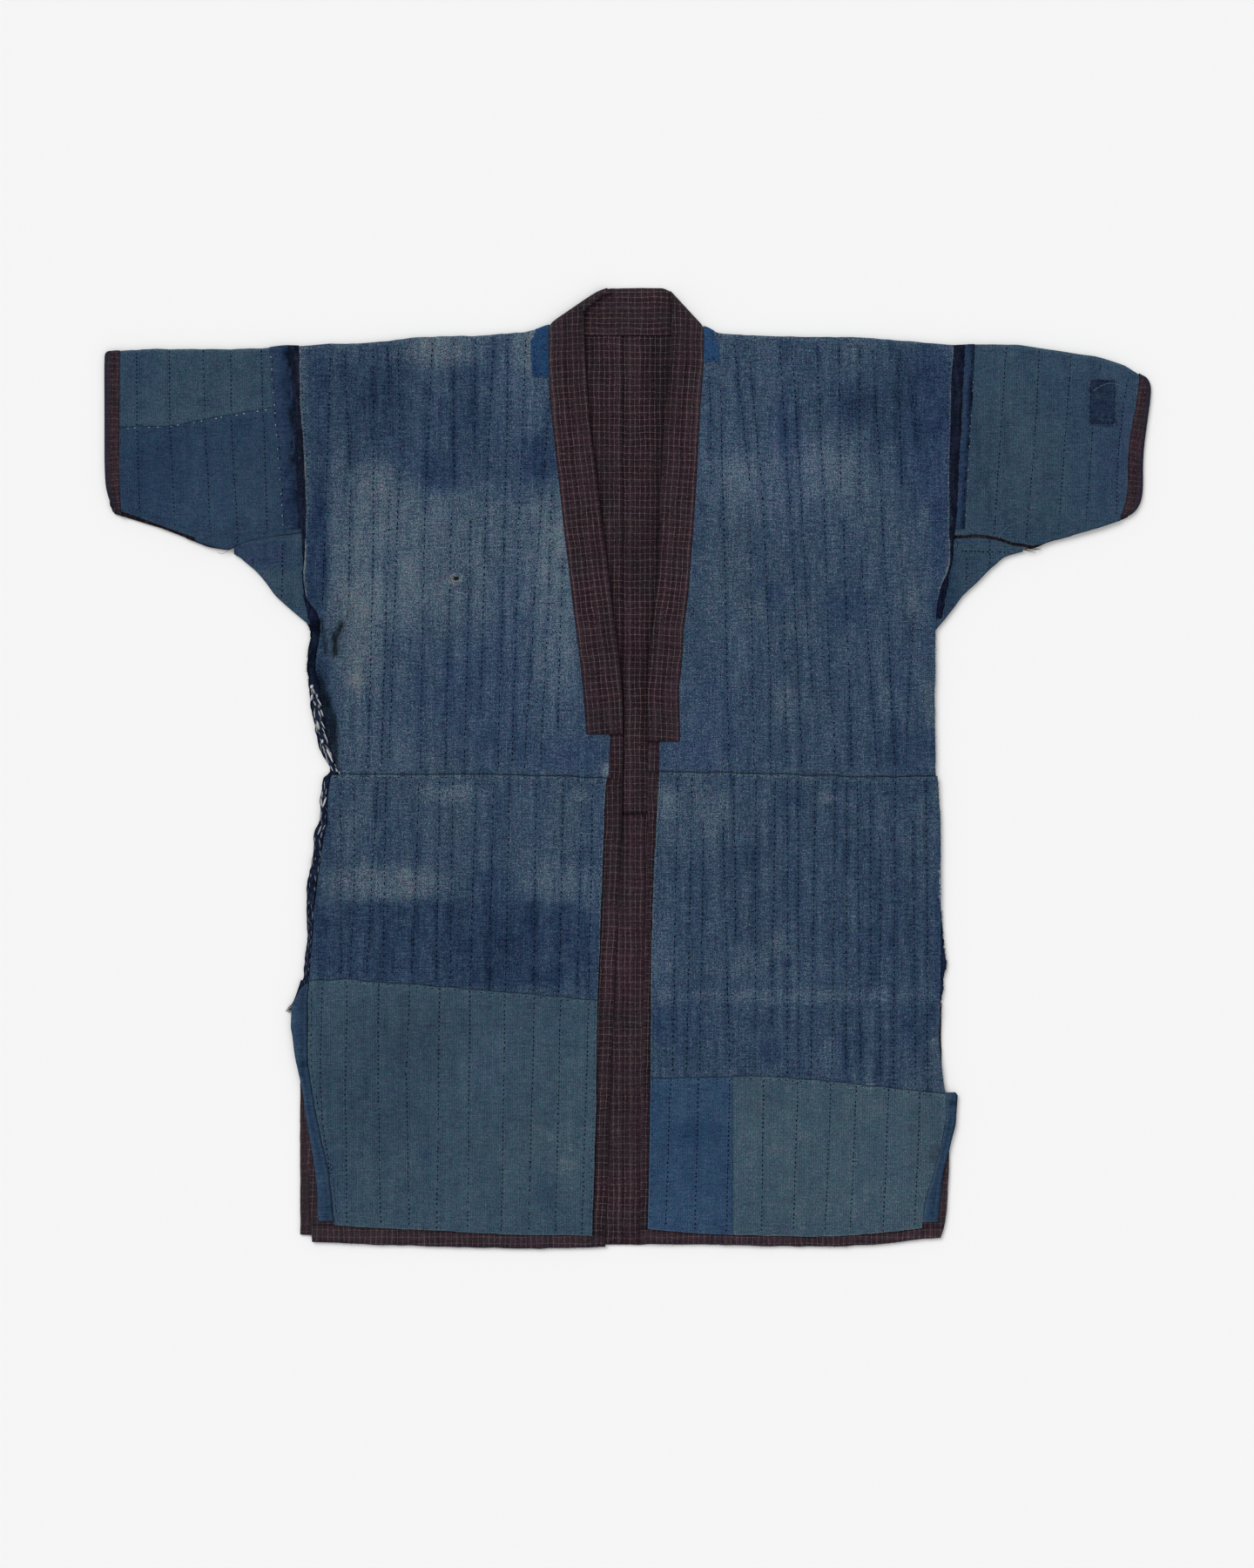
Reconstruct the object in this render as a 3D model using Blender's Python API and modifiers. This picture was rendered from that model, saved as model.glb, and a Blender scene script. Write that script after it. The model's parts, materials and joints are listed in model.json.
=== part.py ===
"""A patched boro work jacket, turned inside out and laid flat on its back.

Two layers of narrow-loom cotton: a fine check outer cloth, which is on the inside here, and an indigo
lining, which is on the outside. Millimetres throughout, turned into metres when a mesh is made. +X runs
across the jacket, +Y from hem to collar, +Z up. The back lies on z = 0, and the origin is below the middle.
"""

import math

import bmesh
import bpy
import numpy as np
from mathutils import Vector

NAME = "boro_jacket"
MM = 0.001

CLOTH = 1.0  # wall of one layer of cloth
SEAM = 0.4  # between pieces that are sewn edge to edge
APART = 0.3  # between layers that lie on each other
STEP = CLOTH + APART
EASE = STEP  # how far the front stands off the back, which leaves room for the collar's under side
FOLD_FACETS = 4  # flat strips round a fold

# The middle of each layer, from the floor up.
BACK_LINING = CLOTH / 2
BACK_OUTER = BACK_LINING + STEP
COLLAR_UNDER = BACK_OUTER + STEP
FRONT_OUTER = BACK_OUTER + STEP + EASE
FRONT_LINING = FRONT_OUTER + STEP
TOP = FRONT_LINING + STEP

SHOULDER_BEND = (FRONT_LINING - BACK_LINING) / 2 + CLOTH / 2  # outside radius of the shoulder and sleeve folds
GUSSET_BEND = SHOULDER_BEND - EASE / 2
NECK_SEAM = 428.2  # where the collar meets the back
NECK_POINT = 67.0  # how far from the middle the shoulder fold ends
CENTRE_BACK = -4.0
BACK_WAIST = -45.0
HEM_SHOWS = 12.0  # how far the check cloth reaches below the back lining


class Table:
    """Named columns read at any value of the first one, in straight lines between the rows."""

    def __init__(self, names, *rows):
        rows = sorted(rows)
        for i, name in enumerate(names.split()):
            setattr(self, name, [r[i] for r in rows])
        self.key = [r[0] for r in rows]

    def __getitem__(self, name):
        return lambda t: float(np.interp(t, self.key, getattr(self, name)))

    def key_beyond(self, low, high):
        """The rows' keys whose size is between two values, the largest size first."""
        return sorted((k for k in self.key if low < abs(k) < high), key=abs, reverse=True)


# The body's sides above the waist: the armholes are straight down to 212, and the gussets end at 145.
SIDES = Table(
    "y l r",
    (437, -325, 322),
    (212, -317, 318),
    (187, -319, 312),
    (164, -316, 306),
    (145, -304, 304),
    (110, -306, 303),
    (60, -302, 303),
    (36, -297, 303),
    (12, -290, 303),
    (-12, -285, 304),
)
# The collar's front stretches: outer edge and free edge of each.
COLLAR = Table(
    "y out_l free_l free_r out_r",
    (437, -78, -42, 44, 76),
    (413, -78, -42, 42, 75),
    (377, -77, -40, 40, 73),
    (328, -72, -36, 35, 70),
    (293, -68, -31, 34, 68),
    (241, -63, -25, 31, 65),
    (187, -56, -18, 29, 61),
    (148, -52, -13, 26, 56),
    (110, -47, -8, 21, 54),
    (72, -44, -5, 19, 51),
    (27, -40, -4, 19, 52),
)
# Sections across the two fronts below the waist: sides, edges of the lining, and the fronts' own edges.
LOWER = Table(
    "y side_l lining_l edge_l edge_r lining_r side_r",
    (-4, -292, -19, -4, 20, 31, 306),
    (-50, -295, -23, -6, 20, 29, 308),
    (-107, -305, -25, -8, 18, 26, 309),
    (-160, -310, -27, -10, 17, 24, 309),
    (-229, -315, -29, -13, 16, 23, 308),
    (-292, -315, -30, -16, 14, 23, 310),
    (-345, -306, -32, -18, 14, 22, 314),
    (-403, -293, -33, -20, 13, 21, 300),
    (-430, -290, -34, -21, 12, 21, 292),
    (-475, -288, -36, -22, 12, 19, 289),
)
# The open side vents: the facings' outer edges, and the back's sides.
VENT = Table(
    "y facing_l back_l back_r facing_r",
    (-222, -322, -315, 308, 309),
    (-236, -330, -316, 308, 309),
    (-257, -332, -318, 309, 309),
    (-292, -326, -322, 310, 312),
    (-322, -320, -323, 313, 325),
    (-351, -316, -323, 315, 324),
    (-375, -312, -323, 316, 318),
    (-403, -307, -323, 317, 311),
    (-430, -305, -323, 316, 308),
    (-475, -305, -323, 313, 306),
)
# Lines across the fronts: the waist seam, the seam above the hem panels, and the three hems.
LINES = Table(
    "x waist panel lining_hem hem back_hem",
    (-330, -6, -209, -450, -468, -460),
    (-250, -6, -210, -452, -470, -464),
    (-172, -6, -216, -456, -472, -468),
    (-103, -7, -222, -460, -474, -471),
    (-26, -10, -229, -461, -472, -471),
    (-2, -10, -231, -461, -471, -470),
    (12, -3, -306, -453, -469, -470),
    (68, -4, -305, -458, -469, -470),
    (155, -5, -304, -461, -471, -469),
    (240, -8, -313, -459, -469, -466),
    (297, -8, -319, -452, -464, -462),
    (330, -7, -322, -449, -461, -461),
)
SHOULDER = Table(
    "x top",
    (-325, 417),
    (-250, 421),
    (-172, 426),
    (-103, 430),
    (-91, 433),
    (-67, 438),
    (67, 438),
    (91, 431),
    (104, 428),
    (155, 427),
    (240, 424),
    (322, 417),
)
# The sleeves from cuff to armhole: top fold, the seam between two linings, bottom seam, and the gusset's fold.
SLEEVE_L = Table(
    "x top seam bottom gusset",
    (-516, 411, 334, 251, 215),
    (-465, 413, 336, 237, 215),
    (-413, 413, 344, 218, 215),
    (-394, 414, 347, 215, 213),
    (-382, 414, 349, 220, 208),
    (-356, 415, 353, 228, 182),
    (-323, 417, 357, 232, 149),
    (-305, 417, 357, 232, 135),
)
SLEEVE_R = Table(
    "x top bottom gusset",
    (304, 417, 225, 136),
    (321, 417, 226, 156),
    (344, 417, 228, 182),
    (371, 418, 222, 208),
    (386, 418, 219, 212),
    (400, 415, 216, 214),
    (438, 409, 229, 214),
    (490, 397, 245, 214),
    (517, 379, 254, 214),
)
CUFF = Table(
    "y end_l end_r",
    (411, -516, 500),
    (388, -516, 507),
    (376, -516, 516),
    (272, -516, 508),
    (259, -511, 504),
    (249, -504, 496),
)
# Narrow pieces that lie over the armhole seams: raw check allowances, then navy strips.
ARMHOLE = Table(
    "y allow_l strip_l allow_r strip_r",
    (412, -334, -352, 331, 340),
    (345, -331, -348, 326, 337),
    (289, -328, -343, 324, 334),
    (230, -322, -338, 322, 330),
    (146, -321, -338, 311, 330),
)
# Overcast allowances of the side seams, and the gathered one at the right: their outer edges.
ROPE = Table(
    "y l r",
    (138, -313, 306),
    (105, -317, 306),
    (54, -311, 306),
    (19, -305, 306),
    (-3, -302, 308),
    (-30, -305, 310),
    (-67, -309, 311),
    (-118, -316, 310),
    (-160, -317, 314),
    (-187, -319, 315),
    (-205, -320, 314),
    (-240, -330, 311),
)
COLLAR_BACK_TOP = Table("x top", (-65, 446), (-38, 463), (-27, 471), (36, 474), (43, 470), (64, 447))

# How much lower the front lies, by distance in from an edge that is sewn or rests on the back.
DROP = Table("inset by", (0, 1.3), (8, 0.8), (24, 0.0))
# Soft folds that stand up along a column of the lining: where it is, its two ends, its height.
FOLDS = {"l": ((-236, 220, 60, 1.3),), "r": ((252, 330, 110, 1.6),)}
FOLD_HALF = 9  # from the crest of a fold to its foot
# Where a body panel's columns are, between those beside its edges: where the lines across it bend.
BENDS = {"l": (-250, -172, -103), "r": (240, 155, 104)}

# name: colour, roughness
DYES = {
    "faded_indigo": ((0.055, 0.105, 0.185), 0.9),
    "grey_teal": ((0.055, 0.105, 0.135), 0.88),
    "mid_indigo": ((0.035, 0.085, 0.175), 0.88),
    "bright_indigo": ((0.018, 0.075, 0.23), 0.85),
    "navy": ((0.018, 0.035, 0.095), 0.88),
    "check": ((0.032, 0.018, 0.022), 0.88),
    "cuff_check": ((0.055, 0.02, 0.022), 0.88),
    "dark_allowance": ((0.014, 0.012, 0.022), 0.92),
}


def mix(a, b, t):
    return a + (b - a) * t


def material(dye):
    found = bpy.data.materials.get(dye)
    if found:
        return found
    colour, roughness = DYES[dye]
    made = bpy.data.materials.new(dye)
    made.use_nodes = True
    shader = made.node_tree.nodes["Principled BSDF"]
    shader.inputs["Base Color"].default_value = (*colour, 1)
    shader.inputs["Roughness"].default_value = roughness
    shader.inputs["Metallic"].default_value = 0.0
    return made


def cloth(name, grid, dye, wall=CLOTH):
    """A shell round a grid of points in millimetres, with None where the cloth is cut away."""
    m, n = len(grid), len(grid[0])
    bm = bmesh.new()
    bmesh.ops.create_grid(bm, x_segments=n - 1, y_segments=m - 1, size=0.5)
    cut = []
    for v in bm.verts:
        point = grid[round((v.co.y + 0.5) * (m - 1))][round((v.co.x + 0.5) * (n - 1))]
        if point is None:
            cut.append(v)
        else:
            v.co = Vector(point) * MM
    bmesh.ops.delete(bm, geom=cut, context="VERTS")
    mesh = bpy.data.meshes.new(name)
    bm.to_mesh(mesh)
    bm.free()
    mesh.materials.append(material(dye))
    piece = bpy.data.objects.new(name, mesh)
    bpy.data.collections[NAME].objects.link(piece)
    shell = piece.modifiers.new("wall", "SOLIDIFY")
    shell.thickness = wall * MM
    shell.offset = 0
    shell.use_even_offset = True
    return piece


def inward(outer, inner, near_outer=(0,), between=(), near_inner=(0,), at=()):
    """Columns from one edge to the other: set distances in from each, and between them shares or places."""
    s = 1 if inner(0) > outer(0) else -1
    a, b = s * max(near_outer), -s * max(near_inner)
    columns = [lambda y, d=d: outer(y) + s * d for d in near_outer]
    columns += [lambda y, f=f: mix(outer(y) + a, inner(y) + b, f) for f in between]
    columns += [lambda y, x=x: x for x in at]
    columns += [lambda y, d=d: inner(y) - s * d for d in sorted(near_inner, reverse=True)]
    return columns


def line(row):
    return row if callable(row) else (lambda x: row)


def points(columns, rows, z):
    """Where each row, a height or a line over x, meets each column."""
    grid = []
    for row in map(line, rows):
        found = []
        for column in columns:
            x = column(row(column(0)))
            for _ in range(3):
                x = column(row(x))
            found.append((x, row(x), z(x, row(x))))
        grid.append(found)
    return grid


def raised(line_, by):
    return lambda x: line_(x) + by


def folded(front, back, rows_front, fold, rows_back, z_front, z_back, bend, extra=()):
    """A piece that goes over a fold: front rows up to it, round it, and back rows away from it.

    fold gives the outside of the bend over x, and bend its radius there, which the layers inside share.
    extra columns belong to the back alone, from the second back row on.
    """
    side = 1 if fold(front[0](0)) > line(rows_front[0])(front[0](0)) else -1
    start = raised(fold, -side * bend)
    top = points(front, [*rows_front, start], z_front)
    under = points([*back, *extra], [start, *rows_back], z_back)
    turn = []
    for k in range(1, FOLD_FACETS):
        a = math.pi * k / FOLD_FACETS
        row = []
        for (x0, y0, z0), (x1, y1, z1) in zip(top[-1], under[0]):
            r = (z0 - z1) / 2
            row.append((mix(x0, x1, k / FOLD_FACETS), y0 + side * r * math.sin(a), (z0 + z1) / 2 + r * math.cos(a)))
        turn.append(row)
    gap = [None] * len(extra)
    under[0] = under[0][: len(back)]
    return [row + gap for row in [*top, *turn, under[0]]] + under[1:]


def flat(z):
    return lambda x, y: z


def drop(x, y):
    """How much lower the front is here than over its middle."""
    left = x < 8
    by = DROP["by"]
    if abs(x) > 318 and y > 205:  # a sleeve
        s = SLEEVE_L if left else SLEEVE_R
        end = CUFF["end_l" if left else "end_r"](y)
        share = float(np.interp(abs(x), (323, 395), (0.2, 1)))
        return max(by(abs(end - x)), share * by(y - s["bottom"](x)))
    k, s = ("l", -1) if left else ("r", 1)
    sides = SIDES[k] if y > -4 else LOWER["side_" + k]
    found = by(s * (sides(y) - x)) * float(np.interp(y, (140, 232), (1, 0)))
    edge = LOWER["edge_" + k](y)
    found = max(found, by(s * (x - edge)) * float(np.interp(y, (-10, 16), (1, 0))))
    return max(found, by(y - LINES["hem"](x)))


def front(level):
    return lambda x, y: level - drop(x, y)


def body_columns(outer, inner, side, folds=False, near_inner=(0,), beyond=0, before=()):
    """A body panel's columns, which its neighbours above and below share, so that their seams match."""
    places = set(BENDS[side])
    if folds:
        places |= {x + d for x, *_ in FOLDS[side] for d in (-FOLD_HALF, 0, FOLD_HALF)}
    places = sorted((x for x in places if abs(x) > beyond), key=abs, reverse=True)
    columns = inward(outer, inner, (0, 8, 24), (), near_inner, places)
    columns[-1:-1] = before
    return columns, 3 + places.index(FOLDS[side][0][0]) if folds else None


def raise_fold(grid, j, side):
    """Lifts the crest of the fold, tapered to its ends."""
    for crest, top, bottom, height in FOLDS[side]:
        for row in grid:
            x, y, z = row[j]
            t = (top - y) / (top - bottom)
            if 0 < t < 1 and z > COLLAR_UNDER:
                row[j] = (x, y, z + height * math.sin(math.pi * t) ** 0.7)


def neck_outer(side):
    """The check front's edge under the collar, and below the collar its own edge."""
    free = COLLAR["free_" + side]
    back = 5 if side == "l" else -5
    point = -NECK_POINT if side == "l" else NECK_POINT
    return lambda y: float(
        np.interp(y, (8, 24, 293, 425), (LOWER["edge_" + side](0), free(24) - back, free(293) - 3 * back, point))
    )


def neck_lining(side):
    """The lining's edge: at the neck just inside the collar's outer edge, below it at the check border."""
    s = -1 if side == "l" else 1
    out = COLLAR["out_" + side]
    return lambda y: float(
        np.interp(y, (8, 60, 293, 425), (LOWER["lining_" + side](0), out(60) - 14 * s, out(293) - 12 * s, s * NECK_POINT))
    )


def back_side(side):
    upper, lower, vent = SIDES[side], LOWER["side_" + side], VENT["back_" + side]

    def read(y):
        if y > 36:
            return upper(y)
        return mix(lower(-50), upper(36), (y + 50) / 86) if y > -50 else vent(y) if y < -236 else lower(y)

    return read


def upper_panels():
    heights = (12, 36, 60, 110, 145, 164, 187, 212, 293)
    for side, s in (("left", -1), ("right", 1)):
        k = side[0]
        waist = raised(LINES["waist"], SEAM / 2)
        point = lambda y, s=s: s * NECK_POINT
        beyond = [lambda y, f=f, s=s: mix(s * NECK_POINT, CENTRE_BACK + s * SEAM / 2, f) for f in (0.5, 1)]
        # The back's first row runs along the collar seam, and beside it stays just under the shoulder fold.
        first = lambda x: min(NECK_SEAM, SHOULDER["top"](x) - SHOULDER_BEND - 4)
        back_rows = (first, 212, 187, 164, 145, 60, 36, BACK_WAIST + SEAM / 2)

        def panel(name, z_front, z_back, neck, near, before, behind_before, soft, dye):
            columns, crest = body_columns(SIDES[k], neck, k, soft, near, before=before)
            behind, _ = body_columns(back_side(k), point, k, soft, near, before=behind_before)
            grid = folded(
                columns, behind, (waist, *heights), SHOULDER["top"], back_rows,
                front(z_front), flat(z_back), SHOULDER_BEND, beyond,
            )
            if soft:
                raise_fold(grid, crest, k)
            cloth(name, grid, dye)

        edge = neck_outer(k)
        in_line = [lambda y, s=s, edge=edge: edge(y) + s * 24], [lambda y, s=s: s * (NECK_POINT + 24)]
        panel(f"outer_upper_{side}", FRONT_OUTER, BACK_OUTER, edge, (0, 8, 24), (), (), False, "check")
        panel(f"lining_upper_{side}", FRONT_LINING, BACK_LINING, neck_lining(k), (0,), *in_line, True, "faded_indigo")


def lower_fronts():
    heights = (-50, -107, -160)
    deep = (-250, -292, -345, -403, -430)
    for side, s in (("left", -1), ("right", 1)):
        k = side[0]
        waist = raised(LINES["waist"], -SEAM / 2)
        hem, lining_hem, seam = LINES["hem"], LINES["lining_hem"], LINES["panel"]
        facing, lining = VENT["facing_" + k], LOWER["side_" + k]
        vent = lambda y, s=s, facing=facing, lining=lining: (facing(y) - 3 * s) if y < -240 else lining(y)
        # The check front, seen only where it passes the lining.
        columns, _ = body_columns(vent, LOWER["edge_" + k], k, near_inner=(0, 8, 24))
        rows = (waist, *heights, -229, *deep[1:-1], raised(hem, 24), raised(hem, 8), hem)
        cloth(f"outer_front_{side}", points(columns, rows, front(FRONT_OUTER)), "check")
        # The lining and the hem panels under it.
        z = front(FRONT_LINING)
        in_line = [lambda y, s=s, edge=LOWER["edge_" + k]: edge(y) + s * 24]
        columns, _ = body_columns(lining, LOWER["lining_" + k], k, True, before=in_line)
        above = heights if side == "left" else (*heights, -229, -275)
        below = deep if side == "left" else (-345, -403, -430)
        rows = (waist, *above, raised(seam, SEAM / 2))
        cloth(f"lining_front_{side}", points(columns, rows, z), "faded_indigo")
        rows = (raised(seam, -SEAM / 2), *below, raised(lining_hem, 12), lining_hem)
        if side == "left":
            cloth("hem_panel_left", points(columns, rows, z), "grey_teal")
        else:
            split = BENDS["r"][-1]
            blue = [lambda y: split - SEAM / 2, *in_line, LOWER["lining_r"]]
            teal, _ = body_columns(lining, lambda y: split + SEAM / 2, "r", True, beyond=split)
            cloth("hem_panel_right_blue", points(blue, rows, z), "mid_indigo")
            cloth("hem_panel_right_teal", points(teal, rows, z), "grey_teal")


def lower_backs():
    for side, s in (("left", -1), ("right", 1)):
        k = side[0]
        mid = lambda y, s=s: CENTRE_BACK + s * SEAM / 2
        edge = back_side(k)
        inset = lambda y, s=s, edge=edge: edge(y) - s * float(np.interp(y, (-260, -200), (8, 0)))
        top = BACK_WAIST - SEAM / 2
        heights = (-107, -160, -229, -260, -292, -345, -403)
        hem = LINES["back_hem"]
        cloth(f"outer_back_{side}", points(inward(edge, mid, (0,), (0.33, 0.67)), (top, *heights, hem), flat(BACK_OUTER)), "check")
        cloth(
            f"lining_back_{side}",
            points(inward(inset, mid, (0,), (0.33, 0.67)), (top, *heights, raised(hem, HEM_SHOWS)), flat(BACK_LINING)),
            "faded_indigo",
        )


def sleeves():
    for side, s, shape in (("left", -1, SLEEVE_L), ("right", 1, SLEEVE_R)):
        k = side[0]
        end = CUFF["end_" + k]
        armhole = lambda y, s=s, k=k: SIDES[k](y) + s * SEAM
        top, bottom = shape["top"], shape["bottom"]
        rise = lambda f, low, top=top: lambda x: mix(low(x), top(x) - SHOULDER_BEND, f)
        # The check sleeve shows past the lining at its bottom seam.
        across = shape.key_beyond(324, 470)
        columns = inward(lambda y, s=s, end=end: end(y) - s * 5, armhole, (0, 8, 24), at=across)
        rows = (bottom, raised(bottom, 8), raised(bottom, 24), rise(0.6, bottom))
        behind = (rise(0.5, bottom), bottom)
        grid = folded(columns, columns, rows, top, behind, front(FRONT_OUTER), flat(BACK_OUTER), SHOULDER_BEND)
        cloth(f"sleeve_outer_{side}", grid, "check")
        # The lining starts inside the cuff, and a little above the bottom seam.
        start = lambda y, s=s, end=end: end(y) - s * 14.5
        columns = inward(start, armhole, (0, 10.5), at=across)
        low = raised(bottom, 3)
        behind = (rise(0.5, low), low)
        if side == "left":
            seam = shape["seam"]
            rows = (raised(seam, SEAM / 2), rise(0.7, low))
            grid = folded(columns, columns, rows, top, behind, front(FRONT_LINING), flat(BACK_LINING), SHOULDER_BEND)
            cloth("sleeve_lining_left_upper", grid, "grey_teal")
            rows = (low, raised(bottom, 8), raised(bottom, 24), rise(0.35, low), raised(seam, -SEAM / 2))
            cloth("sleeve_lining_left_lower", points(columns, rows, front(FRONT_LINING)), "mid_indigo")
        else:
            rows = (low, raised(bottom, 8), raised(bottom, 24), rise(0.6, low))
            grid = folded(columns, columns, rows, top, behind, front(FRONT_LINING), flat(BACK_LINING), SHOULDER_BEND)
            cloth("sleeve_lining_right", grid, "grey_teal")
        # The cuff binding goes round the end of both layers.
        heights = (252, 259, 272, 324, 376, 386) if side == "right" else (253, 259, 272, 340, 407)
        wide = 13.0
        grid = []
        for y in heights:
            x = end(y)
            r = (FRONT_LINING - EASE - BACK_LINING) / 2
            c = x - s * (r + CLOTH / 2)
            z = (FRONT_LINING - EASE + BACK_LINING) / 2
            row = [(x - s * wide, y, FRONT_LINING - drop(x - s * wide, y)), (x - s * 8, y, FRONT_LINING - drop(x - s * 8, y))]
            row += [
                (c + s * r * math.sin(math.pi * a / FOLD_FACETS), y, z + r * math.cos(math.pi * a / FOLD_FACETS))
                for a in range(FOLD_FACETS + 1)
            ]
            row += [(x - s * 8, y, BACK_LINING), (x - s * wide, y, BACK_LINING)]
            grid.append(row)
        cloth(f"cuff_{side}", grid, "cuff_check")
        # The underarm gusset is folded along its lower edge.
        tip = -388 if side == "left" else 390
        across = [x for x in across if abs(x) < 387] + [s * 335]
        beside = lambda y, s=s, k=k: SIDES[k](y) + s * 3 * SEAM
        columns = inward(lambda y, tip=tip: tip, beside, at=across)
        gusset = shape["gusset"]
        rows = [lambda x, f=f: mix(bottom(x) - 2 * SEAM, gusset(x) + GUSSET_BEND, f) for f in (0, 0.2, 0.52, 0.8)]
        grid = folded(
            columns, columns, rows, gusset, rows[::-1],
            flat(FRONT_LINING - EASE), flat(BACK_LINING), GUSSET_BEND,
        )
        cloth(f"gusset_{side}", grid, "grey_teal")


def collar():
    def band(name, sections):
        """A folded band: top leaf, round its free edge, under leaf. A section for each row."""
        grid = []
        for out, free, high, low, tuck in sections:
            out, free = Vector(out), Vector(free)
            along = (free - out).normalized()
            r = (high - low) / 2
            c = (free - out).length - r - CLOTH / 2
            path = [(0, high), (c * 0.55, high)]
            path += [
                (c + r * math.sin(math.pi * a / FOLD_FACETS), (high + low) / 2 + r * math.cos(math.pi * a / FOLD_FACETS))
                for a in range(FOLD_FACETS + 1)
            ]
            path += [(mix(c, tuck, 0.5), low), (tuck, low)]
            grid.append([(*(out + along * d), z) for d, z in path])
        cloth(name, grid, "check")

    # Ends of each front stretch: outer edge, free edge, height of the top leaf, under leaf's start.
    folds = {
        "left": (((-77, 427), (-42, 446), TOP, 13), ((-76, 436), (-31, 469), TOP - 0.2, 13)),
        "right": (((74, 428), (44, 450), TOP, 11), ((70, 438), (40, 471), TOP - 0.2, 11)),
    }
    for side, low_end in (("left", 34), ("right", 27)):
        k = side[0]
        sections = []
        for y in (low_end, 72, 148, 241, 328, 413):
            tuck = float(np.interp(y, (300, 400), (3, 12)))
            sections.append(((COLLAR["out_" + k](y), y), (COLLAR["free_" + k](y), y), TOP, COLLAR_UNDER, tuck))
        for out, free, high, tuck in folds[side]:
            sections.append((out, free, high, COLLAR_UNDER, tuck))
        band(f"collar_{side}", sections)
    columns = [lambda y, x=x: x for x in (-64, -52, -38, -27, 4, 36, 43, 52, 63)]
    rows = (NECK_SEAM + SEAM, lambda x: mix(NECK_SEAM, COLLAR_BACK_TOP["top"](x), 0.5))
    bend = STEP / 2 + CLOTH / 2
    grid = folded(columns, columns, rows, COLLAR_BACK_TOP["top"], rows[::-1], flat(BACK_OUTER), flat(BACK_LINING), bend)
    cloth("collar_back", grid, "check")


def trims():
    """Small pieces that lie on the lining, made from its heights moved up by a layer."""
    on_lining = front(TOP)

    def strip(name, outer, inner, heights, dye, z=on_lining, wall=CLOTH, near=(0,)):
        cloth(name, points(inward(outer, inner, near), heights, z), dye, wall)

    strip("neck_patch_left", lambda y: -95, lambda y: COLLAR["out_l"](y) - APART, (386, 413, 424), "bright_indigo")
    strip("neck_patch_right", lambda y: 91, lambda y: COLLAR["out_r"](y) + APART, (402, 413, 422), "bright_indigo")
    strip("sleeve_patch_right", lambda y: 482, lambda y: 454.5, (338, 361, 384), "navy")
    down = (411, 377, 345, 289, 260, 236)
    for side, s in (("left", -1), ("right", 1)):
        k = side[0]
        allow, navy = ARMHOLE["allow_" + k], ARMHOLE["strip_" + k]
        strip(f"armhole_strip_{side}", navy, lambda y, s=s, a=allow: a(y) + s * SEAM, down, "navy")
        body = SIDES[k]
        seam = lambda y, s=s, body=body: body(y) + s * APART
        below = (200, 187, 164) if side == "left" else (204, 187, 164, 148)
        strip(f"armhole_allowance_{side}", allow, seam, (*down, 212, *below), "dark_allowance")

    # Side seam allowances, rolled and overcast, beside the seam from the body's height down to the floor.
    def rolled(outer):
        return lambda x, y: 1.2 + 1.5 * min(1, abs(x - outer(y)) / 8)

    for name, k, heights in (
        ("side_allowance_left_upper", "l", (130, 110, 60, 36, 4)),
        ("side_allowance_left_lower", "l", (-14, -50, -107, -160, -205)),
        ("side_allowance_right", "r", (-140, -160, -187, -205, -229)),
    ):
        out, side = ROPE[k], back_side(k)
        beside = lambda y, s=-1 if k == "l" else 1, side=side: side(y) + s * 4 * SEAM
        strip(name, out, beside, heights, "dark_allowance", rolled(out), 1.6)

    # Vent facings, beside the lining's edge at its own height.
    for side, s, heights in (("left", -1, (-236, -257, -292, -345, -403, -430, -447)), ("right", 1, (-322, -345, -375, -403, -430, -448))):
        k = side[0]
        strip(
            f"vent_facing_{side}", VENT["facing_" + k], lambda y, s=s, k=k: LOWER["side_" + k](y) + s * SEAM,
            heights, "bright_indigo", lambda x, y: FRONT_LINING - drop(x, y),
        )


def main():
    for piece in list(bpy.data.objects):
        bpy.data.objects.remove(piece)
    group = bpy.data.collections.new(NAME)
    bpy.context.scene.collection.children.link(group)
    upper_panels()
    lower_fronts()
    lower_backs()
    sleeves()
    collar()
    trims()


main()
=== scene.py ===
"""The looks of the patched boro work jacket, laid flat with its indigo lining outside.

Every piece of cloth is a thin shell on the form of its CAD solid, with the creases, puckers, patches, fades,
running stitches, whip stitches and frayed threads that the old jacket has. Millimetres in the tables and in the
functions, metres in the meshes. +X runs across the jacket, +Y from hem to collar, and +Z up from the surface.
"""

import json
import math

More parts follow.
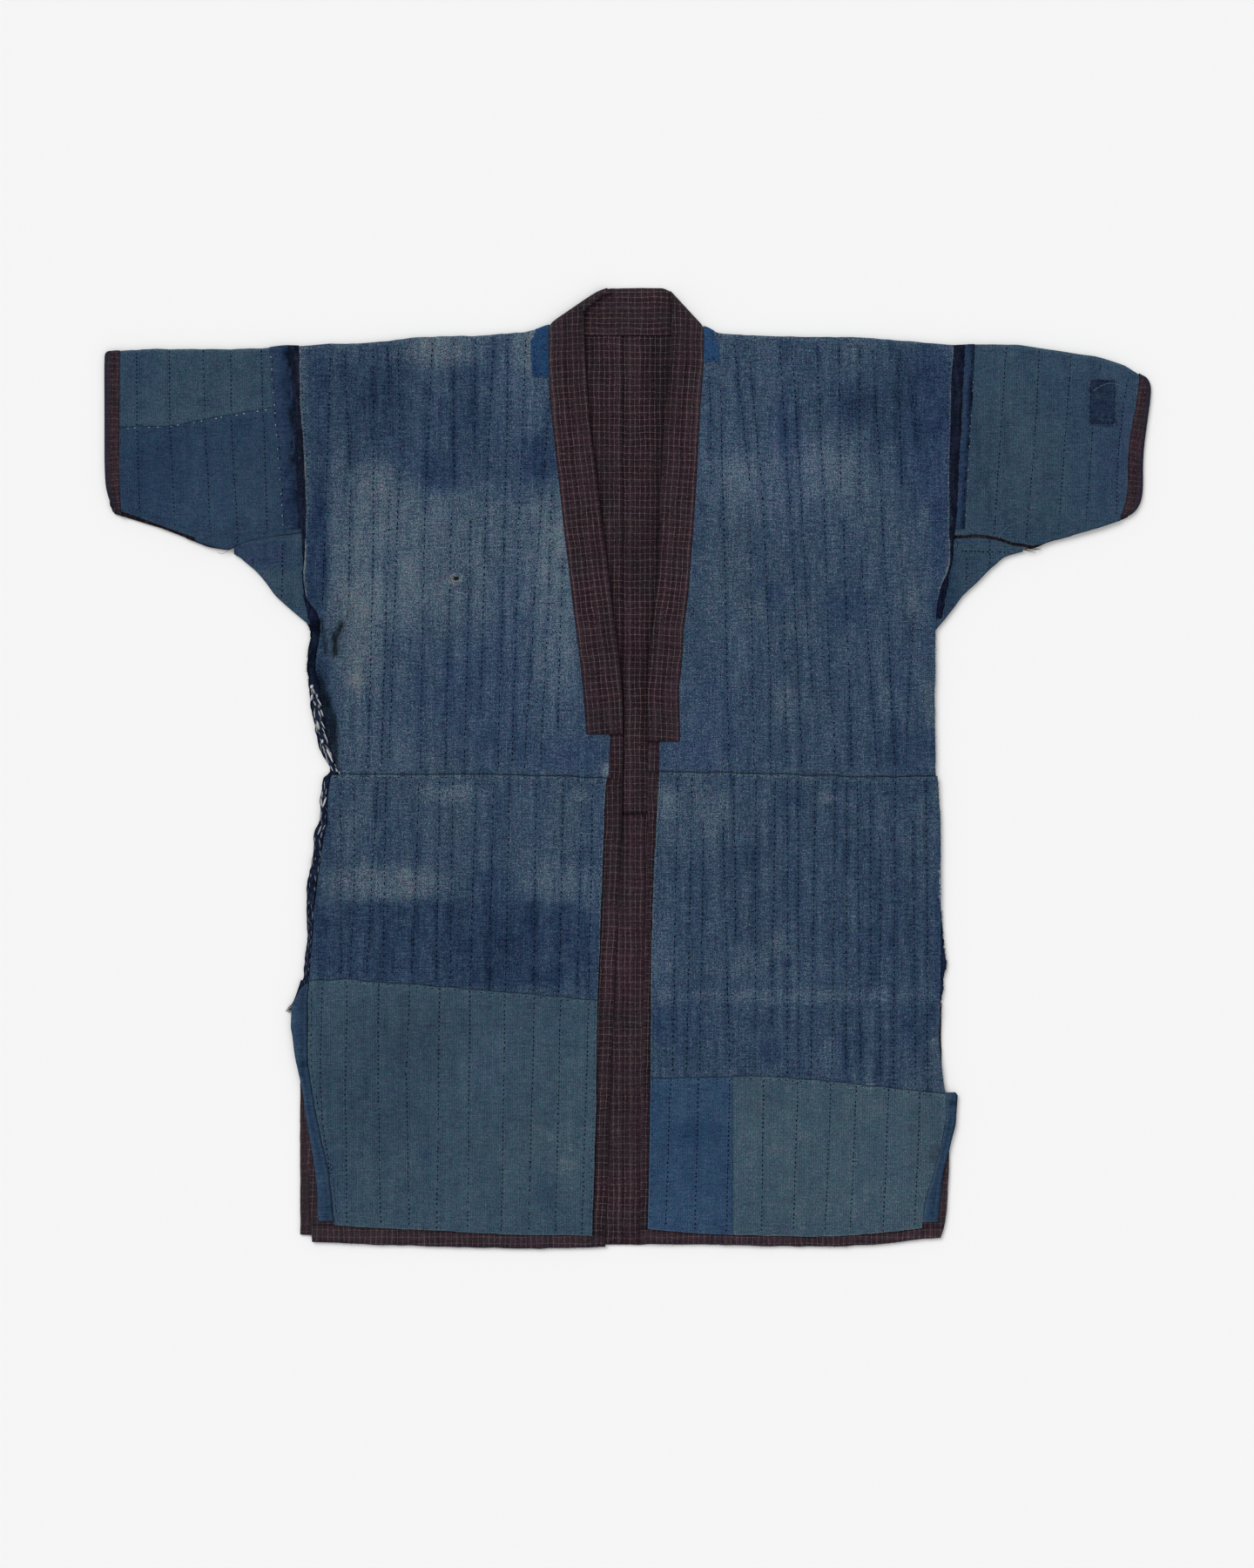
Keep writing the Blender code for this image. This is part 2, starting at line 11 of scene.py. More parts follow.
import bpy
import numpy as np
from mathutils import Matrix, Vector

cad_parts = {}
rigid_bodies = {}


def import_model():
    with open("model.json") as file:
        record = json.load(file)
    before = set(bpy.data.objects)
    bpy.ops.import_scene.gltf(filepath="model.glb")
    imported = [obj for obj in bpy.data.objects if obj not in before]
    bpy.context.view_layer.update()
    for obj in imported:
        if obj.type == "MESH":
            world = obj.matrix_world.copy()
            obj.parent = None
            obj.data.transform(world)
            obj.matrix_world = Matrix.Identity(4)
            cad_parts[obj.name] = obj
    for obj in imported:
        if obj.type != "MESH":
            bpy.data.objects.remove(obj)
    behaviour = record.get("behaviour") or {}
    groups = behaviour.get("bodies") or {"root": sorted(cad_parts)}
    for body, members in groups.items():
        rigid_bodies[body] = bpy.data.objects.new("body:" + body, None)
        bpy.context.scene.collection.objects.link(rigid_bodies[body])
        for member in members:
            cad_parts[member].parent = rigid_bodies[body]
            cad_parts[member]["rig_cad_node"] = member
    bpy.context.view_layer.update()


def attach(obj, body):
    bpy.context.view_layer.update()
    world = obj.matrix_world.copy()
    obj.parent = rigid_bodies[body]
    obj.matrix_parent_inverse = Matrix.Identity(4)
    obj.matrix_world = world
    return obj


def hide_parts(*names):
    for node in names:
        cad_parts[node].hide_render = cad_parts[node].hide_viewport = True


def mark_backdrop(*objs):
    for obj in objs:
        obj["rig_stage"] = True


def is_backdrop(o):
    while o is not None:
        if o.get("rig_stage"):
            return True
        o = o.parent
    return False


MM = 0.001
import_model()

# ---------------------------------------------------------------- sizes, as in the CAD
WALL = 0.8  # one layer of cloth
BACK_LINING = 0.5
BACK_OUTER = 1.8
COLLAR_UNDER = 3.1
FRONT_OUTER = 4.4
FRONT_LINING = 5.7
TOP = 7.0
EASE = 1.3
SHOULDER_BEND = 3.1
GUSSET_BEND = 2.45
SEAM = 0.4
NECK_SEAM = 428.2
NECK_POINT = 67.0
CENTRE_BACK = -4.0
BACK_WAIST = -45.0
HEM_SHOWS = 12.0
FRONT_STEP = 2.7  # between points of the cloth that shows
HIDDEN_STEP = 8.0  # between points of the cloth that doesn't


# ---------------------------------------------------------------- lines and noise
def hashed(i, j, seed):
    h = (i.astype(np.int64) * 374761393 + j.astype(np.int64) * 668265263 + seed * 974711 + 12345) & 0xFFFFFFFF
    h = ((h ^ (h >> 13)) * 1274126177) & 0xFFFFFFFF
    h = h ^ (h >> 16)
    return (h & 0xFFFFFF) / float(0xFFFFFF)


def noise(x, y, sx, sy=None, seed=0):
    """Smooth noise from -1 to 1, with features of about sx by sy millimetres."""
    u, v = np.asarray(x, float) / sx, np.asarray(y, float) / (sy or sx)
    i, j = np.floor(u), np.floor(v)
    a, b = u - i, v - j
    a, b = a * a * (3 - 2 * a), b * b * (3 - 2 * b)
    c = [hashed(i + p, j + q, seed) for q in (0, 1) for p in (0, 1)]
    return 2 * ((c[0] * (1 - a) + c[1] * a) * (1 - b) + (c[2] * (1 - a) + c[3] * a) * b) - 1


def cloud(x, y, sx, sy=None, seed=0, octaves=3):
    sy = sy or sx
    total, size = 0, 0
    for k in range(octaves):
        total = total + noise(x, y, sx / 2**k, sy / 2**k, seed + 17 * k) * 0.55**k
        size += 0.55**k
    return total / size


def smooth(a, b, t):
    t = np.clip((np.asarray(t, float) - a) / (b - a), 0, 1)
    return t * t * (3 - 2 * t)


class Line:
    """A soft line through points (along, across), read at any number of places at once."""

    def __init__(self, *points, round=5.0, wave=0.0, pitch=14.0, seed=0):
        points = sorted(points)
        a = np.array([p[0] for p in points], float)
        b = np.array([p[1] for p in points], float)
        at = np.arange(a[0] - 40, a[-1] + 40, 0.5)
        value = np.interp(at, a, b)
        if round > 0:
            n = max(1, int(round / 0.5)) | 1
            k = np.hanning(n + 2)
            pad = np.pad(value, n, mode="edge")
            value = np.convolve(pad, k / k.sum(), "same")[n:-n]
        if wave:
            value = value + wave * noise(at, at * 0, pitch, 9, seed) + wave * 0.5 * noise(at, at * 0, pitch * 0.35, 9, seed + 5)
        self.at, self.value = at, value

    def __call__(self, t):
        return np.interp(t, self.at, self.value)


def plus(f, by):
    return lambda t: f(t) + by


def level(value):
    return lambda t: np.zeros_like(np.asarray(t, float)) + value


def mix(a, b, t):
    return a + (b - a) * t


# The body's sides above the waist (armholes, then underarm seams), from the armhole's top to the waist.
SIDE_L = Line((417, -324.5), (360, -323.5), (332, -321), (303, -319.5), (260, -317.5), (212, -318), (184, -319.5), (168, -318), (154, -306.5), (140, -302), (115, -306), (100, -308), (81, -304), (57, -300.5), (35, -297), (12, -290), (-6, -285), wave=0.35, seed=3)
SIDE_R = Line((417, 322), (371, 319.5), (328, 318.5), (277, 318), (231, 318), (204, 318), (191, 314.5), (181, 309.5), (161, 305.5), (133, 304), (70, 303), (-6, 304), wave=0.35, seed=4)
LOW_SIDE_L = Line((-6, -292), (-29, -296), (-54, -295.5), (-64, -299), (-81, -301.5), (-107, -305), (-138, -309), (-161, -310), (-184, -312), (-210, -314), (-230, -315), (-292, -315), (-345, -306), (-363, -302.5), (-397, -294), (-449, -288.5), round=7, wave=0.3, seed=5)
LOW_SIDE_R = Line((-6, 306), (-50, 308.5), (-101, 309), (-187, 309), (-230, 308.5), (-265, 307.5), (-295, 310), (-320, 313.5), (-345, 314), (-375, 308.5), (-403, 300.5), (-427, 293), (-457, 290), round=7, wave=0.3, seed=6)
OUT_L = Line((437, -78), (413, -78), (377, -77), (328, -72.5), (293, -68.5), (241, -63), (187, -56.5), (156, -53), (110, -47), (77, -43.5), (33, -40), round=14)
FREE_L = Line((462, -42.5), (431, -42.5), (402, -41.5), (345, -37.5), (302, -32), (253, -26), (201, -19.5), (148, -13.5), (110, -8), (64, -4.5), (33, -4), round=20, wave=0.25, pitch=30, seed=7)
OUT_R = Line((430, 76), (402, 75), (360, 72), (328, 70), (293, 68.5), (241, 65), (174, 60), (140, 55.5), (110, 54), (77, 50.5), (26, 52), round=14)
FREE_R = Line((465, 44.5), (423, 42.5), (388, 41), (345, 36.5), (293, 34), (241, 31.5), (187, 29), (148, 26), (110, 21), (70, 19.5), (26, 19.5), round=20, wave=0.25, pitch=30, seed=8)
EDGE_L = Line((30, -4), (-6, -4.5), (-67, -6.5), (-187, -11.5), (-316, -17), (-471, -22), wave=0.3, pitch=26, seed=9)
EDGE_R = Line((24, 20), (-50, 20), (-187, 17), (-316, 14), (-469, 12.5), wave=0.3, pitch=26, seed=10)
LINING_L = Line((30, -17.5), (-6, -18.5), (-13, -21), (-50, -23), (-136, -26), (-229, -29.5), (-359, -31.5), (-461, -35), round=3, wave=0.3, pitch=22, seed=11)
LINING_R = Line((24, 31.5), (-6, 31.5), (-50, 29), (-101, 26), (-187, 23.5), (-305, 23), (-456, 20), wave=0.3, pitch=22, seed=12)
BACK_SIDE_L = Line((437, -325), (212, -317), (164, -316), (145, -304), (110, -306), (60, -302), (36, -297), (12, -293), (-50, -295), (-107, -305), (-160, -310), (-230, -315), (-273, -320.5), (-312, -323), (-460, -323), wave=0.3, seed=13)
BACK_SIDE_R = Line((437, 322), (212, 318), (187, 312), (164, 306), (145, 304), (60, 303), (0, 304), (-50, 308), (-107, 309), (-292, 310), (-320, 313.5), (-359, 317), (-385, 317), (-430, 315.5), (-450, 313.5), (-460, 310), wave=0.3, seed=14)
FACING_L = Line((-211, -316), (-221, -325), (-235, -331), (-256, -332), (-292, -326.5), (-316, -321), (-351, -316), (-385, -310), (-411, -306.5), (-447, -305), wave=0.3, seed=15)
FACING_R = Line((-318, 320), (-321, 325.5), (-351, 324), (-375, 318), (-398, 312), (-428, 308.5), (-451, 306.5), wave=0.3, seed=16)
# Lines across the fronts and the back.
TOP_L = Line((-330, 416.5), (-284, 419), (-258, 419.5), (-232, 422.5), (-207, 425), (-155, 426.5), (-103, 430), (-91, 432.5), (-78, 437), (-67, 438), round=9, wave=0.5, pitch=21, seed=17)
TOP_R = Line((67, 437), (76, 436), (89, 429), (128, 426.5), (180, 425.5), (232, 425), (257, 422.5), (283, 420.5), (330, 417), round=9, wave=0.5, pitch=21, seed=18)
WAIST_L = Line((-294, -6), (-138, -6), (-69, -7.5), (-4, -10.5), wave=0.5, pitch=11, seed=19)
WAIST_R = Line((20, -3.5), (120, -4.5), (189, -7), (240, -9), (306, -7.5), wave=0.5, pitch=11, seed=20)
PANEL_L = Line((-315, -210), (-280, -208), (-250, -210), (-172, -216.5), (-103, -222), (-26, -229.5), wave=0.6, pitch=17, seed=21)
PANEL_R = Line((20, -306), (120, -303.5), (154, -304.5), (206, -309), (240, -313), (318, -321), wave=0.6, pitch=17, seed=22)
HEM_L = Line((-323, -467.5), (-310, -467.5), (-232, -470.5), (-172, -472), (-103, -474), (-22, -472), wave=0.5, pitch=12, seed=23)
HEM_R = Line((12, -469.5), (77, -469.5), (154, -471.5), (206, -472), (257, -468.5), (314, -462), wave=0.5, pitch=12, seed=24)
LINING_HEM_L = Line((-293, -450.5), (-207, -455), (-103, -460), (-26, -461), wave=0.4, pitch=15, seed=25)
LINING_HEM_R = Line((17, -454), (68, -458.5), (137, -461), (206, -462), (266, -456.5), (297, -452.5), wave=0.4, pitch=15, seed=26)
HEM_BACK = Line((-323, -460), (-207, -466), (-103, -471), (17, -470), (154, -469.5), (240, -466), (317, -461), wave=0.4, pitch=12, seed=27)
COLLAR_TOP = Line((-64, 446), (-38, 463), (-27, 471.5), (-17, 473.5), (35, 474), (42, 471), (64, 447), round=5, wave=0.25, seed=28)
# The sleeves.
SLEEVE_TOP_L = Line((-516, 411), (-490, 413), (-465, 413.5), (-413, 413.5), (-361, 414.5), (-336, 417), (-310, 417), wave=0.4, pitch=18, seed=29)
SLEEVE_TOP_R = Line((304, 417), (361, 418), (386, 418), (412, 413.5), (438, 409.5), (464, 406), (490, 397.5), (507, 388), (517, 379), wave=0.4, pitch=18, seed=30)
SLEEVE_LOW_L = Line((-516, 251), (-504, 249.5), (-490, 245), (-465, 237.5), (-439, 228), (-413, 218.5), (-394, 215), (-383, 220), (-370, 225), (-353, 228), (-323, 232), (-305, 232), wave=0.4, seed=31)
SLEEVE_LOW_R = Line((304, 225), (344, 228), (366, 224.5), (380, 219.5), (400, 216.5), (412, 222), (438, 229), (464, 236.5), (491, 246), (517, 254), wave=0.4, seed=32)
SLEEVE_SEAM = Line((-516, 336), (-502, 336.4), (-465, 337.2), (-447, 338.2), (-413, 345.2), (-370, 352.2), (-346, 356.2), (-305, 359.2), wave=0.5, pitch=16, seed=33)
GUSSET_L = Line((-413, 215), (-394, 214.5), (-382, 208), (-367, 195), (-356, 182.5), (-347, 170), (-332, 156.5), (-318, 144.5), (-305, 135), wave=0.3, seed=34)
GUSSET_R = Line((304, 136), (312, 145.5), (321, 156.5), (330, 169.5), (344, 182.5), (356, 195), (371, 208), (386, 212.5), (400, 215), wave=0.3, seed=35)
END_L = Line((411, -516), (259, -516), (252, -512), (249, -509), round=4, wave=0.3, seed=36)
END_R = Line((411, 500), (388, 507), (376, 516), (337, 513), (311, 508.5), (272, 508), (259, 504), (249, 496), round=8, wave=0.2, seed=37)
# Narrow pieces along the armhole seams: raw dark allowances, then navy strips.
ALLOW_L = Line((417, -333.6), (371, -330.2), (328, -328.0), (285, -326.2), (246, -323.4), (228, -320.8), (205, -320.0), (184, -320.4), (168, -318.8), (160, -317.4), (150, -315.0), (140, -313.2), wave=0.4, pitch=9, seed=38)
ALLOW_R = Line((414, 332.6), (371, 330.5), (328, 328.6), (289, 326.4), (242, 324.2), (225, 322), (204, 320.6), (191, 317.5), (165, 313), (146, 309), wave=0.4, pitch=9, seed=39)
STRIP_L = Line((414, -353), (367, -350.5), (345, -348.5), (303, -344), (260, -342), (228, -337.5), wave=0.3, seed=40)
STRIP_R = Line((413, 342.2), (375, 340.8), (328, 337.5), (289, 335), (229, 332), wave=0.3, seed=41)
# The rolled, overcast allowances of the side seams: their outer edges.
ROLL_L = Line((150, -314), (144, -317), (136, -312.5), (122, -313.5), (105, -317), (87, -315), (53, -311), (36, -308), (19, -303), (-3, -292), (-9, -300.5), (-32, -304), (-50, -303), (-67, -310), (-84, -310), (-101, -313.5), (-118, -317), (-170, -316), (-187, -318), (-204, -319.5), (-222, -325.5), (-232, -330), round=6, wave=0.5, pitch=8, seed=42)
OUTER_SIDE_L = Line((-238, -311), (-262, -318), (-300, -321), (-330, -319.5), (-400, -315), (-472, -311), wave=0.3, seed=46)
OUTER_SIDE_R = Line((-318, 311), (-332, 317.5), (-360, 317.8), (-400, 317), (-435, 315), (-452, 313), (-463, 309.5), (-472, 304), wave=0.3, seed=47)
ROLL_R = Line((-136, 309.6), (-151, 311), (-165, 311.4), (-174, 312.6), (-185, 313.4), (-192, 314.9), (-198, 314.2), (-206, 312.6), (-217, 311.6), (-233, 309.8), round=4, wave=0.45, pitch=5, seed=43)
CUFF_IN_R = Line((400, 506), (388, 505), (375, 503.8), (344, 499), (322.8, 494.6), (300, 493.4), (276, 493.5), (262, 491), (246.8, 486.3), (240, 484), wave=0.25, seed=48)

def sleeve_end(y, left):
    """How far a sleeve reaches at a height, with its corners rounded off along the top and the bottom seam."""
    y = np.asarray(y, float)
    if left:
        at = np.arange(-522.0, -440.0, 0.5)[::-1]
        under = np.interp(y, np.maximum.accumulate(SLEEVE_LOW_L(at)), at, right=-600)
        over = np.where(y > 408, -516 + (y - 408) * 2.5, -600)
        return np.maximum(np.maximum(END_L(y), over), under)
    at = np.arange(440.0, 522.0, 0.5)
    top, low = SLEEVE_TOP_R(at), SLEEVE_LOW_R(at)
    over = np.interp(-y, np.maximum.accumulate(-top), at, right=600)
    under = np.interp(y, np.maximum.accumulate(low), at, right=600)
    return np.minimum(np.minimum(END_R(y), over), under)


# ---------------------------------------------------------------- running stitches: each row's two ends
QUILT_UPPER_LEFT = (
    (-292.8, 405.9, -300.6, 156.5),
    (-279.1, 407.6, -273.1, 294.1),
    (-273.1, 276.9, -274.8, 165.1),
    (-250.7, 414.5, -250.7, 208.1),
    (-250.7, 208.1, -255.8, -3.4),
    (-236.9, 416.2, -233.5, 328.5),
    (-234.3, 276.9, -242.9, -1.7),
    (-225.8, 416.2, -224, 311.3),
    (-224.9, 294.1, -235.2, 1.7),
    (-192.2, 421.4, -197.4, 319.9),
    (-197.4, 319.9, -201.7, 165.1),
    (-201.7, 156.5, -204.2, -3.4),
    (-171.6, 421.4, -170.7, 276.9),
    (-173.3, 259.7, -179.3, -1.7),
    (-150.1, 423.1, -150.9, 302.7),
    (-154.4, 251.1, -161.2, -1.7),
    (-132, 424.8, -138.9, 276.9),
    (-138.9, 276.9, -144.9, 53.3),
    (-118.2, 424.8, -119.1, 311.3),
    (-119.1, 311.3, -127.7, -1.7),
    (-100.2, 424.8, -107.1, 242.5),
    (-107.1, 242.5, -114, -3.4),
    (-76.1, 371.5, -89, 208.1),
    (-89, 208.1, -101.9, -1.7),
    (-74.4, 276.9, -77.8, 173.7),
    (-77.8, 165.1, -86.4, -1.7),
    (-64.1, 208.1, -69.2, 27.5),
)
QUILT_UPPER_RIGHT = (
    (81.3, 388.7, 83, 276.9),
    (91.6, 380.1, 95.9, 208.1),
    (95.9, 208.1, 100.2, -1.7),
    (105.3, 418.8, 121.7, 276.9),
    (120.8, 242.5, 125.1, -1.7),
    (119.1, 418, 132.9, 276.9),
    (133.7, 268.3, 140.6, 96.3),
    (140.6, 96.3, 141.5, -3.4),
    (150.1, 418, 161.2, 242.5),
    (162.1, 233.9, 172.4, -1.7),
    (162.1, 418, 170.7, 276.9),
    (170.7, 276.9, 178.4, 122.1),
    (178.4, 122.1, 183.6, 70.5),
    (187, 416.2, 193.1, 276.9),
    (193.9, 268.3, 199.1, 96.3),
    (199.1, 96.3, 206, -1.7),
    (208.5, 414.5, 210.3, 276.9),
    (212.8, 242.5, 221.4, -1.7),
    (229.2, 414.5, 228.3, 251.1),
    (230.9, 208.1, 246.4, -1.7),
    (242.1, 412.8, 249.8, 276.9),
    (249.8, 276.9, 258.4, 122.1),
    (258.4, 122.1, 263.6, -3.4),
    (267, 411.1, 270.5, 276.9),
    (154.4, 156.5, 156.9, 1.7),
    (279.9, 380.1, 285.1, 328.5),
    (282.5, 156.5, 274.8, 27.5),
)
QUILT_LOWER_LEFT = (
    (-282.5, -12, -282.5, -211.6),
    (-270.5, -12, -268.8, -101.5),
    (-268.8, -101.5, -273.9, -209.8),
    (-246.4, -12, -257.6, -208.1),
    (-237.8, -12, -241.2, -208.1),
    (-205.1, -12, -212.8, -211.6),
    (-185.3, -12, -188.8, -213.3),
    (-172.4, -12, -175, -215),
    (-149.2, -12.9, -155.2, -216.7),
    (-132, -12.9, -136.3, -218.4),
    (-116.5, -12.9, -120, -221.9),
    (-89.9, -12.9, -92.5, -223.6),
    (-63.2, -13.8, -67.5, -225.3),
    (-45.1, -13.8, -49.4, -227),
    (-34, -14.6, -38.3, -228.8),
)
QUILT_LOWER_RIGHT = (
    (49.4, -8.6, 44.3, -301),
    (64.1, -8.6, 58, -301.9),
    (76.1, -8.6, 71, -301.9),
    (94.2, -49.9, 101, -301),
    (104.5, -8.6, 107.1, -170.3),
    (126.8, -10.3, 126, -256.3),
    (145.8, -11.2, 142.3, -256.3),
    (157.8, -11.2, 157.8, -303.6),
    (168.1, -12, 169, -304.4),
    (185.3, -12, 181, -305.3),
    (205.1, -12.9, 201.7, -306.2),
    (216.3, -12.9, 215.4, -307.9),
    (226.6, -12.9, 230, -309.6),
    (239.5, -12.9, 240.4, -221.9),
    (249, -67.1, 249, -313),
    (264.4, -12, 261.9, -313),
    (281.6, -49.9, 284.2, -316.5),
    (294.6, -9.5, 296.3, -318.2),
)
QUILT_PANEL_LEFT = (
    (-301.4, -215, -303.1, -307.9),
    (-303.1, -307.9, -301.0, -350.9),
    (-301.0, -350.9, -292.8, -402.5),
    (-276.5, -213.3, -278.2, -325.1),
    (-278.2, -325.1, -276.5, -452.4),
    (-245.5, -211.6, -245.5, -333.7),
    (-245.5, -333.7, -242.9, -454.1),
    (-214.6, -213.3, -218, -299.3),
    (-218, -299.3, -215.4, -454.1),
    (-185.3, -215, -187.9, -455.8),
    (-155.2, -218.4, -157.8, -457.5),
    (-120.8, -222.7, -124.3, -458.4),
    (-91.6, -225.3, -97.6, -459.2),
    (-65.8, -227.9, -71, -460.1),
    (-38.3, -230.5, -45.1, -461),
)
QUILT_PANEL_RIGHT = (
    (42.6, -304.4, 37.4, -454.1),
    (70.1, -304.4, 66.7, -456.7),
    (101, -305.3, 97.6, -457.5),
    (134.6, -306.2, 132, -458.4),
    (168.1, -307.9, 163.8, -458.4),
    (200.8, -309.6, 194.8, -459.2),
    (225.8, -312.2, 219.7, -459.2),
    (257.6, -314.8, 252.4, -457.5),
    (288.5, -318.2, 283.4, -454.1),
)
QUILT_SLEEVE_LEFT = (
    (-483.8, 411.1, -483.8, 337.1),
    (-483.8, 333.7, -480.3, 244.2),
    (-451.9, 411.9, -451.1, 339.7),
    (-451.1, 337.1, -445.9, 235.6),
    (-418.4, 412.8, -416.7, 340.6),
    (-416.7, 337.1, -410.6, 225.3),
    (-390.9, 412.8, -390.9, 347.4),
    (-390.9, 344, -384, 218.4),
    (-360.8, 413.7, -359.9, 354.3),
    (-359.1, 349.2, -354.8, 232.2),
    (-369.4, 208.1, -370.2, 197.8),
    (-340.1, 221.9, -341, 165.1),
)
QUILT_SLEEVE_RIGHT = (
    (373.7, 416.2, 367.6, 324.2),
    (367.6, 324.2, 361.6, 228.8),
    (406.3, 412.8, 402.1, 324.2),
    (402.1, 324.2, 392.6, 223.6),
    (437.3, 407.6, 431.3, 324.2),
    (431.3, 324.2, 424.4, 227.9),
    (466.5, 399, 464.0, 387),
    (459.0, 337.0, 451.9, 239.1),
    (494.0, 384.0, 489.0, 361.2),
    (489.0, 361.2, 483.8, 311.3),
    (483.8, 311.3, 482, 249.4),
    (335.0, 208.0, 334.2, 172.0),
    (357.5, 226.0, 357.5, 200.0),
    (328.5, 214.2, 389.0, 212.8),
)

# ---------------------------------------------------------------- fades: middle, half width, half height, softness, how much paler, how much warmer
FADES_UPPER_LEFT = (
    (-116.0, 362.0, 26.0, 38.0, 0.9, 0.16, -0.1),
    (-247.0, 200.0, 34.0, 46.0, 0.9, -0.04, -0.3),
    (-187.9, 411.1, 37.8, 17.2, 0.7, 0.26, 0.5),
    (-95.9, 411.1, 17.2, 20.6, 0.6, 0.24, 0.4),
    (-305.7, 345.7, 11.2, 94.6, 0.5, -0.16, -0.3),
    (-262.7, 371.5, 43, 51.6, 0.8, -0.1, 0.15),
    (-185.3, 350, 120.4, 68.8, 0.6, -0.12, -0.1),
    (-185.3, 289.8, 17.2, 17.2, 0.7, -0.16, -0.5),
    (-86.4, 305.3, 17.2, 24.1, 0.7, -0.2, -0.5),
    (-172.4, 208.1, 129, 64.5, 0.35, 0.12, 0.05),
    (-249.8, 208.1, 44.7, 68.8, 0.6, 0.12, 0.3),
    (-243.8, 285.5, 22.4, 18.9, 0.8, 0.2, 0.3),
    (-69.2, 165.1, 20.6, 107.5, 0.6, 0.2, 0.1),
    (-265.0, 132.0, 20.0, 62.0, 0.7, 0.13, 0.35),
    (-267.0, 85.6, 8.6, 8.0, 0.9, 0.24, 0.9),
    (-305.7, 208.1, 11.2, 64.5, 0.5, -0.24, -0.5),
    (-163.8, 74.8, 53.3, 51.6, 0.8, -0.1, -0.7),
    (-103.6, 104.9, 60.2, 51.6, 0.8, 0.04, -0.1),
    (-232.6, 27.5, 68.8, 22.4, 0.8, 0.02, 0.1),
    (-60.6, 12, 43, 17.2, 0.7, -0.06, -0.6),
    (-138, 18.9, 51.6, 25.8, 0.8, -0.05, -0.1),
    (-103.6, 380.1, 31, 25.8, 0.8, 0.02, -0.2),
    (-206.8, 156.5, 25.8, 51.6, 0.8, 0.04, -0.1),
    (-301.4, 70.5, 12, 60.2, 0.6, -0.2, -0.3),
    (-215.4, 251.1, 25.8, 25.8, 0.8, 0.05, 0.1),
    (-20.2, -1.7, 4.3, 7.7, 0.8, 0.5, 0.3),
)
FADES_UPPER_RIGHT = (
    (163.0, 311.0, 46.0, 38.0, 0.9, -0.06, -0.4),
    (303.0, 320.0, 18.0, 100.0, 0.8, -0.08, -0.7),
    (275.6, 367.2, 41.3, 51.6, 0.7, -0.2, -0.1),
    (219.7, 362.9, 20.6, 20.6, 0.8, -0.16, -0.3),
    (154.4, 345.7, 13.8, 25.8, 0.8, -0.1, -0.3),
    (111.4, 380.1, 38.7, 34.4, 0.9, 0, -0.2),
    (158.7, 283.8, 77.4, 43, 0.7, 0.14, -0.35),
    (198.2, 302.7, 25.8, 29.2, 0.8, 0.18, 0.1),
    (109.6, 293.3, 25.8, 13.8, 0.8, 0.14, 0.1),
    (292, 246.8, 5.2, 15.5, 0.8, 0.2, 0.2),
    (146.6, 166.8, 12, 17.2, 0.8, -0.1, -0.5),
    (216.3, 156.5, 20.6, 20.6, 0.8, -0.1, -0.4),
    (128.6, 157.4, 15.5, 12, 0.8, 0.14, 0.3),
    (282.5, 165.1, 5.2, 22.4, 0.7, 0.16, 0.2),
    (297.1, 65.4, 6.9, 22.4, 0.6, 0.12, 0.6),
    (152.7, 60.2, 13.8, 17.2, 0.8, 0.12, 0.2),
    (257.6, 66.2, 8.6, 12, 0.8, 0.12, 0.2),
    (271.3, 81.7, 6.9, 10.3, 0.8, -0.12, -0.1),
    (267.9, 18.9, 37.8, 20.6, 0.8, -0.12, -0.1),
    (59.8, 13.8, 29.2, 18.9, 0.8, -0.02, -0.7),
    (94.2, 208.1, 22.4, 103.2, 0.8, 0.08, 0.1),
    (68.4, 345.7, 12, 51.6, 0.7, 0.02, -0.3),
    (307.4, 208.1, 6.9, 103.2, 0.6, -0.12, -0.5),
    (206, 208.1, 51.6, 51.6, 0.9, -0.04, -0.1),
    (137.2, 27.5, 51.6, 25.8, 0.8, -0.04, -0.1),
    (240.4, 242.5, 34.4, 51.6, 0.9, 0.02, 0.1),
    (78.7, 44.7, 20.6, 51.6, 0.8, 0, -0.5),
    (188.8, 87.7, 51.6, 51.6, 0.9, -0.03, 0),
    (279.1, 294.1, 17.2, 51.6, 0.8, -0.06, -0.2),
)
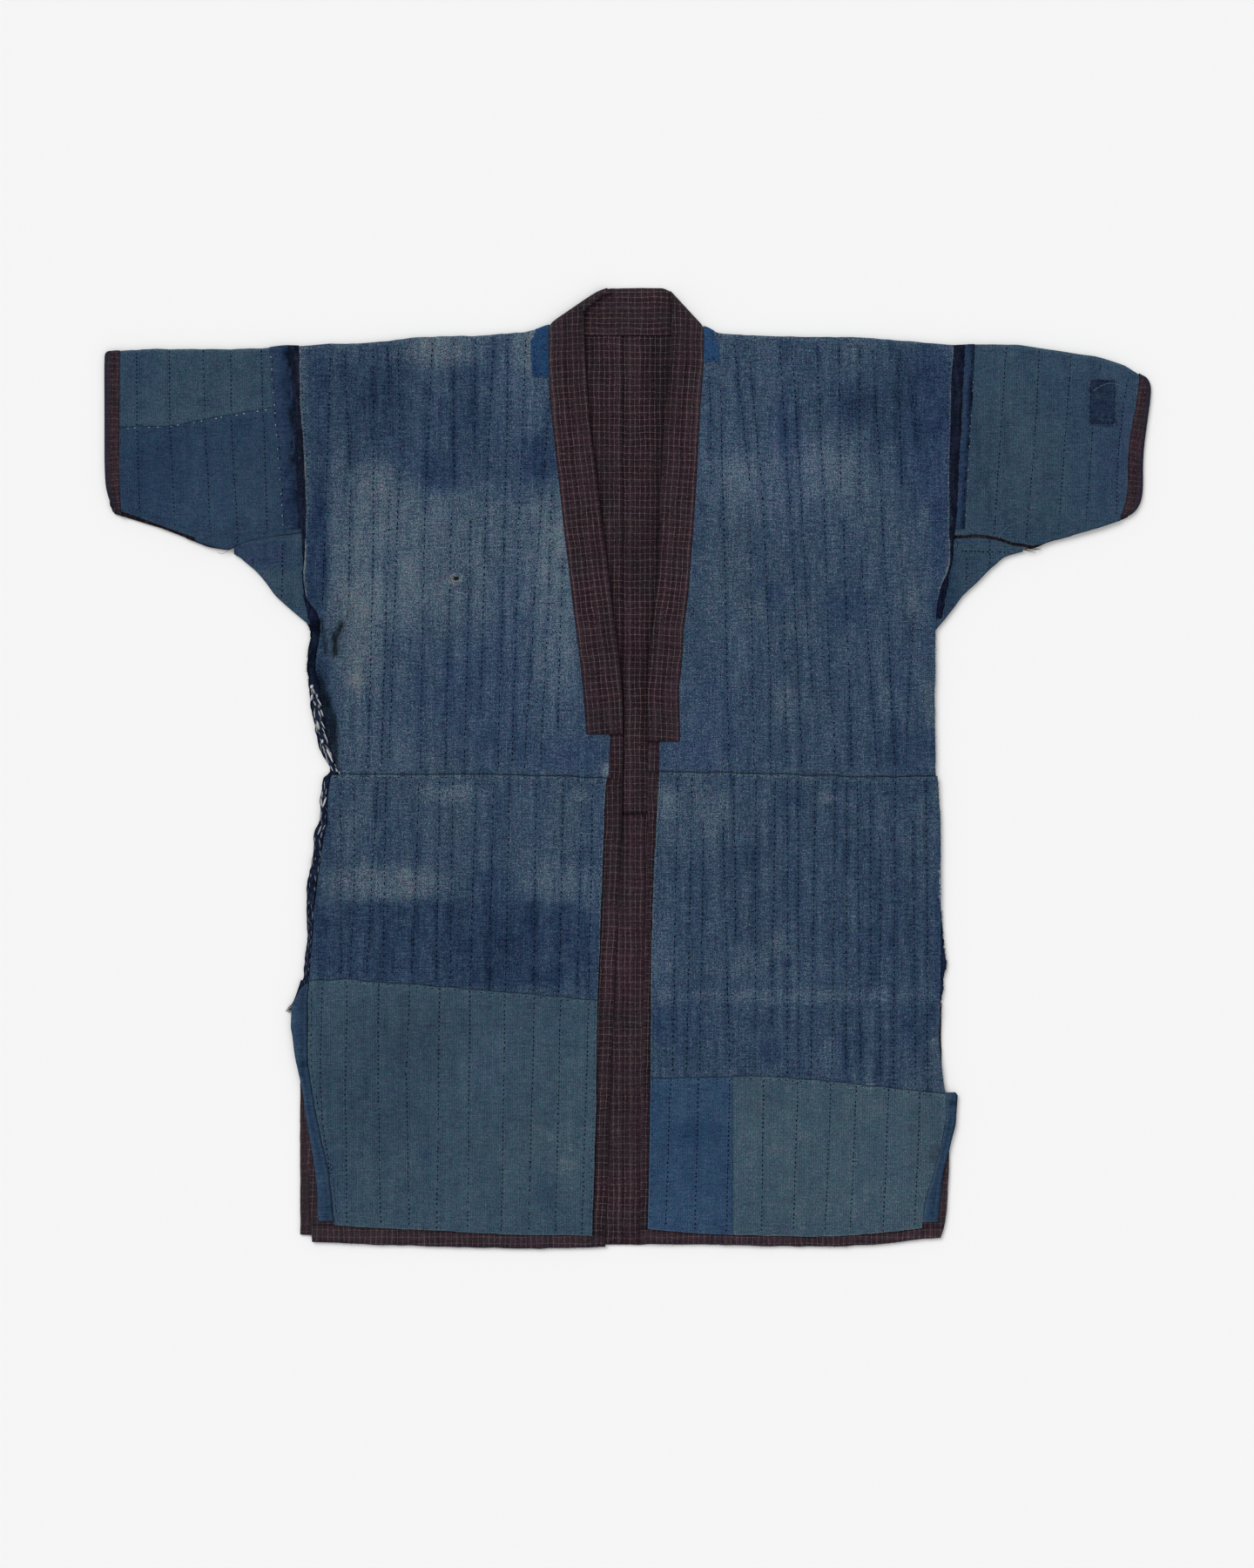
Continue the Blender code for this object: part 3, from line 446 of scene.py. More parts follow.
FADES_LOWER_LEFT = (
    (-52, -54, 30, 36, 0.8, 0.05, 0.1),
    (-175, -24.1, 31, 9.5, 0.7, 0.18, 0.2),
    (-46, -25.8, 6.9, 7.7, 0.8, 0.2, 0.2),
    (-267, -58.5, 25.8, 31, 0.8, 0.1, 0),
    (-138, -58.5, 51.6, 34.4, 0.9, 0, 0.1),
    (-236.9, -112.7, 60.2, 18.1, 0.5, 0.2, 0.4),
    (-62.4, -111.8, 37.8, 18.9, 0.7, 0.14, 0.1),
    (-133.7, -115.2, 20.6, 17.2, 0.7, -0.12, -0.4),
    (-163.8, -172, 146.2, 43, 0.14, -0.14, -0.2),
    (-112.2, -178.9, 55, 46.4, 0.7, -0.1, -0.2),
    (-258.4, -172, 17.2, 12, 0.8, 0.08, 0.1),
    (-299.7, -49.9, 8.6, 43, 0.6, -0.16, -0.3),
    (-303.1, -153.1, 8.6, 51.6, 0.6, -0.08, -0.2),
    (-95, -88.6, 34.4, 25.8, 0.9, 0.03, 0.2),
    (-202.5, -196.1, 43, 13.8, 0.8, 0.03, 0),
    (-26.2, -58.5, 6.9, 43, 0.6, 0.04, -0.4),
)
FADES_LOWER_RIGHT = (
    (58, -50, 28, 44, 0.8, 0.13, 0.1),
    (39.1, -34.4, 10.3, 15.5, 0.8, 0.22, 0.1),
    (95.9, -46.4, 18.9, 25.8, 0.8, 0.14, 0.2),
    (198.2, -28.4, 10.3, 5.2, 0.8, 0.2, 0.2),
    (35.7, -178.9, 13.8, 43, 0.8, 0.1, -0.3),
    (150.1, -172.9, 12, 12, 0.8, 0.14, 0.2),
    (117.4, -190.9, 17.2, 18.9, 0.8, 0.12, 0.1),
    (163, -224.5, 146.2, 7.7, 0.6, 0.12, 0),
    (163, -269.2, 154.8, 36.1, 0.4, -0.05, -0.1),
    (32.2, -249.4, 12, 15.5, 0.8, -0.12, -0.6),
    (287.7, -249.4, 20.6, 17.2, 0.8, -0.14, -0.3),
    (139.8, -280.4, 12, 15.5, 0.8, -0.12, -0.3),
    (197.4, -283.8, 10.3, 24.1, 0.8, 0.14, 0.1),
    (300.6, -268.3, 5.2, 5.2, 0.8, 0.2, 0.2),
    (164.7, -28.4, 15.5, 12, 0.8, -0.1, -0.3),
    (121.7, -88.6, 12, 13.8, 0.8, -0.12, -0.2),
    (240.4, -75.7, 25.8, 25.8, 0.8, -0.08, -0.1),
    (274.8, -153.1, 34.4, 51.6, 0.9, -0.1, -0.2),
    (206, -153.1, 51.6, 34.4, 0.9, -0.03, 0),
    (266.2, -19.8, 34.4, 10.3, 0.8, -0.08, 0),
    (305.7, -144.5, 4.3, 103.2, 0.6, -0.12, -0.5),
    (158.7, -192.6, 3.4, 4.3, 0.6, -0.4, 0),
)
FADES_PANEL_LEFT = (
    (-130.3, -295, 34.4, 31, 0.8, 0.04, -0.6),
    (-77.8, -256.3, 31, 12, 0.8, 0.02, -0.6),
    (-82.1, -416.2, 12, 15.5, 0.8, -0.1, -0.7),
    (-292.8, -406.8, 22.4, 31, 0.8, -0.06, -0.6),
    (-198.2, -380.1, 12, 6.9, 0.8, -0.04, -0.7),
    (-215.4, -256.3, 51.6, 34.4, 0.9, -0.1, 0.6),
    (-258.4, -299.3, 43, 43, 0.9, -0.06, 0.2),
    (-103.6, -385.3, 51.6, 34.4, 0.9, 0.06, 0.3),
    (-155.2, -436.9, 77.4, 17.2, 0.8, 0.02, 0),
    (-232.6, -350.9, 43, 34.4, 0.9, -0.06, 0.2),
    (-52, -359.5, 20.6, 68.8, 0.8, 0.06, -0.1),
)
FADES_PANEL_RIGHT = (
    (292, -350.9, 22.4, 43, 0.7, -0.02, 0.5),
    (154.4, -359.5, 51.6, 34.4, 0.9, 0.04, 0),
    (304.9, -381.8, 8.6, 10.3, 0.7, -0.2, 1.2),
    (206, -428.3, 51.6, 22.4, 0.8, 0.03, 0.2),
    (128.6, -326.8, 20.6, 12, 0.8, -0.06, 0.4),
    (68.4, -359.5, 25.8, 13.8, 0.8, -0.1, -0.2),
    (59.8, -436.9, 34.4, 17.2, 0.8, 0.05, 0),
    (240.4, -329.4, 25.8, 12, 0.8, 0.04, 0.3),
)
FADES_SLEEVE_LEFT_UPPER = (
    (-404.6, 388.7, 51.6, 25.8, 0.9, 0, 0.2),
    (-482, 397.3, 17.2, 25.8, 0.8, -0.05, -0.3),
    (-413.2, 345.7, 51.6, 8.6, 0.7, 0.06, 0.1),
    (-507.8, 380.1, 8.6, 34.4, 0.7, -0.1, 0),
)
FADES_SLEEVE_LEFT_LOWER = (
    (-361.6, 285.5, 25.8, 51.6, 0.8, 0.02, 0.4),
    (-421.8, 259.7, 51.6, 25.8, 0.8, 0.06, -0.2),
    (-473.4, 294.1, 34.4, 34.4, 0.9, -0.06, -0.3),
)
FADES_SLEEVE_RIGHT = (
    (480.0, 310.0, 34, 90.0, 0.8, -0.04, -0.9),
    (492.0, 300.0, 16, 80.0, 0.7, 0.0, -0.5),
    (378, 311.3, 43, 77.4, 0.9, 0.02, 0.3),
    (347.9, 311.3, 10.3, 77.4, 0.7, -0.04, 0.1),
    (395.2, 233.9, 43, 15.5, 0.8, -0.04, -0.1),
    (438.2, 371.5, 25.8, 34.4, 0.9, -0.04, -0.3),
)

# Creases of the lining: two ends, half width, height (a ridge is positive), and how much shade is painted along it (a
# negative value paints light).
CREASES = (
    (-271.8, 320, -265.0, 283, 5.0, -0.9, 0.10),
    (-265.0, 283, -291.0, 250, 5.0, 0.0, 0.0),
    # the pleat below the left armhole: painted shade in a wedge beside a flap with painted light
    (-262.0, 176.0, -273.0, 157.5, 2.6, -0.7, 0.2),
    (-272.6, 158.0, -281.0, 141.0, 2.1, -1.0, 0.5),
    (-282.0, 142.0, -288.0, 128.0, 4.4, -1.2, 1.0),
    (-289.2, 130.5, -288.2, 113.0, 4.8, -1.2, 1.1),
    (-291.0, 133.0, -289.2, 117.0, 3.6, -0.6, 0.85),
    (-296.0, 146.0, -292.6, 120.0, 2.6, 1.0, -0.25),
    (-302.0, 146.6, -297.6, 114.0, 3.0, -0.8, 0.8),
    (-300.0, 175.0, -284.0, 160.0, 5.0, -0.3, 0.22),
    # below it, behind the overcast roll
    (-301.0, 100.0, -298.0, 66.0, 4.2, -0.5, 0.4),
    (-298.5, 70.0, -293.0, 24.0, 6.4, -0.6, 0.5),
    (-293.5, 30.0, -288.0, -4.0, 4.6, -0.6, 0.5),
    # long soft creases down the right armhole
    (271.3, 319.9, 278.2, 282.9, 4.4, -1.0, 0.13),
    (278.2, 282.9, 291.1, 250.3, 4.4, -1.2, 0.15),
    (291.1, 250.3, 294.6, 205.0, 3.6, -0.8, 0.1),
    (271.3, 189.2, 273.0, 156.5, 3.8, -1.1, 0.16),
    (273.0, 156.5, 279.9, 123.8, 3.8, -1.3, 0.16),
    (279.9, 123.8, 291.1, 104.9, 3.4, -0.8, 0.1),
    (281.0, 250.0, 284.0, 150.0, 6.0, 1.0, -0.05),
    (262.0, 320.0, 262.0, 130.0, 8.0, 0.7, -0.02),
    (298.0, 226.0, 297.0, 168.0, 4.0, 0.8, -0.05),
    (231.0, 348.0, 258.0, 320.0, 9.0, -0.6, 0.04),
    (-150.0, 320.0, -146.0, 210.0, 9.0, 0.5, -0.01),
    (-226.0, 300.0, -219.0, 160.0, 8.0, 0.5, -0.01),
    (-100.0, 130.0, -92.0, 20.0, 9.0, 0.6, -0.01),
    (120.0, 250.0, 128.0, 90.0, 10.0, 0.6, -0.01),
    (190.0, 150.0, 186.0, 30.0, 9.0, 0.5, -0.01),
    (112.2, 110.1, 160.0, 106.0, 0.9, -0.25, 0.2),
    (126.0, 100.6, 174.2, 101.5, 0.9, -0.2, 0.16),
    (30.0, -80.0, 44.0, -190.0, 8.0, 0.5, -0.01),
    (210.0, -70.0, 214.0, -200.0, 9.0, 0.5, -0.01),
    (148.0, -176.3, 220.0, -178.9, 0.8, -0.2, 0.16),
    (220.0, -158.0, 262.0, -162.0, 0.9, -0.2, 0.14),
    (190.0, -120.0, 268.0, -124.0, 0.9, -0.2, 0.12),
    # the old soft wrinkles of the hem panels
    (-182.8, -252.8, -130.3, -253.7, 1.2, -0.5, 0.22),
    (-111.4, -270.0, -31.4, -276.1, 1.2, -0.5, 0.2),
    (-111.4, -264.0, -60.0, -259.0, 1.2, -0.4, 0.14),
    (-120.8, -344.9, -76.0, -352.6, 1.4, -0.6, 0.22),
    (-72.0, -347.0, -44.3, -352.6, 1.0, -0.5, 0.22),
    (-154.4, -371.5, -71.8, -373.2, 1.1, -0.4, 0.16),
    (-60.0, -370.0, -44.0, -364.0, 0.9, -0.4, 0.16),
    (-283.8, -253.0, -249.8, -244.2, 1.1, -0.4, 0.16),
    (-273.0, -412.0, -236.0, -420.0, 1.2, -0.4, 0.14),
    (-236.0, -285.0, -196.0, -300.0, 1.3, -0.4, 0.12),
    (-212.0, -400.0, -180.0, -428.0, 1.2, -0.4, 0.14),
    (-182.0, -320.0, -140.0, -340.0, 2.0, -0.4, 0.08),
    (-280.0, -380.0, -215.0, -372.0, 5.0, 0.6, -0.02),
    (60.0, -360.0, 96.0, -366.0, 1.2, -0.4, 0.14),
    (34.0, -342.0, 68.0, -345.0, 1.1, -0.3, 0.12),
    (150.0, -330.0, 190.0, -344.0, 1.4, -0.3, 0.08),
    (212.0, -392.0, 236.0, -400.0, 1.2, -0.3, 0.1),
    (180.0, -430.0, 210.0, -420.0, 1.2, -0.3, 0.1),
    (262.0, -325.0, 300.0, -372.0, 4.0, 0.6, -0.03),
    # sleeves
    (-498.4, 315.6, -483.8, 300.1, 1.2, -0.6, 0.25),
    (-470.0, 275.0, -440.0, 262.0, 1.6, -0.5, 0.14),
    (-420.0, 296.0, -398.0, 284.0, 1.4, -0.5, 0.14),
    (-380.0, 330.0, -372.0, 262.0, 7.0, 0.7, -0.02),
    (-450.0, 372.0, -380.0, 392.0, 7.0, 0.6, -0.02),
    (350.0, 350.0, 356.0, 250.0, 8.0, 0.8, -0.02),
    (347.0, 318.0, 352.0, 277.0, 3.0, -0.8, 0.22),
    (354.0, 300.0, 358.5, 254.0, 2.6, -0.7, 0.2),
    (372.0, 340.0, 376.0, 300.0, 3.0, -0.6, 0.14),
    (356.0, 262.0, 364.0, 250.0, 1.4, -0.5, 0.12),
    (420.0, 380.0, 428.0, 270.0, 8.0, 0.6, -0.02),
    (398.0, 246.0, 420.0, 252.0, 1.6, -0.4, 0.1),
    (466.0, 300.0, 484.0, 272.0, 3.0, -0.5, 0.06),
)


# ---------------------------------------------------------------- how the cloth lies
def ease(d):
    return 1.3 * np.clip(1 - d / 24, 0, 1) ** 1.35


def drop(x, y):
    """How much lower the front is here than over its middle: along sewn sides, free edges and cuffs."""
    left = x < 8
    s = np.where(left, -1, 1)
    side = np.where(left, np.where(y > -4, SIDE_L(y), LOW_SIDE_L(y)), np.where(y > -4, SIDE_R(y), LOW_SIDE_R(y)))
    edge = np.where(left, EDGE_L(y), EDGE_R(y))
    hem = np.where(left, HEM_L(x), HEM_R(x))
    body = np.maximum(ease(s * (side - x)) * smooth(232, 140, y), ease(s * (x - edge)) * smooth(16, -10, y))
    body = np.maximum(body, ease(y - hem))
    end = np.where(left, END_L(y), END_R(y))
    low = np.where(left, SLEEVE_LOW_L(x), SLEEVE_LOW_R(x))
    share = np.interp(np.abs(x), (323, 395), (0.2, 1))
    sleeve = np.maximum(ease(np.abs(end - x)), share * ease(y - low))
    return np.where((np.abs(x) > 318) & (y > 205), sleeve, body)


def from_segment(x, y, row):
    """Distance from a straight row, and how far along it, from 0 to 1."""
    x0, y0, x1, y1 = row[:4]
    dx, dy = x1 - x0, y1 - y0
    t = np.clip(((x - x0) * dx + (y - y0) * dy) / (dx * dx + dy * dy), 0, 1)
    return np.hypot(x - x0 - t * dx, y - y0 - t * dy), t


def from_rows(x, y, rows):
    best = np.full(np.shape(x), 99.0)
    for row in rows:
        best = np.minimum(best, from_segment(x, y, row)[0])
    return best


def creased(x, y):
    """Height of the creases, with the shade painted in them and the light painted on their ridges."""
    z, dark, light = (np.zeros(np.shape(x)) for _ in range(3))
    for row in CREASES:
        width, height, shade = row[4:]
        d, t = from_segment(x, y, row)
        k = np.exp(-((d / width) ** 2)) * (0.75 + 0.25 * noise(x, y, 23, 23, 71))
        z += height * 0.62 * k
        # painted shade where a crease's value is positive, painted light where it is negative
        k = shade * np.exp(-((d / (width * 0.8)) ** 2))
        dark, light = np.maximum(dark, k), light + np.minimum(k, 0)
    # the shade behind the overcast roll widens towards the waist
    edge = np.interp(y, (-6, 30, 48, 62, 80, 104), (-284.6, -285.0, -286.0, -290.5, -296.5, -301.0))
    shade = 0.86 * smooth(1.6, -2.2, x - edge) * smooth(-9, -4, y) * smooth(106, 84, y) * (1 + 0.15 * noise(x, y, 5, 9, 72))
    return z, np.maximum(dark, shade) + light


def relief(x, y, rows, seed=0, puff=0.34, rumple=1.0):
    """Quilting, puckers and soft rumples of cloth that is stitched through along rows."""
    d = from_rows(x, y, rows)
    z = puff * (1 - np.exp(-((d / 8.0) ** 2))) - 0.2 * np.exp(-((d / 2.2) ** 2))
    z += 0.16 * noise(x, y, 8, 5.8, seed + 1) * np.exp(-((d / 7.0) ** 2))
    z += rumple * (0.34 * cloud(x, y, 46, 80, seed + 2) + 0.13 * cloud(x, y, 12, 16, seed + 3))
    folds, _ = creased(x, y)
    return z + folds


def under_collar(x, y):
    """1 where the collar lies on the lining, so that nothing there pokes through it."""
    inside = np.where(x < 0, smooth(-5, 3, x - OUT_L(y)), smooth(5, -3, x - OUT_R(y)))
    return inside * smooth(20, 30, y)


QUILT = {
    "upper": QUILT_UPPER_LEFT + QUILT_UPPER_RIGHT,
    "lower": QUILT_LOWER_LEFT + QUILT_LOWER_RIGHT,
    "panel": QUILT_PANEL_LEFT + QUILT_PANEL_RIGHT,
    "sleeve": QUILT_SLEEVE_LEFT + QUILT_SLEEVE_RIGHT,
}
BACK_ROWS = tuple((x, 415, x * 0.985, -440) for x in (-296, -268, -237, -203, -172, -138, -106, -74, -38, 32, 66, 101, 134, 168, 203, 236, 268, 292))


def lining_z(x, y, part):
    """The middle of the front lining."""
    z = relief(x, y, QUILT[part], {"upper": 100, "lower": 200, "panel": 300, "sleeve": 400}[part])
    if part == "upper":
        waist = np.where(x < 8, WAIST_L(x), WAIST_R(x))
        z = z - 0.5 * np.exp(-(((y - waist) / 2.0) ** 2)) + 0.2 * np.exp(-(((y - waist - 8) / 5) ** 2)) * (1 + noise(x, y, 9, 30, 7))
    if part == "lower":
        waist = np.where(x < 8, WAIST_L(x), WAIST_R(x))
        z = z + 0.45 * np.exp(-(((waist - y - 3.5) / 3.2) ** 2)) * (1 + 0.5 * noise(x, y, 8, 30, 8)) - 0.3 * np.exp(-(((y - waist) / 1.0) ** 2))
    if part in ("lower", "panel"):
        seam = np.where(x < 8, PANEL_L(x), PANEL_R(x))
        z = z - 0.45 * np.exp(-(((y - seam) / 1.3) ** 2)) + 0.18 * np.exp(-(((y - seam + 6) / 4) ** 2)) * (1 + noise(x, y, 10, 30, 9))
    if part == "sleeve":
        z = np.where(x < 0, z - 0.4 * np.exp(-(((y - SLEEVE_SEAM(x)) / 1.3) ** 2)), z)
    z = np.maximum(z, -0.55)
    z = mix(z, -0.1, under_collar(x, y))
    return FRONT_LINING - drop(x, y) + z


def back_z(x, y, seed=500):
    """How far the back lining's outside is dented by its stitches: it rests on the surface, so it only goes up."""
    d = from_rows(x, y, BACK_ROWS)
    return 0.16 * np.exp(-((d / 2.6) ** 2)) + 0.1 * (1 + cloud(x, y, 30, 50, seed)) / 2


# ---------------------------------------------------------------- meshes
def spaced(length, step, start=(), end=()):
    """Shares of a length: set distances from its two ends, and even steps between."""
    low, high = (start[-1] if start else 0), length - (end[-1] if end else 0)
    middle = np.linspace(low, high, max(2, int(round((high - low) / step)) + 1))
    at = np.concatenate([[0], start, middle, [length - e for e in end], [length]])
    at = np.unique(np.round(at, 4))
    return at / length


FINE = (0.45, 1.1, 2.1)


def field(left, right, low, high, s, t):
    """Places between two lines over y and two lines over x."""
    share_x, share_y = np.meshgrid(s, t)
    y = mix(low(np.zeros(1))[0], high(np.zeros(1))[0], share_y)
    x = mix(left(y), right(y), share_x)
    for _ in range(16):
        y = mix(low(x), high(x), share_y)
        x = mix(left(y), right(y), share_x)
    return x, y


def grid_faces(m, n, present=None):
    i = np.arange(m * n).reshape(m, n)
    quads = np.stack([i[:-1, :-1], i[:-1, 1:], i[1:, 1:], i[1:, :-1]], -1)
    if present is not None:
        ok = present[:-1, :-1] & present[:-1, 1:] & present[1:, 1:] & present[1:, :-1]
        return quads[ok]
    return quads.reshape(-1, 4)


def write_mesh(name, points, faces, uv, values, smooth_faces):
    """A mesh object from points in millimetres, quads (or triangles with -1 last), grain in metres and point values."""
    mesh = bpy.data.meshes.new(name)
    mesh.vertices.add(len(points))
    mesh.vertices.foreach_set("co", (points * MM).astype(np.float32).ravel())
    sizes = np.where(faces[:, 3] < 0, 3, 4)
    loops = faces[faces >= 0] if (faces < 0).any() else faces.ravel()
    mesh.loops.add(len(loops))
    mesh.loops.foreach_set("vertex_index", loops.astype(np.int32))
    mesh.polygons.add(len(faces))
    starts = np.concatenate([[0], np.cumsum(sizes)[:-1]]).astype(np.int32)
    mesh.polygons.foreach_set("loop_start", starts)
    mesh.update(calc_edges=True)
    mesh.polygons.foreach_set("use_smooth", smooth_faces.astype(bool))
    layer = mesh.uv_layers.new(name="grain")
    layer.data.foreach_set("uv", uv[loops].astype(np.float32).ravel())
    for key, value in values.items():
        at = mesh.attributes.new(key, "FLOAT", "POINT")
        at.data.foreach_set("value", np.broadcast_to(value, len(points)).astype(np.float32).ravel())
    mesh.validate(clean_customdata=False)
    made = bpy.data.objects.new(name, mesh)
    bpy.context.scene.collection.objects.link(made)
    return made


def shell(name, points, uv, values, wall=WALL, present=None, round_edge=0.35):
    """A closed thin shell round a grid of points."""
    m, n = points.shape[:2]
    quads = grid_faces(m, n, present)
    p = points.reshape(-1, 3)
    used, quads = np.unique(quads, return_inverse=True)
    quads = quads.reshape(-1, 4)
    p = p[used]
    g = uv.reshape(-1, 2)[used]
    v = {k: np.broadcast_to(a, (m, n)).reshape(-1)[used] for k, a in values.items()}
    a, b, c, d = (p[quads[:, k]] for k in range(4))
    face = np.cross(c - a, d - b)
    normal = np.zeros_like(p)
    for k in range(4):
        np.add.at(normal, quads[:, k], face)
    normal /= np.maximum(np.linalg.norm(normal, axis=1, keepdims=True), 1e-9)
    edges = np.concatenate([quads[:, [k, (k + 1) % 4]] for k in range(4)])
    key = edges[:, 0] * len(p) + edges[:, 1]
    back = edges[:, 1] * len(p) + edges[:, 0]
    rim = edges[~np.isin(key, back)]
    half = np.full(len(p), wall / 2)
    count = len(p)
    top, bottom = p + normal * half[:, None], p - normal * half[:, None]
    faces = np.concatenate([quads, quads[:, ::-1] + count, np.stack([rim[:, 1], rim[:, 0], rim[:, 0] + count, rim[:, 1] + count], -1)])
    kind = np.concatenate([np.ones(2 * len(quads), bool), np.zeros(len(rim), bool)])
    both = {k: np.concatenate([a, a]) for k, a in v.items()}
    both["inner"] = np.concatenate([np.zeros(count), np.ones(count)])
    made = write_mesh(name, np.concatenate([top, bottom]), faces, np.concatenate([g, g]), both, kind)
    made["area"] = float(np.abs(uv_area(g, quads)))
    made["span"] = [float(x) for x in (np.ptp(g[:, 0]), np.ptp(g[:, 1]))]
    return made


def uv_area(g, quads):
    a, b, c, d = (g[quads[:, k]] for k in range(4))
    return 0.5 * np.abs((c - a)[:, 0] * (d - b)[:, 1] - (c - a)[:, 1] * (d - b)[:, 0]).sum()


def facing_up(points, uv, values, present=None):
    """The same grid with its columns turned round if its first rows face down."""
    a, b = points[0, 1] - points[0, 0], points[1, 0] - points[0, 0]
    if a[0] * b[1] - a[1] * b[0] < 0:
        points, uv = points[:, ::-1], uv[:, ::-1]
        values = {k: np.broadcast_to(v, points.shape[:2])[:, ::-1] for k, v in values.items()}
        present = None if present is None else present[:, ::-1]
    return points, uv, values, present


TURN = 9  # strips round a fold


def over_fold(x, y, z, side, back_left, back_right, back_low, s, t_back, z_back, extra=None):
    """Continues a grid over a fold at its last row and down its other side. Returns points, cloth heights v, and what
    is there.

    side is 1 where the fold is at the top, and -1 at the bottom. extra is not used.
    """
    y_turn = y[-1]
    share_x, share_y = np.meshgrid(s, t_back)
    xb = mix(back_left(y_turn), back_right(y_turn), s)[None].repeat(len(t_back), 0)
    for _ in range(12):
        yb = mix(y_turn[None].repeat(len(t_back), 0), back_low(xb), share_y)
        xb = mix(back_left(yb), back_right(yb), share_x)
    zb = z_back(xb, yb)
    rows = [(x[-1], y[-1], z[-1])]
    turn = []
    for k in range(1, TURN):
        a = math.pi * k / TURN
        r = (z[-1] - zb[0]) / 2
        turn.append((mix(x[-1], xb[0], k / TURN), y_turn + side * r * math.sin(a), (z[-1] + zb[0]) / 2 + r * math.cos(a)))
    r = (z[-1] - zb[0]) / 2
    v_turn = [y_turn + side * r * math.pi * k / TURN for k in range(1, TURN)]
    v_back = y_turn + side * (r * math.pi + np.abs(y_turn - yb))
    X = np.concatenate([x, [q[0] for q in turn], xb])
    Y = np.concatenate([y, [q[1] for q in turn], yb])
    Z = np.concatenate([z, [q[2] for q in turn], zb])
    V = np.concatenate([y, v_turn, v_back])
    return X, Y, Z, V, len(y)


def grain(x, v, du=0.0, dv=0.0):
    return np.stack([(x + du) * MM, (v + dv) * MM], -1)


# ---------------------------------------------------------------- fades
def faded(x, v, base, blobs, seed, streak=0.05, drift=0.05):
    f = base + drift * cloud(x, v, 80, 110, seed) + streak * cloud(x, v, 9, 150, seed + 1) + 0.025 * cloud(x, v, 22, 18, seed + 4)
    w = 0.3 * cloud(x, v, 60, 100, seed + 2) + 0.15 * cloud(x, v, 14, 60, seed + 3)
    uneven = np.clip(0.86 + 0.42 * cloud(x, v, 13, 17, seed + 7) + 0.16 * noise(x, v, 4.5, 6, seed + 8), 0.2, 1.5)
    for cx, cy, rx, ry, soft, paler, warmer in blobs:
        power = 4 if soft < 0.45 else 2
        r = (np.abs((x - cx) / rx) ** power + np.abs((v - cy) / ry) ** power) ** (1 / power)
        r = r + 0.22 * soft * cloud(x, v, max(rx * 0.5, 6), max(ry * 0.5, 6), seed + 6)
        k = (1 - smooth(1 - soft, 1 + soft * 0.8, r)) * uneven
        f, w = f + paler * k, w + warmer * k
    return f, w


def row_shading(x, y, rows, seed):
    """Painted shade down the puckers of the running stitches, and painted light on the puffs beside them."""
    d = from_rows(x, y, rows)
    k = np.clip(0.8 + 0.7 * noise(x, y, 16, 34, seed), 0.1, 1.5)
    return k * (-0.085 * np.exp(-((d / 3.4) ** 2)) + 0.03 * np.exp(-(((d - 8.5) / 4.0) ** 2)))


def near(d, width):
    return np.exp(-((np.abs(d) / width) ** 2))


# ---------------------------------------------------------------- pieces of cloth
MADE = []  # object, CAD nodes, slot, material, what it rests on


def piece(made, nodes, slot, cloth_name, rests_on=(), **more):
    MADE.append((made, nodes, slot, cloth_name, rests_on, more))
    return made


NECK_OUT = {
    "l": Line((-12, -4.5), (30, -4), (37, -9), (293, -46), (425, -67), round=3),
    "r": Line((-12, 20), (22, 20), (30, 24.5), (293, 49), (425, 67), round=3),
}
NECK_LIN = {
    "l": Line((-12, -20), (0, -18.3), (34, -17), (42, -20), (60, -28.6), (293, -56.5), (425, -67), round=3, wave=0.25, seed=44),
    "r": Line((-12, 31.5), (28, 31.5), (38, 33), (60, 37.7), (293, 56.5), (425, 67), round=3, wave=0.25, seed=45),
}
HOLE = (-168.8, 187.4)  # worn through near a row of stitches


def armhole_fade(x, y, f, w):
    """Palest and warmest on the very edges beside the armholes."""
    side = np.where(x < 0, SIDE_L(y), SIDE_R(y))
    d = np.abs(x - side)
    upper = smooth(150, 175, y)
    f = f + 0.62 * near(d, 1.1) * upper * np.clip(0.75 + 0.6 * noise(x, y, 6, 9, 61), 0, 1.3)
    return f, w + 1.4 * near(d, 1.3) * upper


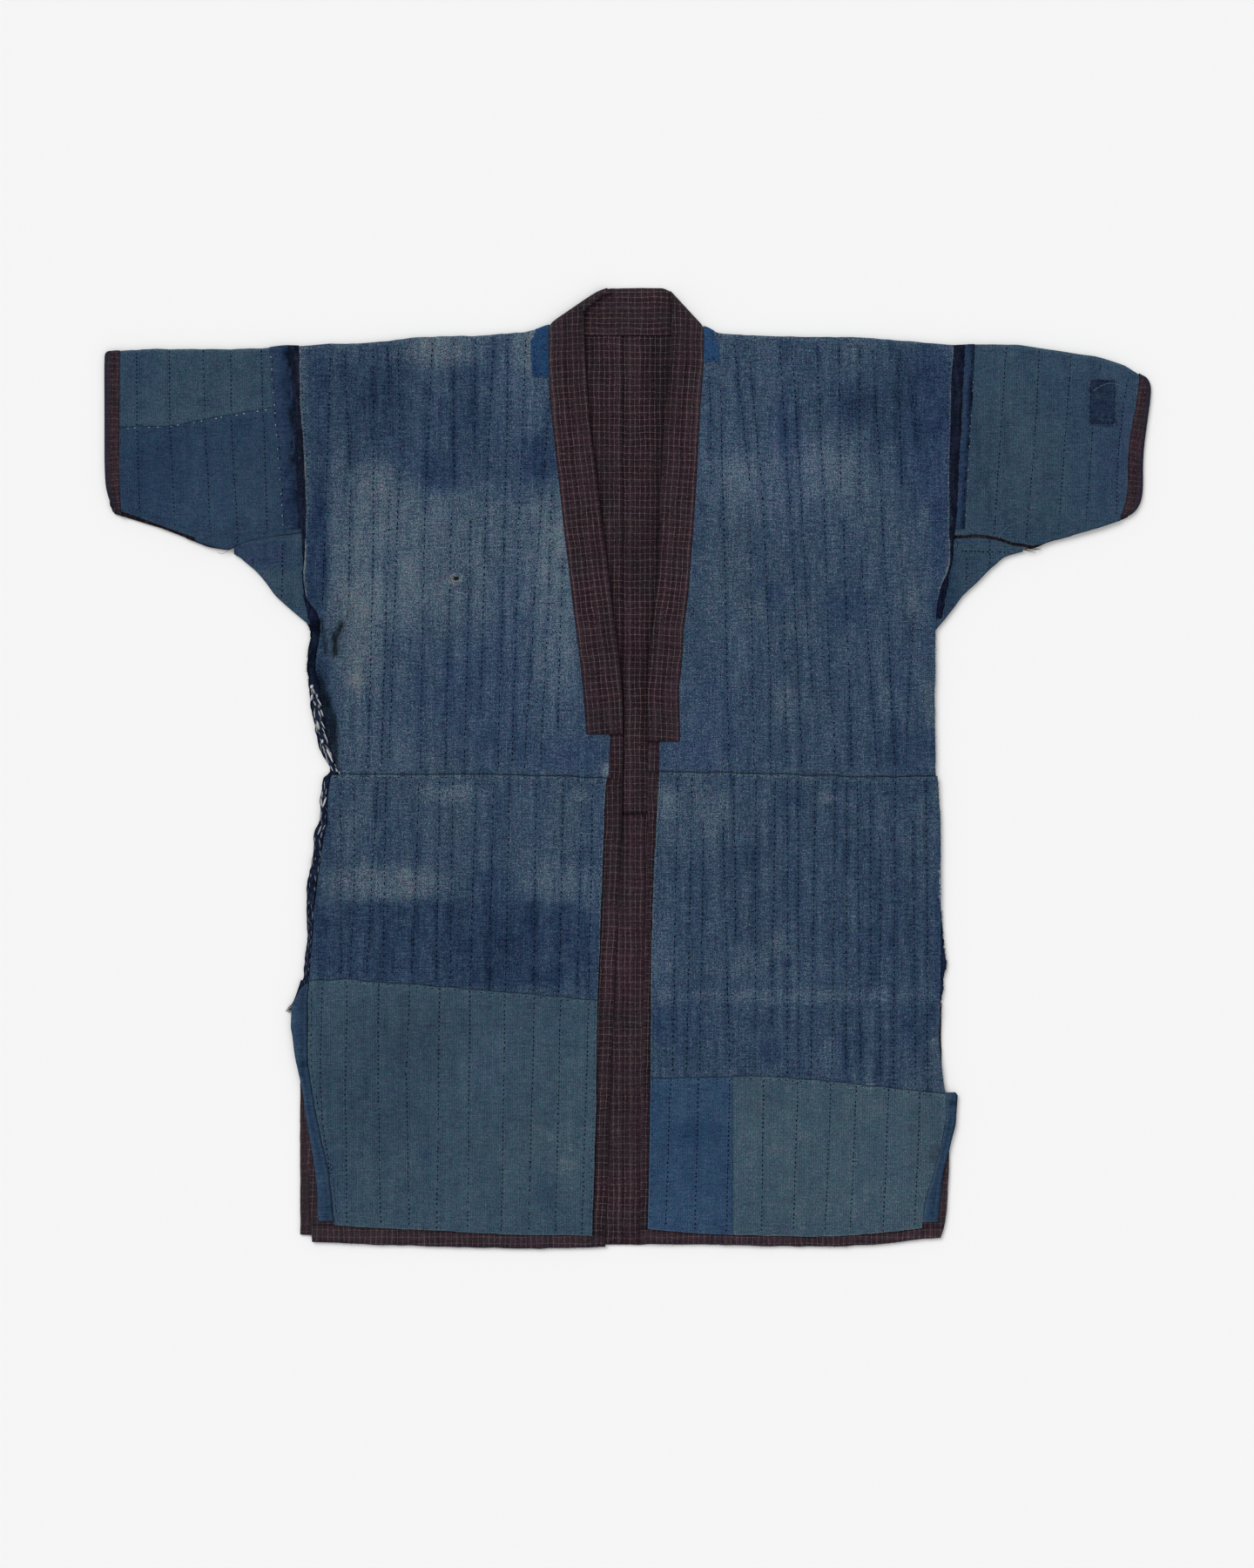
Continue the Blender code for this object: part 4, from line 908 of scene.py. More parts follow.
def upper_panels():
    for side, s in (("left", -1), ("right", 1)):
        k = side[0]
        body, back = (SIDE_L, BACK_SIDE_L) if k == "l" else (SIDE_R, BACK_SIDE_R)
        waist = WAIST_L if k == "l" else WAIST_R
        fold = TOP_L if k == "l" else TOP_R
        top = plus(fold, -SHOULDER_BEND)
        point, centre = level(s * NECK_POINT), CENTRE_BACK + (1.6 if k == "l" else 0.0)
        beyond = np.linspace(s * NECK_POINT, centre, 30)[1:]
        for layer in ("outer", "lining"):
            lining = layer == "lining"
            step = FRONT_STEP if lining else 10.0
            tight = FINE if lining else (0.5, 1.2, 2.2, 4.5, 7.0, 9.5, 12.0, 14.5, 17.0)
            cols = spaced(262, step, FINE if lining else (0.6,), tight)
            rows = spaced(432, step, FINE if lining else (0.5, 1.2, 2.5, 5, 8, 11, 14, 18, 22, 27, 32, 38), (1.2, 3.0))
            x, y = field(body, (NECK_LIN if lining else NECK_OUT)[k], plus(waist, SEAM / 2 - 0.1), top, cols, rows)
            z = lining_z(x, y, "upper") if lining else FRONT_OUTER - drop(x, y) + 0.12 * cloud(x, y, 20, 30, 81) - 0.12
            low = level(BACK_WAIST + SEAM / 2)
            t = np.concatenate([[0.0, 0.014], np.linspace(0.014, 1, 80 if lining else 130)[1:]])
            if lining:
                zb = lambda a, b: BACK_LINING + back_z(a, b)
            else:
                zb = lambda a, b: BACK_OUTER + 0.16 * cloud(a, b, 24, 60, 82) + 0.55 * near(b - BACK_WAIST, 2.6) * (1 + 0.6 * noise(a, b, 4, 9, 83))
            X, Y, Z, V, front_rows = over_fold(x, y, z, 1, back, point, low, cols, t, zb)
            m = len(X)
            # the stretch between the neck points belongs to the back alone
            at_neck = Y[:, -1:]
            XX = np.concatenate([X, np.broadcast_to(beyond, (m, len(beyond)))], 1)
            YY = np.concatenate([Y, np.repeat(at_neck, len(beyond), 1)], 1)
            VV = np.concatenate([V, np.repeat(V[:, -1:], len(beyond), 1)], 1)
            ZZ = np.concatenate([Z, zb(XX[:, X.shape[1]:], YY[:, X.shape[1]:])], 1)
            if k == "l":  # the left half goes under the right one
                ZZ[front_rows:] -= (0.9 if not lining else 0.0) * smooth(CENTRE_BACK - 3.5, CENTRE_BACK + 0.5, XX[front_rows:])
            present = np.ones(XX.shape, bool)
            present[: front_rows + TURN, X.shape[1]:] = False
            if lining:
                if k == "l":  # the hole: one point cut away, and the ring round it drawn in
                    far = np.hypot(XX[:front_rows] - HOLE[0], YY[:front_rows] - HOLE[1])
                    i, j = np.unravel_index(far.argmin(), far.shape)
                    present[i, j] = False
                    for di in (-1, 0, 1):
                        for dj in (-1, 0, 1):
                            if di or dj:
                                a = math.atan2(di, dj)
                                r = 2.1 + 0.5 * math.sin(3 * a + 1) + (0.5 if abs(di) + abs(dj) == 2 else 0)
                                XX[i + di, j + dj] = XX[i, j] + r * math.cos(a) * 1.25
                                YY[i + di, j + dj] = YY[i, j] + r * math.sin(a) * 0.9
                base = 0.5 if k == "l" else 0.47
                f, w = faded(XX, VV, base, FADES_UPPER_LEFT if k == "l" else FADES_UPPER_RIGHT, 1000 if k == "l" else 1100)
                on_front = np.zeros(XX.shape, bool)
                on_front[:front_rows] = True
                fe, we = armhole_fade(XX, YY, f, w)
                f, w = np.where(on_front, fe, f), np.where(on_front, we, w)
                f = f + 0.1 * near(VV - fold(XX), 4.0)  # worn along the shoulder fold
                f = f + row_shading(XX, YY, QUILT["upper"], 1080) * on_front
                # painted shade in the waist seam and in the creases
                dark = 0.75 * near(YY - waist(XX), 1.1) * on_front + np.where(on_front, creased(XX, YY)[1], 0)
                if k == "l":
                    h = np.hypot((XX - HOLE[0]) / 1.2, YY - HOLE[1])
                    f = f + 0.35 * near(h - 3.4, 2.0) * on_front
                    w = w + 1.2 * near(h - 3.2, 2.2) * on_front * smooth(HOLE[0] + 3, HOLE[0] - 3, XX)
                uv = grain(XX, VV)
                name, cloth_name, slot = f"lining_upper_{side}", "faded_lining", "faded_indigo"
            else:
                f, w = 0.45 + 0.14 * cloud(XX, VV, 24, 60, 1200), 0 * XX
                # painted shade down the centre-back seam, along the back's waist seam and under the collar's free edges
                dark = 0.22 * near(XX - CENTRE_BACK, 0.9) + 0.5 * near(VV - V[-1, -1], 3.0) * (np.arange(m)[:, None] > front_rows)
                dark = dark + 0.3 * collar_shade(XX, YY) * (np.arange(m)[:, None] > front_rows)
                uv = grain((XX + (0.6 if k == "l" else 0.0)) * 1.07, VV + (2.0 if k == "r" else 0.0))
                name, cloth_name, slot = f"outer_upper_{side}", "check", "check"
            values = {"fade": f, "warm": w, "dark": dark}
            p, uv, values, present = facing_up(np.stack([XX, YY, ZZ], -1), uv, values, present)
            made = shell(name, p, uv, values, present=present)
            piece(made, [name], slot, cloth_name)


def collar_shade(x, y):
    """Where the collar's free edges keep light off the back."""
    left = near(np.maximum(x - FREE_L(y) - 0.5, 0), 3.0) * (y > 30)
    right = near(np.maximum(FREE_R(y) - 0.5 - x, 0), 5.0) * (y > 24)
    return np.maximum(left, right)


def lower_fronts():
    for side, s in (("left", -1), ("right", 1)):
        k = side[0]
        left = k == "l"
        waist, hem, lining_hem, seam = (WAIST_L, HEM_L, LINING_HEM_L, PANEL_L) if left else (WAIST_R, HEM_R, LINING_HEM_R, PANEL_R)
        side_line, edge, inner = (LOW_SIDE_L, EDGE_L, LINING_L) if left else (LOW_SIDE_R, EDGE_R, LINING_R)
        beyond = OUTER_SIDE_L if left else OUTER_SIDE_R
        turn = -238 if left else -318  # where the vent opens
        outside = lambda y, f=beyond, g=side_line, s=s, turn=turn: np.where(y < turn, mix(g(y) - 2.5 * s, f(y), smooth(turn, turn - 12, y)), g(y) - 2.5 * s)
        # the check front: its facing and its hem pass the lining
        cols = spaced(285, 9.0, (1.0, 3, 6), (0.4, 1.0, 2.0, 4, 6.3, 8.6, 11, 13.4, 15.8, 18.2))
        rows = spaced(462, 3.4, (0.4, 1.0, 2.0, 4.2, 6.4, 8.6, 10.8, 13, 15.2, 17.4), (0.5, 1.5))
        x, y = field(outside, edge, hem, plus(waist, -SEAM / 2), cols, rows)
        z = FRONT_OUTER - drop(x, y) - 0.12 + 0.12 * cloud(x, y, 18, 26, 84) + 0.1 * near(y - hem(x), 3) * noise(x, y, 7, 9, 85)
        values = {
            "fade": 0.5 + 0.12 * cloud(x, y, 26, 60, 1210) + 0.1 * (y < lining_hem(x)),
            "warm": 0.3 * (y < lining_hem(x) + 1) + 0.35 * (np.abs(x) > 300) * (y < -240) - 1.2 * near(y - hem(x), 2.4) * (0.8 + 0.3 * noise(x, y, 9, 30, 1213)),
            # painted shade under the lining's inner edge and hem, and in the waist seam
            "dark": 0.6 * near(x - inner(y), 1.3) * (y > lining_hem(x)) + 0.6 * near(y - lining_hem(x), 1.3) + 0.5 * near(y - waist(x), 1.3),
        }
        # the checks follow the front edge
        uv = grain((x - edge(y)) + (1.2 if left else 3.0), y)
        p, uv, values, _ = facing_up(np.stack([x, y, z], -1), uv, values)
        piece(shell(f"outer_front_{side}", p, uv, values), [f"outer_front_{side}"], "check", "check")
        # the lining between the waist and the hem panels
        length = 210 if left else 298
        cols = spaced(272, FRONT_STEP, FINE, FINE)
        rows = spaced(length, FRONT_STEP, FINE, FINE)
        x, y = field(side_line, inner, plus(seam, SEAM / 2 - 0.1), plus(waist, -SEAM / 2 + 0.1), cols, rows)
        z = lining_z(x, y, "lower")
        f, w = faded(x, y, 0.46 if left else 0.45, FADES_LOWER_LEFT if left else FADES_LOWER_RIGHT, 1300 if left else 1400)
        f = f + 0.12 * near(y - waist(x) + 2.2, 1.6) + 0.2 * near(x - inner(y), 0.9) + row_shading(x, y, QUILT["lower"], 1090)
        # painted shade in the waist and panel seams and in the creases
        dark = 0.8 * near(y - waist(x), 0.8) + 0.5 * near(y - seam(x), 0.9) + creased(x, y)[1]
        name = f"lining_front_{side}"
        p, uv, values, _ = facing_up(np.stack([x, y, z], -1), grain(x, y, dv=3), {"fade": f, "warm": w, "dark": dark})
        piece(shell(name, p, uv, values), [name], "faded_indigo", "faded_lining")
        # the hem panels
        low, high = lining_hem, plus(seam, -SEAM / 2 + 0.1)
        split = 104.0
        if left:
            panels = [("hem_panel_left", side_line, inner, 255, 236, "grey_teal", "teal_panel", FADES_PANEL_LEFT, 0.44)]
        else:
            panels = [
                ("hem_panel_right_blue", level(split - 0.1), inner, 82, 148, "mid_indigo", "blue_panel", FADES_PANEL_RIGHT, 0.42),
                ("hem_panel_right_teal", side_line, level(split + 0.1), 200, 145, "grey_teal", "teal_panel", FADES_PANEL_RIGHT, 0.52),
            ]
        for n, (name, a, b, wide, tall, slot, cloth_name, blobs, base) in enumerate(panels):
            cols, rows = spaced(wide, FRONT_STEP, FINE, FINE), spaced(tall, FRONT_STEP, FINE, FINE)
            x, y = field(a, b, low, high, cols, rows)
            z = lining_z(x, y, "panel") - 0.35 * near(y - lining_hem(x), 1.5)
            if not left:
                z = z - 0.3 * near(x - split, 1.2)
            f, w = faded(x, y, base, blobs, 1500 + 50 * n + (0 if left else 200), 0.03, 0.05)
            f = f + 0.16 * near(y - lining_hem(x), 1.2) + 0.12 * near(x - inner(y), 0.9) + 0.1 * near(x - side_line(y), 1.0) + 0.07 * near(y - seam(x) + 2.0, 1.4)
            # painted shade in the seam above, in the creases and where the two right panels meet
            dark = 0.45 * near(y - seam(x), 0.8) + creased(x, y)[1] + (0.12 * near(x - split, 0.8) if not left else 0)
            p, uv, values, _ = facing_up(np.stack([x, y, z], -1), grain(x, y, dv=7), {"fade": f, "warm": w, "dark": dark})
            piece(shell(name, p, uv, values), [name], slot, cloth_name)


def lower_backs():
    for side, s in (("left", -1), ("right", 1)):
        k = side[0]
        edge = BACK_SIDE_L if k == "l" else BACK_SIDE_R
        mid = level(CENTRE_BACK + (1.6 if s < 0 else 0.0))
        inset = lambda y, s=s, edge=edge: edge(y) - s * 8 * smooth(-200, -260, y)
        top = level(BACK_WAIST + 1.4)
        cols = spaced(315, 9.0, (0.4, 1.2, 3, 5.5, 8, 11, 14, 18), (2.4, 4.8, 7.2, 9.6, 12, 14.4, 16.8, 19.2, 21.6, 24, 27))
        rows = spaced(424, 4.0, (0.4, 1.2, 2.4, 5, 8, 11, 14), (0.6, 1.8, 3.4, 5.5))
        x, y = field(edge, mid, HEM_BACK, top, cols, rows)
        z = BACK_OUTER + 0.14 * cloud(x, y, 24, 50, 86) + 0.4 * near(y - BACK_WAIST + 3.5, 3.0) * (1 + 0.6 * noise(x, y, 4, 9, 87))
        z = z - 0.7 * smooth(BACK_WAIST - 1.0, BACK_WAIST + 1.2, y)
        if s < 0:
            z = z - 0.9 * smooth(CENTRE_BACK - 3.5, CENTRE_BACK + 0.5, x)
        shade = np.maximum(near(np.maximum(x - EDGE_L(y), 0), 3.0), near(np.maximum(EDGE_R(y) - x, 0), 4.0))
        # painted shade down the centre-back seam, along the waist seam and beside the fronts' edges
        dark = 0.22 * near(x - CENTRE_BACK, 0.9) + 0.6 * near(y - BACK_WAIST, 1.6) + 0.28 * shade
        vent = (np.abs(x) > 300) & (y < -240)
        dark = dark + 0.3 * near(x + 315.5, 0.8) * vent
        values = {"fade": 0.57 + 0.14 * cloud(x, y, 24, 60, 1220) + 0.1 * vent, "warm": 0.55 * vent, "dark": dark}
        p, uv, values, _ = facing_up(np.stack([x, y, z], -1), grain(x + (0.6 if s < 0 else 0), y, dv=1.5), values)
        piece(shell(f"outer_back_{side}", p, uv, values), [f"outer_back_{side}"], "check", "check")
        # the lining under it, outside on the underside
        cols, rows = spaced(312, 6.0, (0.6, 2), (2,)), spaced(412, 6.0, (0.6, 2), (2,))
        x, y = field(inset, mid, plus(HEM_BACK, HEM_SHOWS), top, cols, rows)
        z = BACK_LINING + back_z(x, y)
        f, w = faded(x, y, 0.44, BACK_FADES, 1600 if s < 0 else 1650)
        # painted shade along the waist seam
        values = {"fade": f, "warm": w, "dark": 0.5 * near(y - BACK_WAIST, 1.4)}
        p, uv, values, _ = facing_up(np.stack([x, y, z], -1), grain(x, y, dv=5), values)
        name = f"lining_back_{side}"
        piece(shell(name, p[:, ::-1], uv[:, ::-1], {n: np.broadcast_to(v, x.shape)[:, ::-1] for n, v in values.items()}), [name], "faded_indigo", "faded_lining")


BACK_FADES = (
    (-200, -330, 90, 60, 0.8, 0.12, 0.2),
    (-60, -250, 50, 120, 0.8, 0.08, 0.1),
    (120, -380, 120, 50, 0.7, 0.1, 0.1),
    (240, -200, 50, 110, 0.8, -0.1, -0.2),
    (60, -160, 60, 70, 0.8, 0.06, 0.0),
)


def sleeves():
    for side, s in (("left", -1), ("right", 1)):
        left = s < 0
        end, body = (lambda q, left=left: sleeve_end(q, left)), (SIDE_L if left else SIDE_R)
        fold, low = (SLEEVE_TOP_L, SLEEVE_LOW_L) if left else (SLEEVE_TOP_R, SLEEVE_LOW_R)
        top = plus(fold, -SHOULDER_BEND)
        armhole = lambda y, s=s, body=body: body(y) + s * 0.05
        # the check sleeve, which shows along its bottom seam
        cols, rows = spaced(190, 6.0, (1.0, 3), (1.0, 3)), spaced(185, 9.0, (0.5, 1.2, 2.4, 4), (1.5,))
        inside = (lambda q, end=end: end(q) + 5) if left else (lambda q, end=end: np.minimum(CUFF_IN_R(q) + 7, end(q) - 1.5))
        x, y = field(inside, armhole, low, top, cols, rows)
        z = FRONT_OUTER - drop(x, y) - 0.1
        X, Y, Z, V, _ = over_fold(x, y, z, 1, inside, armhole, low, cols, spaced(185, 9, (3,), (0.5, 1.5)), lambda a, b: BACK_OUTER + 0 * a)
        # painted shade over the whole check sleeve, which shows only in the shade under its lining
        values = {"fade": 0.45 + 0.1 * cloud(X, V, 30, 30, 1230), "warm": 0 * X, "dark": 0.4 + 0 * X}
        p, uv, values, _ = facing_up(np.stack([X, Y, Z], -1), grain(X, V), values)
        piece(shell(f"sleeve_outer_{side}", p, uv, values), [f"sleeve_outer_{side}"], "check", "check")
        # its lining, from inside the cuff to the armhole seam
        start = (lambda q, end=end: end(q) + 13.6) if left else (lambda q, end=end: np.minimum(CUFF_IN_R(q) + 1.0, end(q) - 0.2))
        raised = (lambda q, low=low, left=left: low(q) + (np.interp(-q, (370, 400, 450), (0.2, 0.6, 2.2)) if left else np.interp(q, (385, 402, 410), (3.0, 2.4, 0.5))))
        cols = spaced(177, FRONT_STEP, FINE, FINE)
        back_rows = spaced(180, 6.0, (1.5, 4), (0.6, 2))
        zb = lambda a, b: BACK_LINING + 0.12 * (1 + cloud(a, b, 20, 30, 88)) / 2
        if left:
            parts = [
                ("sleeve_lining_left_upper", plus(SLEEVE_SEAM, SEAM / 2 - 0.1), 78, True, "grey_teal", "teal_sleeve", FADES_SLEEVE_LEFT_UPPER, 0.4),
                ("sleeve_lining_left_lower", raised, 110, False, "mid_indigo", "blue_sleeve", FADES_SLEEVE_LEFT_LOWER, 0.36),
            ]
        else:
            parts = [("sleeve_lining_right", raised, 182, True, "grey_teal", "teal_sleeve", FADES_SLEEVE_RIGHT, 0.4)]
        for n, (name, bottom, tall, over, slot, cloth_name, blobs, base) in enumerate(parts):
            rows = spaced(tall, FRONT_STEP, FINE, (1.2, 3) if over else FINE)
            x, y = field(start, armhole, bottom, top if over else plus(SLEEVE_SEAM, -SEAM / 2 + 0.1), cols, rows)
            z = lining_z(x, y, "sleeve")
            if over:
                X, Y, Z, V, nf = over_fold(x, y, z, 1, start, armhole, plus(low, 0.15), cols, back_rows, zb)
            else:
                X, Y, Z, V, nf = x, y, z, y, len(y)
            f, w = faded(X, V, base, blobs, 1700 + 40 * n + (0 if left else 90), 0.03, 0.05)
            on_front = np.arange(len(X))[:, None] < nf
            # painted shade in the seam, in the creases, under the lining's lower edge and where it goes into the cuff
            seam_shade = 0.3 * near(Y - SLEEVE_SEAM(X), 0.9) * on_front if left else 0
            f = f + 0.12 * near(V - fold(X), 3.0) + 0.06 * near(X - start(Y), 3) * on_front
            dark = seam_shade + np.where(on_front, creased(X, Y)[1], 0) + 0.15 * near(Y - raised(X), 1.2) * on_front + 0.3 * near(X - start(Y), 1.6) * on_front
            p, uv, values, _ = facing_up(np.stack([X, Y, Z], -1), grain(X, V, dv=11), {"fade": f, "warm": w, "dark": dark})
            piece(shell(name, p, uv, values), [name], slot, cloth_name)
        # the cuff binding goes round the end of both layers
        z_low, z_high = BACK_LINING, FRONT_LINING - EASE
        r = (z_high - z_low) / 2
        pts, us = [], []
        rim, hem = CUFF_LEFT if left else CUFF_RIGHT
        n = 84
        rim, hem = drawn(rim, n), drawn(hem, n)
        for k in range(n):
            e, i = rim[k], hem[k]
            wide = np.linalg.norm(e - i)
            way = (e - i) / wide
            wide = wide - WALL / 2
            e = e - way * WALL / 2
            bend = min(r, wide * 0.45)
            line = []
            for share in (0.0, 0.035, 0.09, 0.25, 0.45, 0.65, 0.85, 1.0):
                at = i + (e - way * bend - i) * share
                xx, yy = np.array([at[0]]), np.array([at[1]])
                zz = FRONT_LINING - float(drop(xx, yy)[0]) + 0.75 * float(smooth(1.0, 0.3, share))
                zz = mix(zz, z_high, smooth(0.5, 1.0, share)) - (0.5 if share == 0 else 0.15 if share < 0.05 else 0)
                line.append((at[0], at[1], float(zz) + 0.12 * float(noise(xx, yy, 5, 6, 89)[0]) * (share < 0.9)))
            for q in range(1, TURN + 1):
                a = math.pi * q / TURN
                at = e - way * bend * (1 - math.sin(a))
                line.append((at[0], at[1], (z_high + z_low) / 2 + r * math.cos(a)))
            for share in (0.7, 0.45, 0.2, 0.1):
                at = i + (e - way * bend - i) * share
                line.append((at[0], at[1], z_low))
            pts.append(line)
            us.append(np.concatenate([[0], np.cumsum(np.linalg.norm(np.diff(np.array(line), axis=0), axis=1))]))
        p = np.array(pts)
        u = np.array(us)
        along = np.concatenate([[0], np.cumsum(np.linalg.norm(np.diff((rim + hem) / 2, axis=0), axis=1))])
        uv = np.stack([u * MM, np.broadcast_to(along[:, None], u.shape) * MM], -1)
        # painted shade along the edge hemmed down onto the lining; darker towards the cuff's lower end
        values = {"fade": 0.5 + 0.18 * cloud(u, p[:, :, 1], 6, 16, 1240 + s) + 0.08 * near(u - 11.0, 2.0), "warm": -0.9 * near(np.maximum(u[:, 7:8] - 0.6 - u, 0), 1.9 if left else 1.3), "dark": 0.5 * near(u - 0.0, 0.9) + 0.25 * near(p[:, :, 1] - p[:, :, 1].min(), 3)}
        a, b = p[0, 1] - p[0, 0], p[1, 0] - p[0, 0]
        if a[0] * b[1] - a[1] * b[0] < 0:
            p, uv, values = p[:, ::-1], uv[:, ::-1], {n: v[:, ::-1] for n, v in values.items()}
        piece(shell(f"cuff_{side}", p, uv, values), [f"cuff_{side}"], "cuff_check", "cuff_check", held="folded")
        # the underarm gusset is folded along its lower edge
        gusset, tip = (GUSSET_L, -388.0) if left else (GUSSET_R, 390.0)
        beside = lambda q, s=s, body=body: body(q) - s * 1.2
        cols, rows = spaced(72, 2.6, (0.6, 1.6), FINE), spaced(60, 2.6, FINE, (1.2,))
        turn = plus(gusset, GUSSET_BEND)
        high = plus(low, 0.1)
        x, y = field(level(tip), beside, turn, high, cols, rows[::-1])
        z = gusset_z(x, y)
        X, Y, Z, V, nf = over_fold(x, y, z, -1, level(tip), beside, high, cols, spaced(60, 6.0, (1.5,), (1,)), lambda a, b: BACK_LINING + 0 * a)
        f, w = faded(X, V, 0.38, GUSSET_FADES[side], 1800 + (0 if left else 40), 0.03, 0.06)
        on_front = np.arange(len(X))[:, None] < nf
        # painted shade along its top edge under the sleeve lining, and beside the body
        dark = 0.15 * near(Y - high(X), 1.0) * on_front + 0.3 * near(X - beside(Y), 2.5) * on_front
        p, uv, values = np.stack([X, Y, Z], -1), grain(X, V, dv=23), {"fade": f, "warm": w, "dark": dark}
        a, b = p[0, 1] - p[0, 0], p[1, 0] - p[0, 0]
        if a[0] * b[1] - a[1] * b[0] < 0:
            p, uv, values = p[:, ::-1], uv[:, ::-1], {n: np.broadcast_to(v, X.shape)[:, ::-1] for n, v in values.items()}
        piece(shell(f"gusset_{side}", p, uv, values), [f"gusset_{side}"], "grey_teal", "teal_sleeve", held="folded")


# The cuffs' outlines, from the top of the sleeve's end to its bottom: the rim, and where the binding is hemmed down.
CUFF_LEFT = (
    ((-508.0, 411.6), (-513.5, 411.4), (-516.0, 408.5), (-516.4, 395.0), (-516.2, 340.0), (-516.2, 300.0), (-515.2, 279.0), (-512.6, 268.0), (-509.8, 261.0), (-506.6, 258.6), (-506.2, 252.8), (-500.2, 249.2)),
    ((-500.5, 412.0), (-500.5, 409.5), (-500.3, 406.0), (-500.5, 394.0), (-500.8, 340.0), (-500.9, 302.0), (-500.7, 280.0), (-500.2, 268.0), (-499.8, 261.0), (-499.4, 256.5), (-499.0, 252.6), (-497.6, 248.4)),
)
CUFF_RIGHT = (
    ((507.0, 388.0), (511.8, 386.3), (515.2, 382.0), (517.0, 375.3), (516.0, 362.0), (512.6, 338.0), (509.6, 315.0), (508.8, 297.0), (509.0, 282.0), (508.4, 270.0), (506.3, 261.5), (502.6, 255.0), (497.6, 250.4), (492.0, 248.4)),
    ((504.6, 389.4), (504.7, 385.5), (504.4, 381.0), (503.6, 374.5), (502.0, 361.5), (498.0, 340.0), (494.6, 321.0), (493.4, 300.0), (493.5, 284.0), (492.8, 270.0), (491.4, 262.5), (489.4, 255.5), (487.4, 250.0), (486.2, 246.9)),
)


def drawn(points, count):
    """An outline through given points, its corners softened, with its points shared out evenly by number."""
    points = np.array(points, float)
    at = np.linspace(0, len(points) - 1, count)
    line = np.stack([np.interp(at, np.arange(len(points)), points[:, k]) for k in (0, 1)], -1)
    for _ in range(6):
        line[1:-1] = 0.5 * line[1:-1] + 0.25 * (line[:-2] + line[2:])
    return line


GUSSET_FADES = {
    "left": ((-362, 212, 34, 14, 0.5, -0.09, -2.0), (-340, 180, 30, 20, 0.8, 0.04, 0.3)),
    "right": ((345, 200, 30, 20, 0.8, 0.0, 0.2), (318, 175, 10, 30, 0.7, -0.12, -0.4)),
}


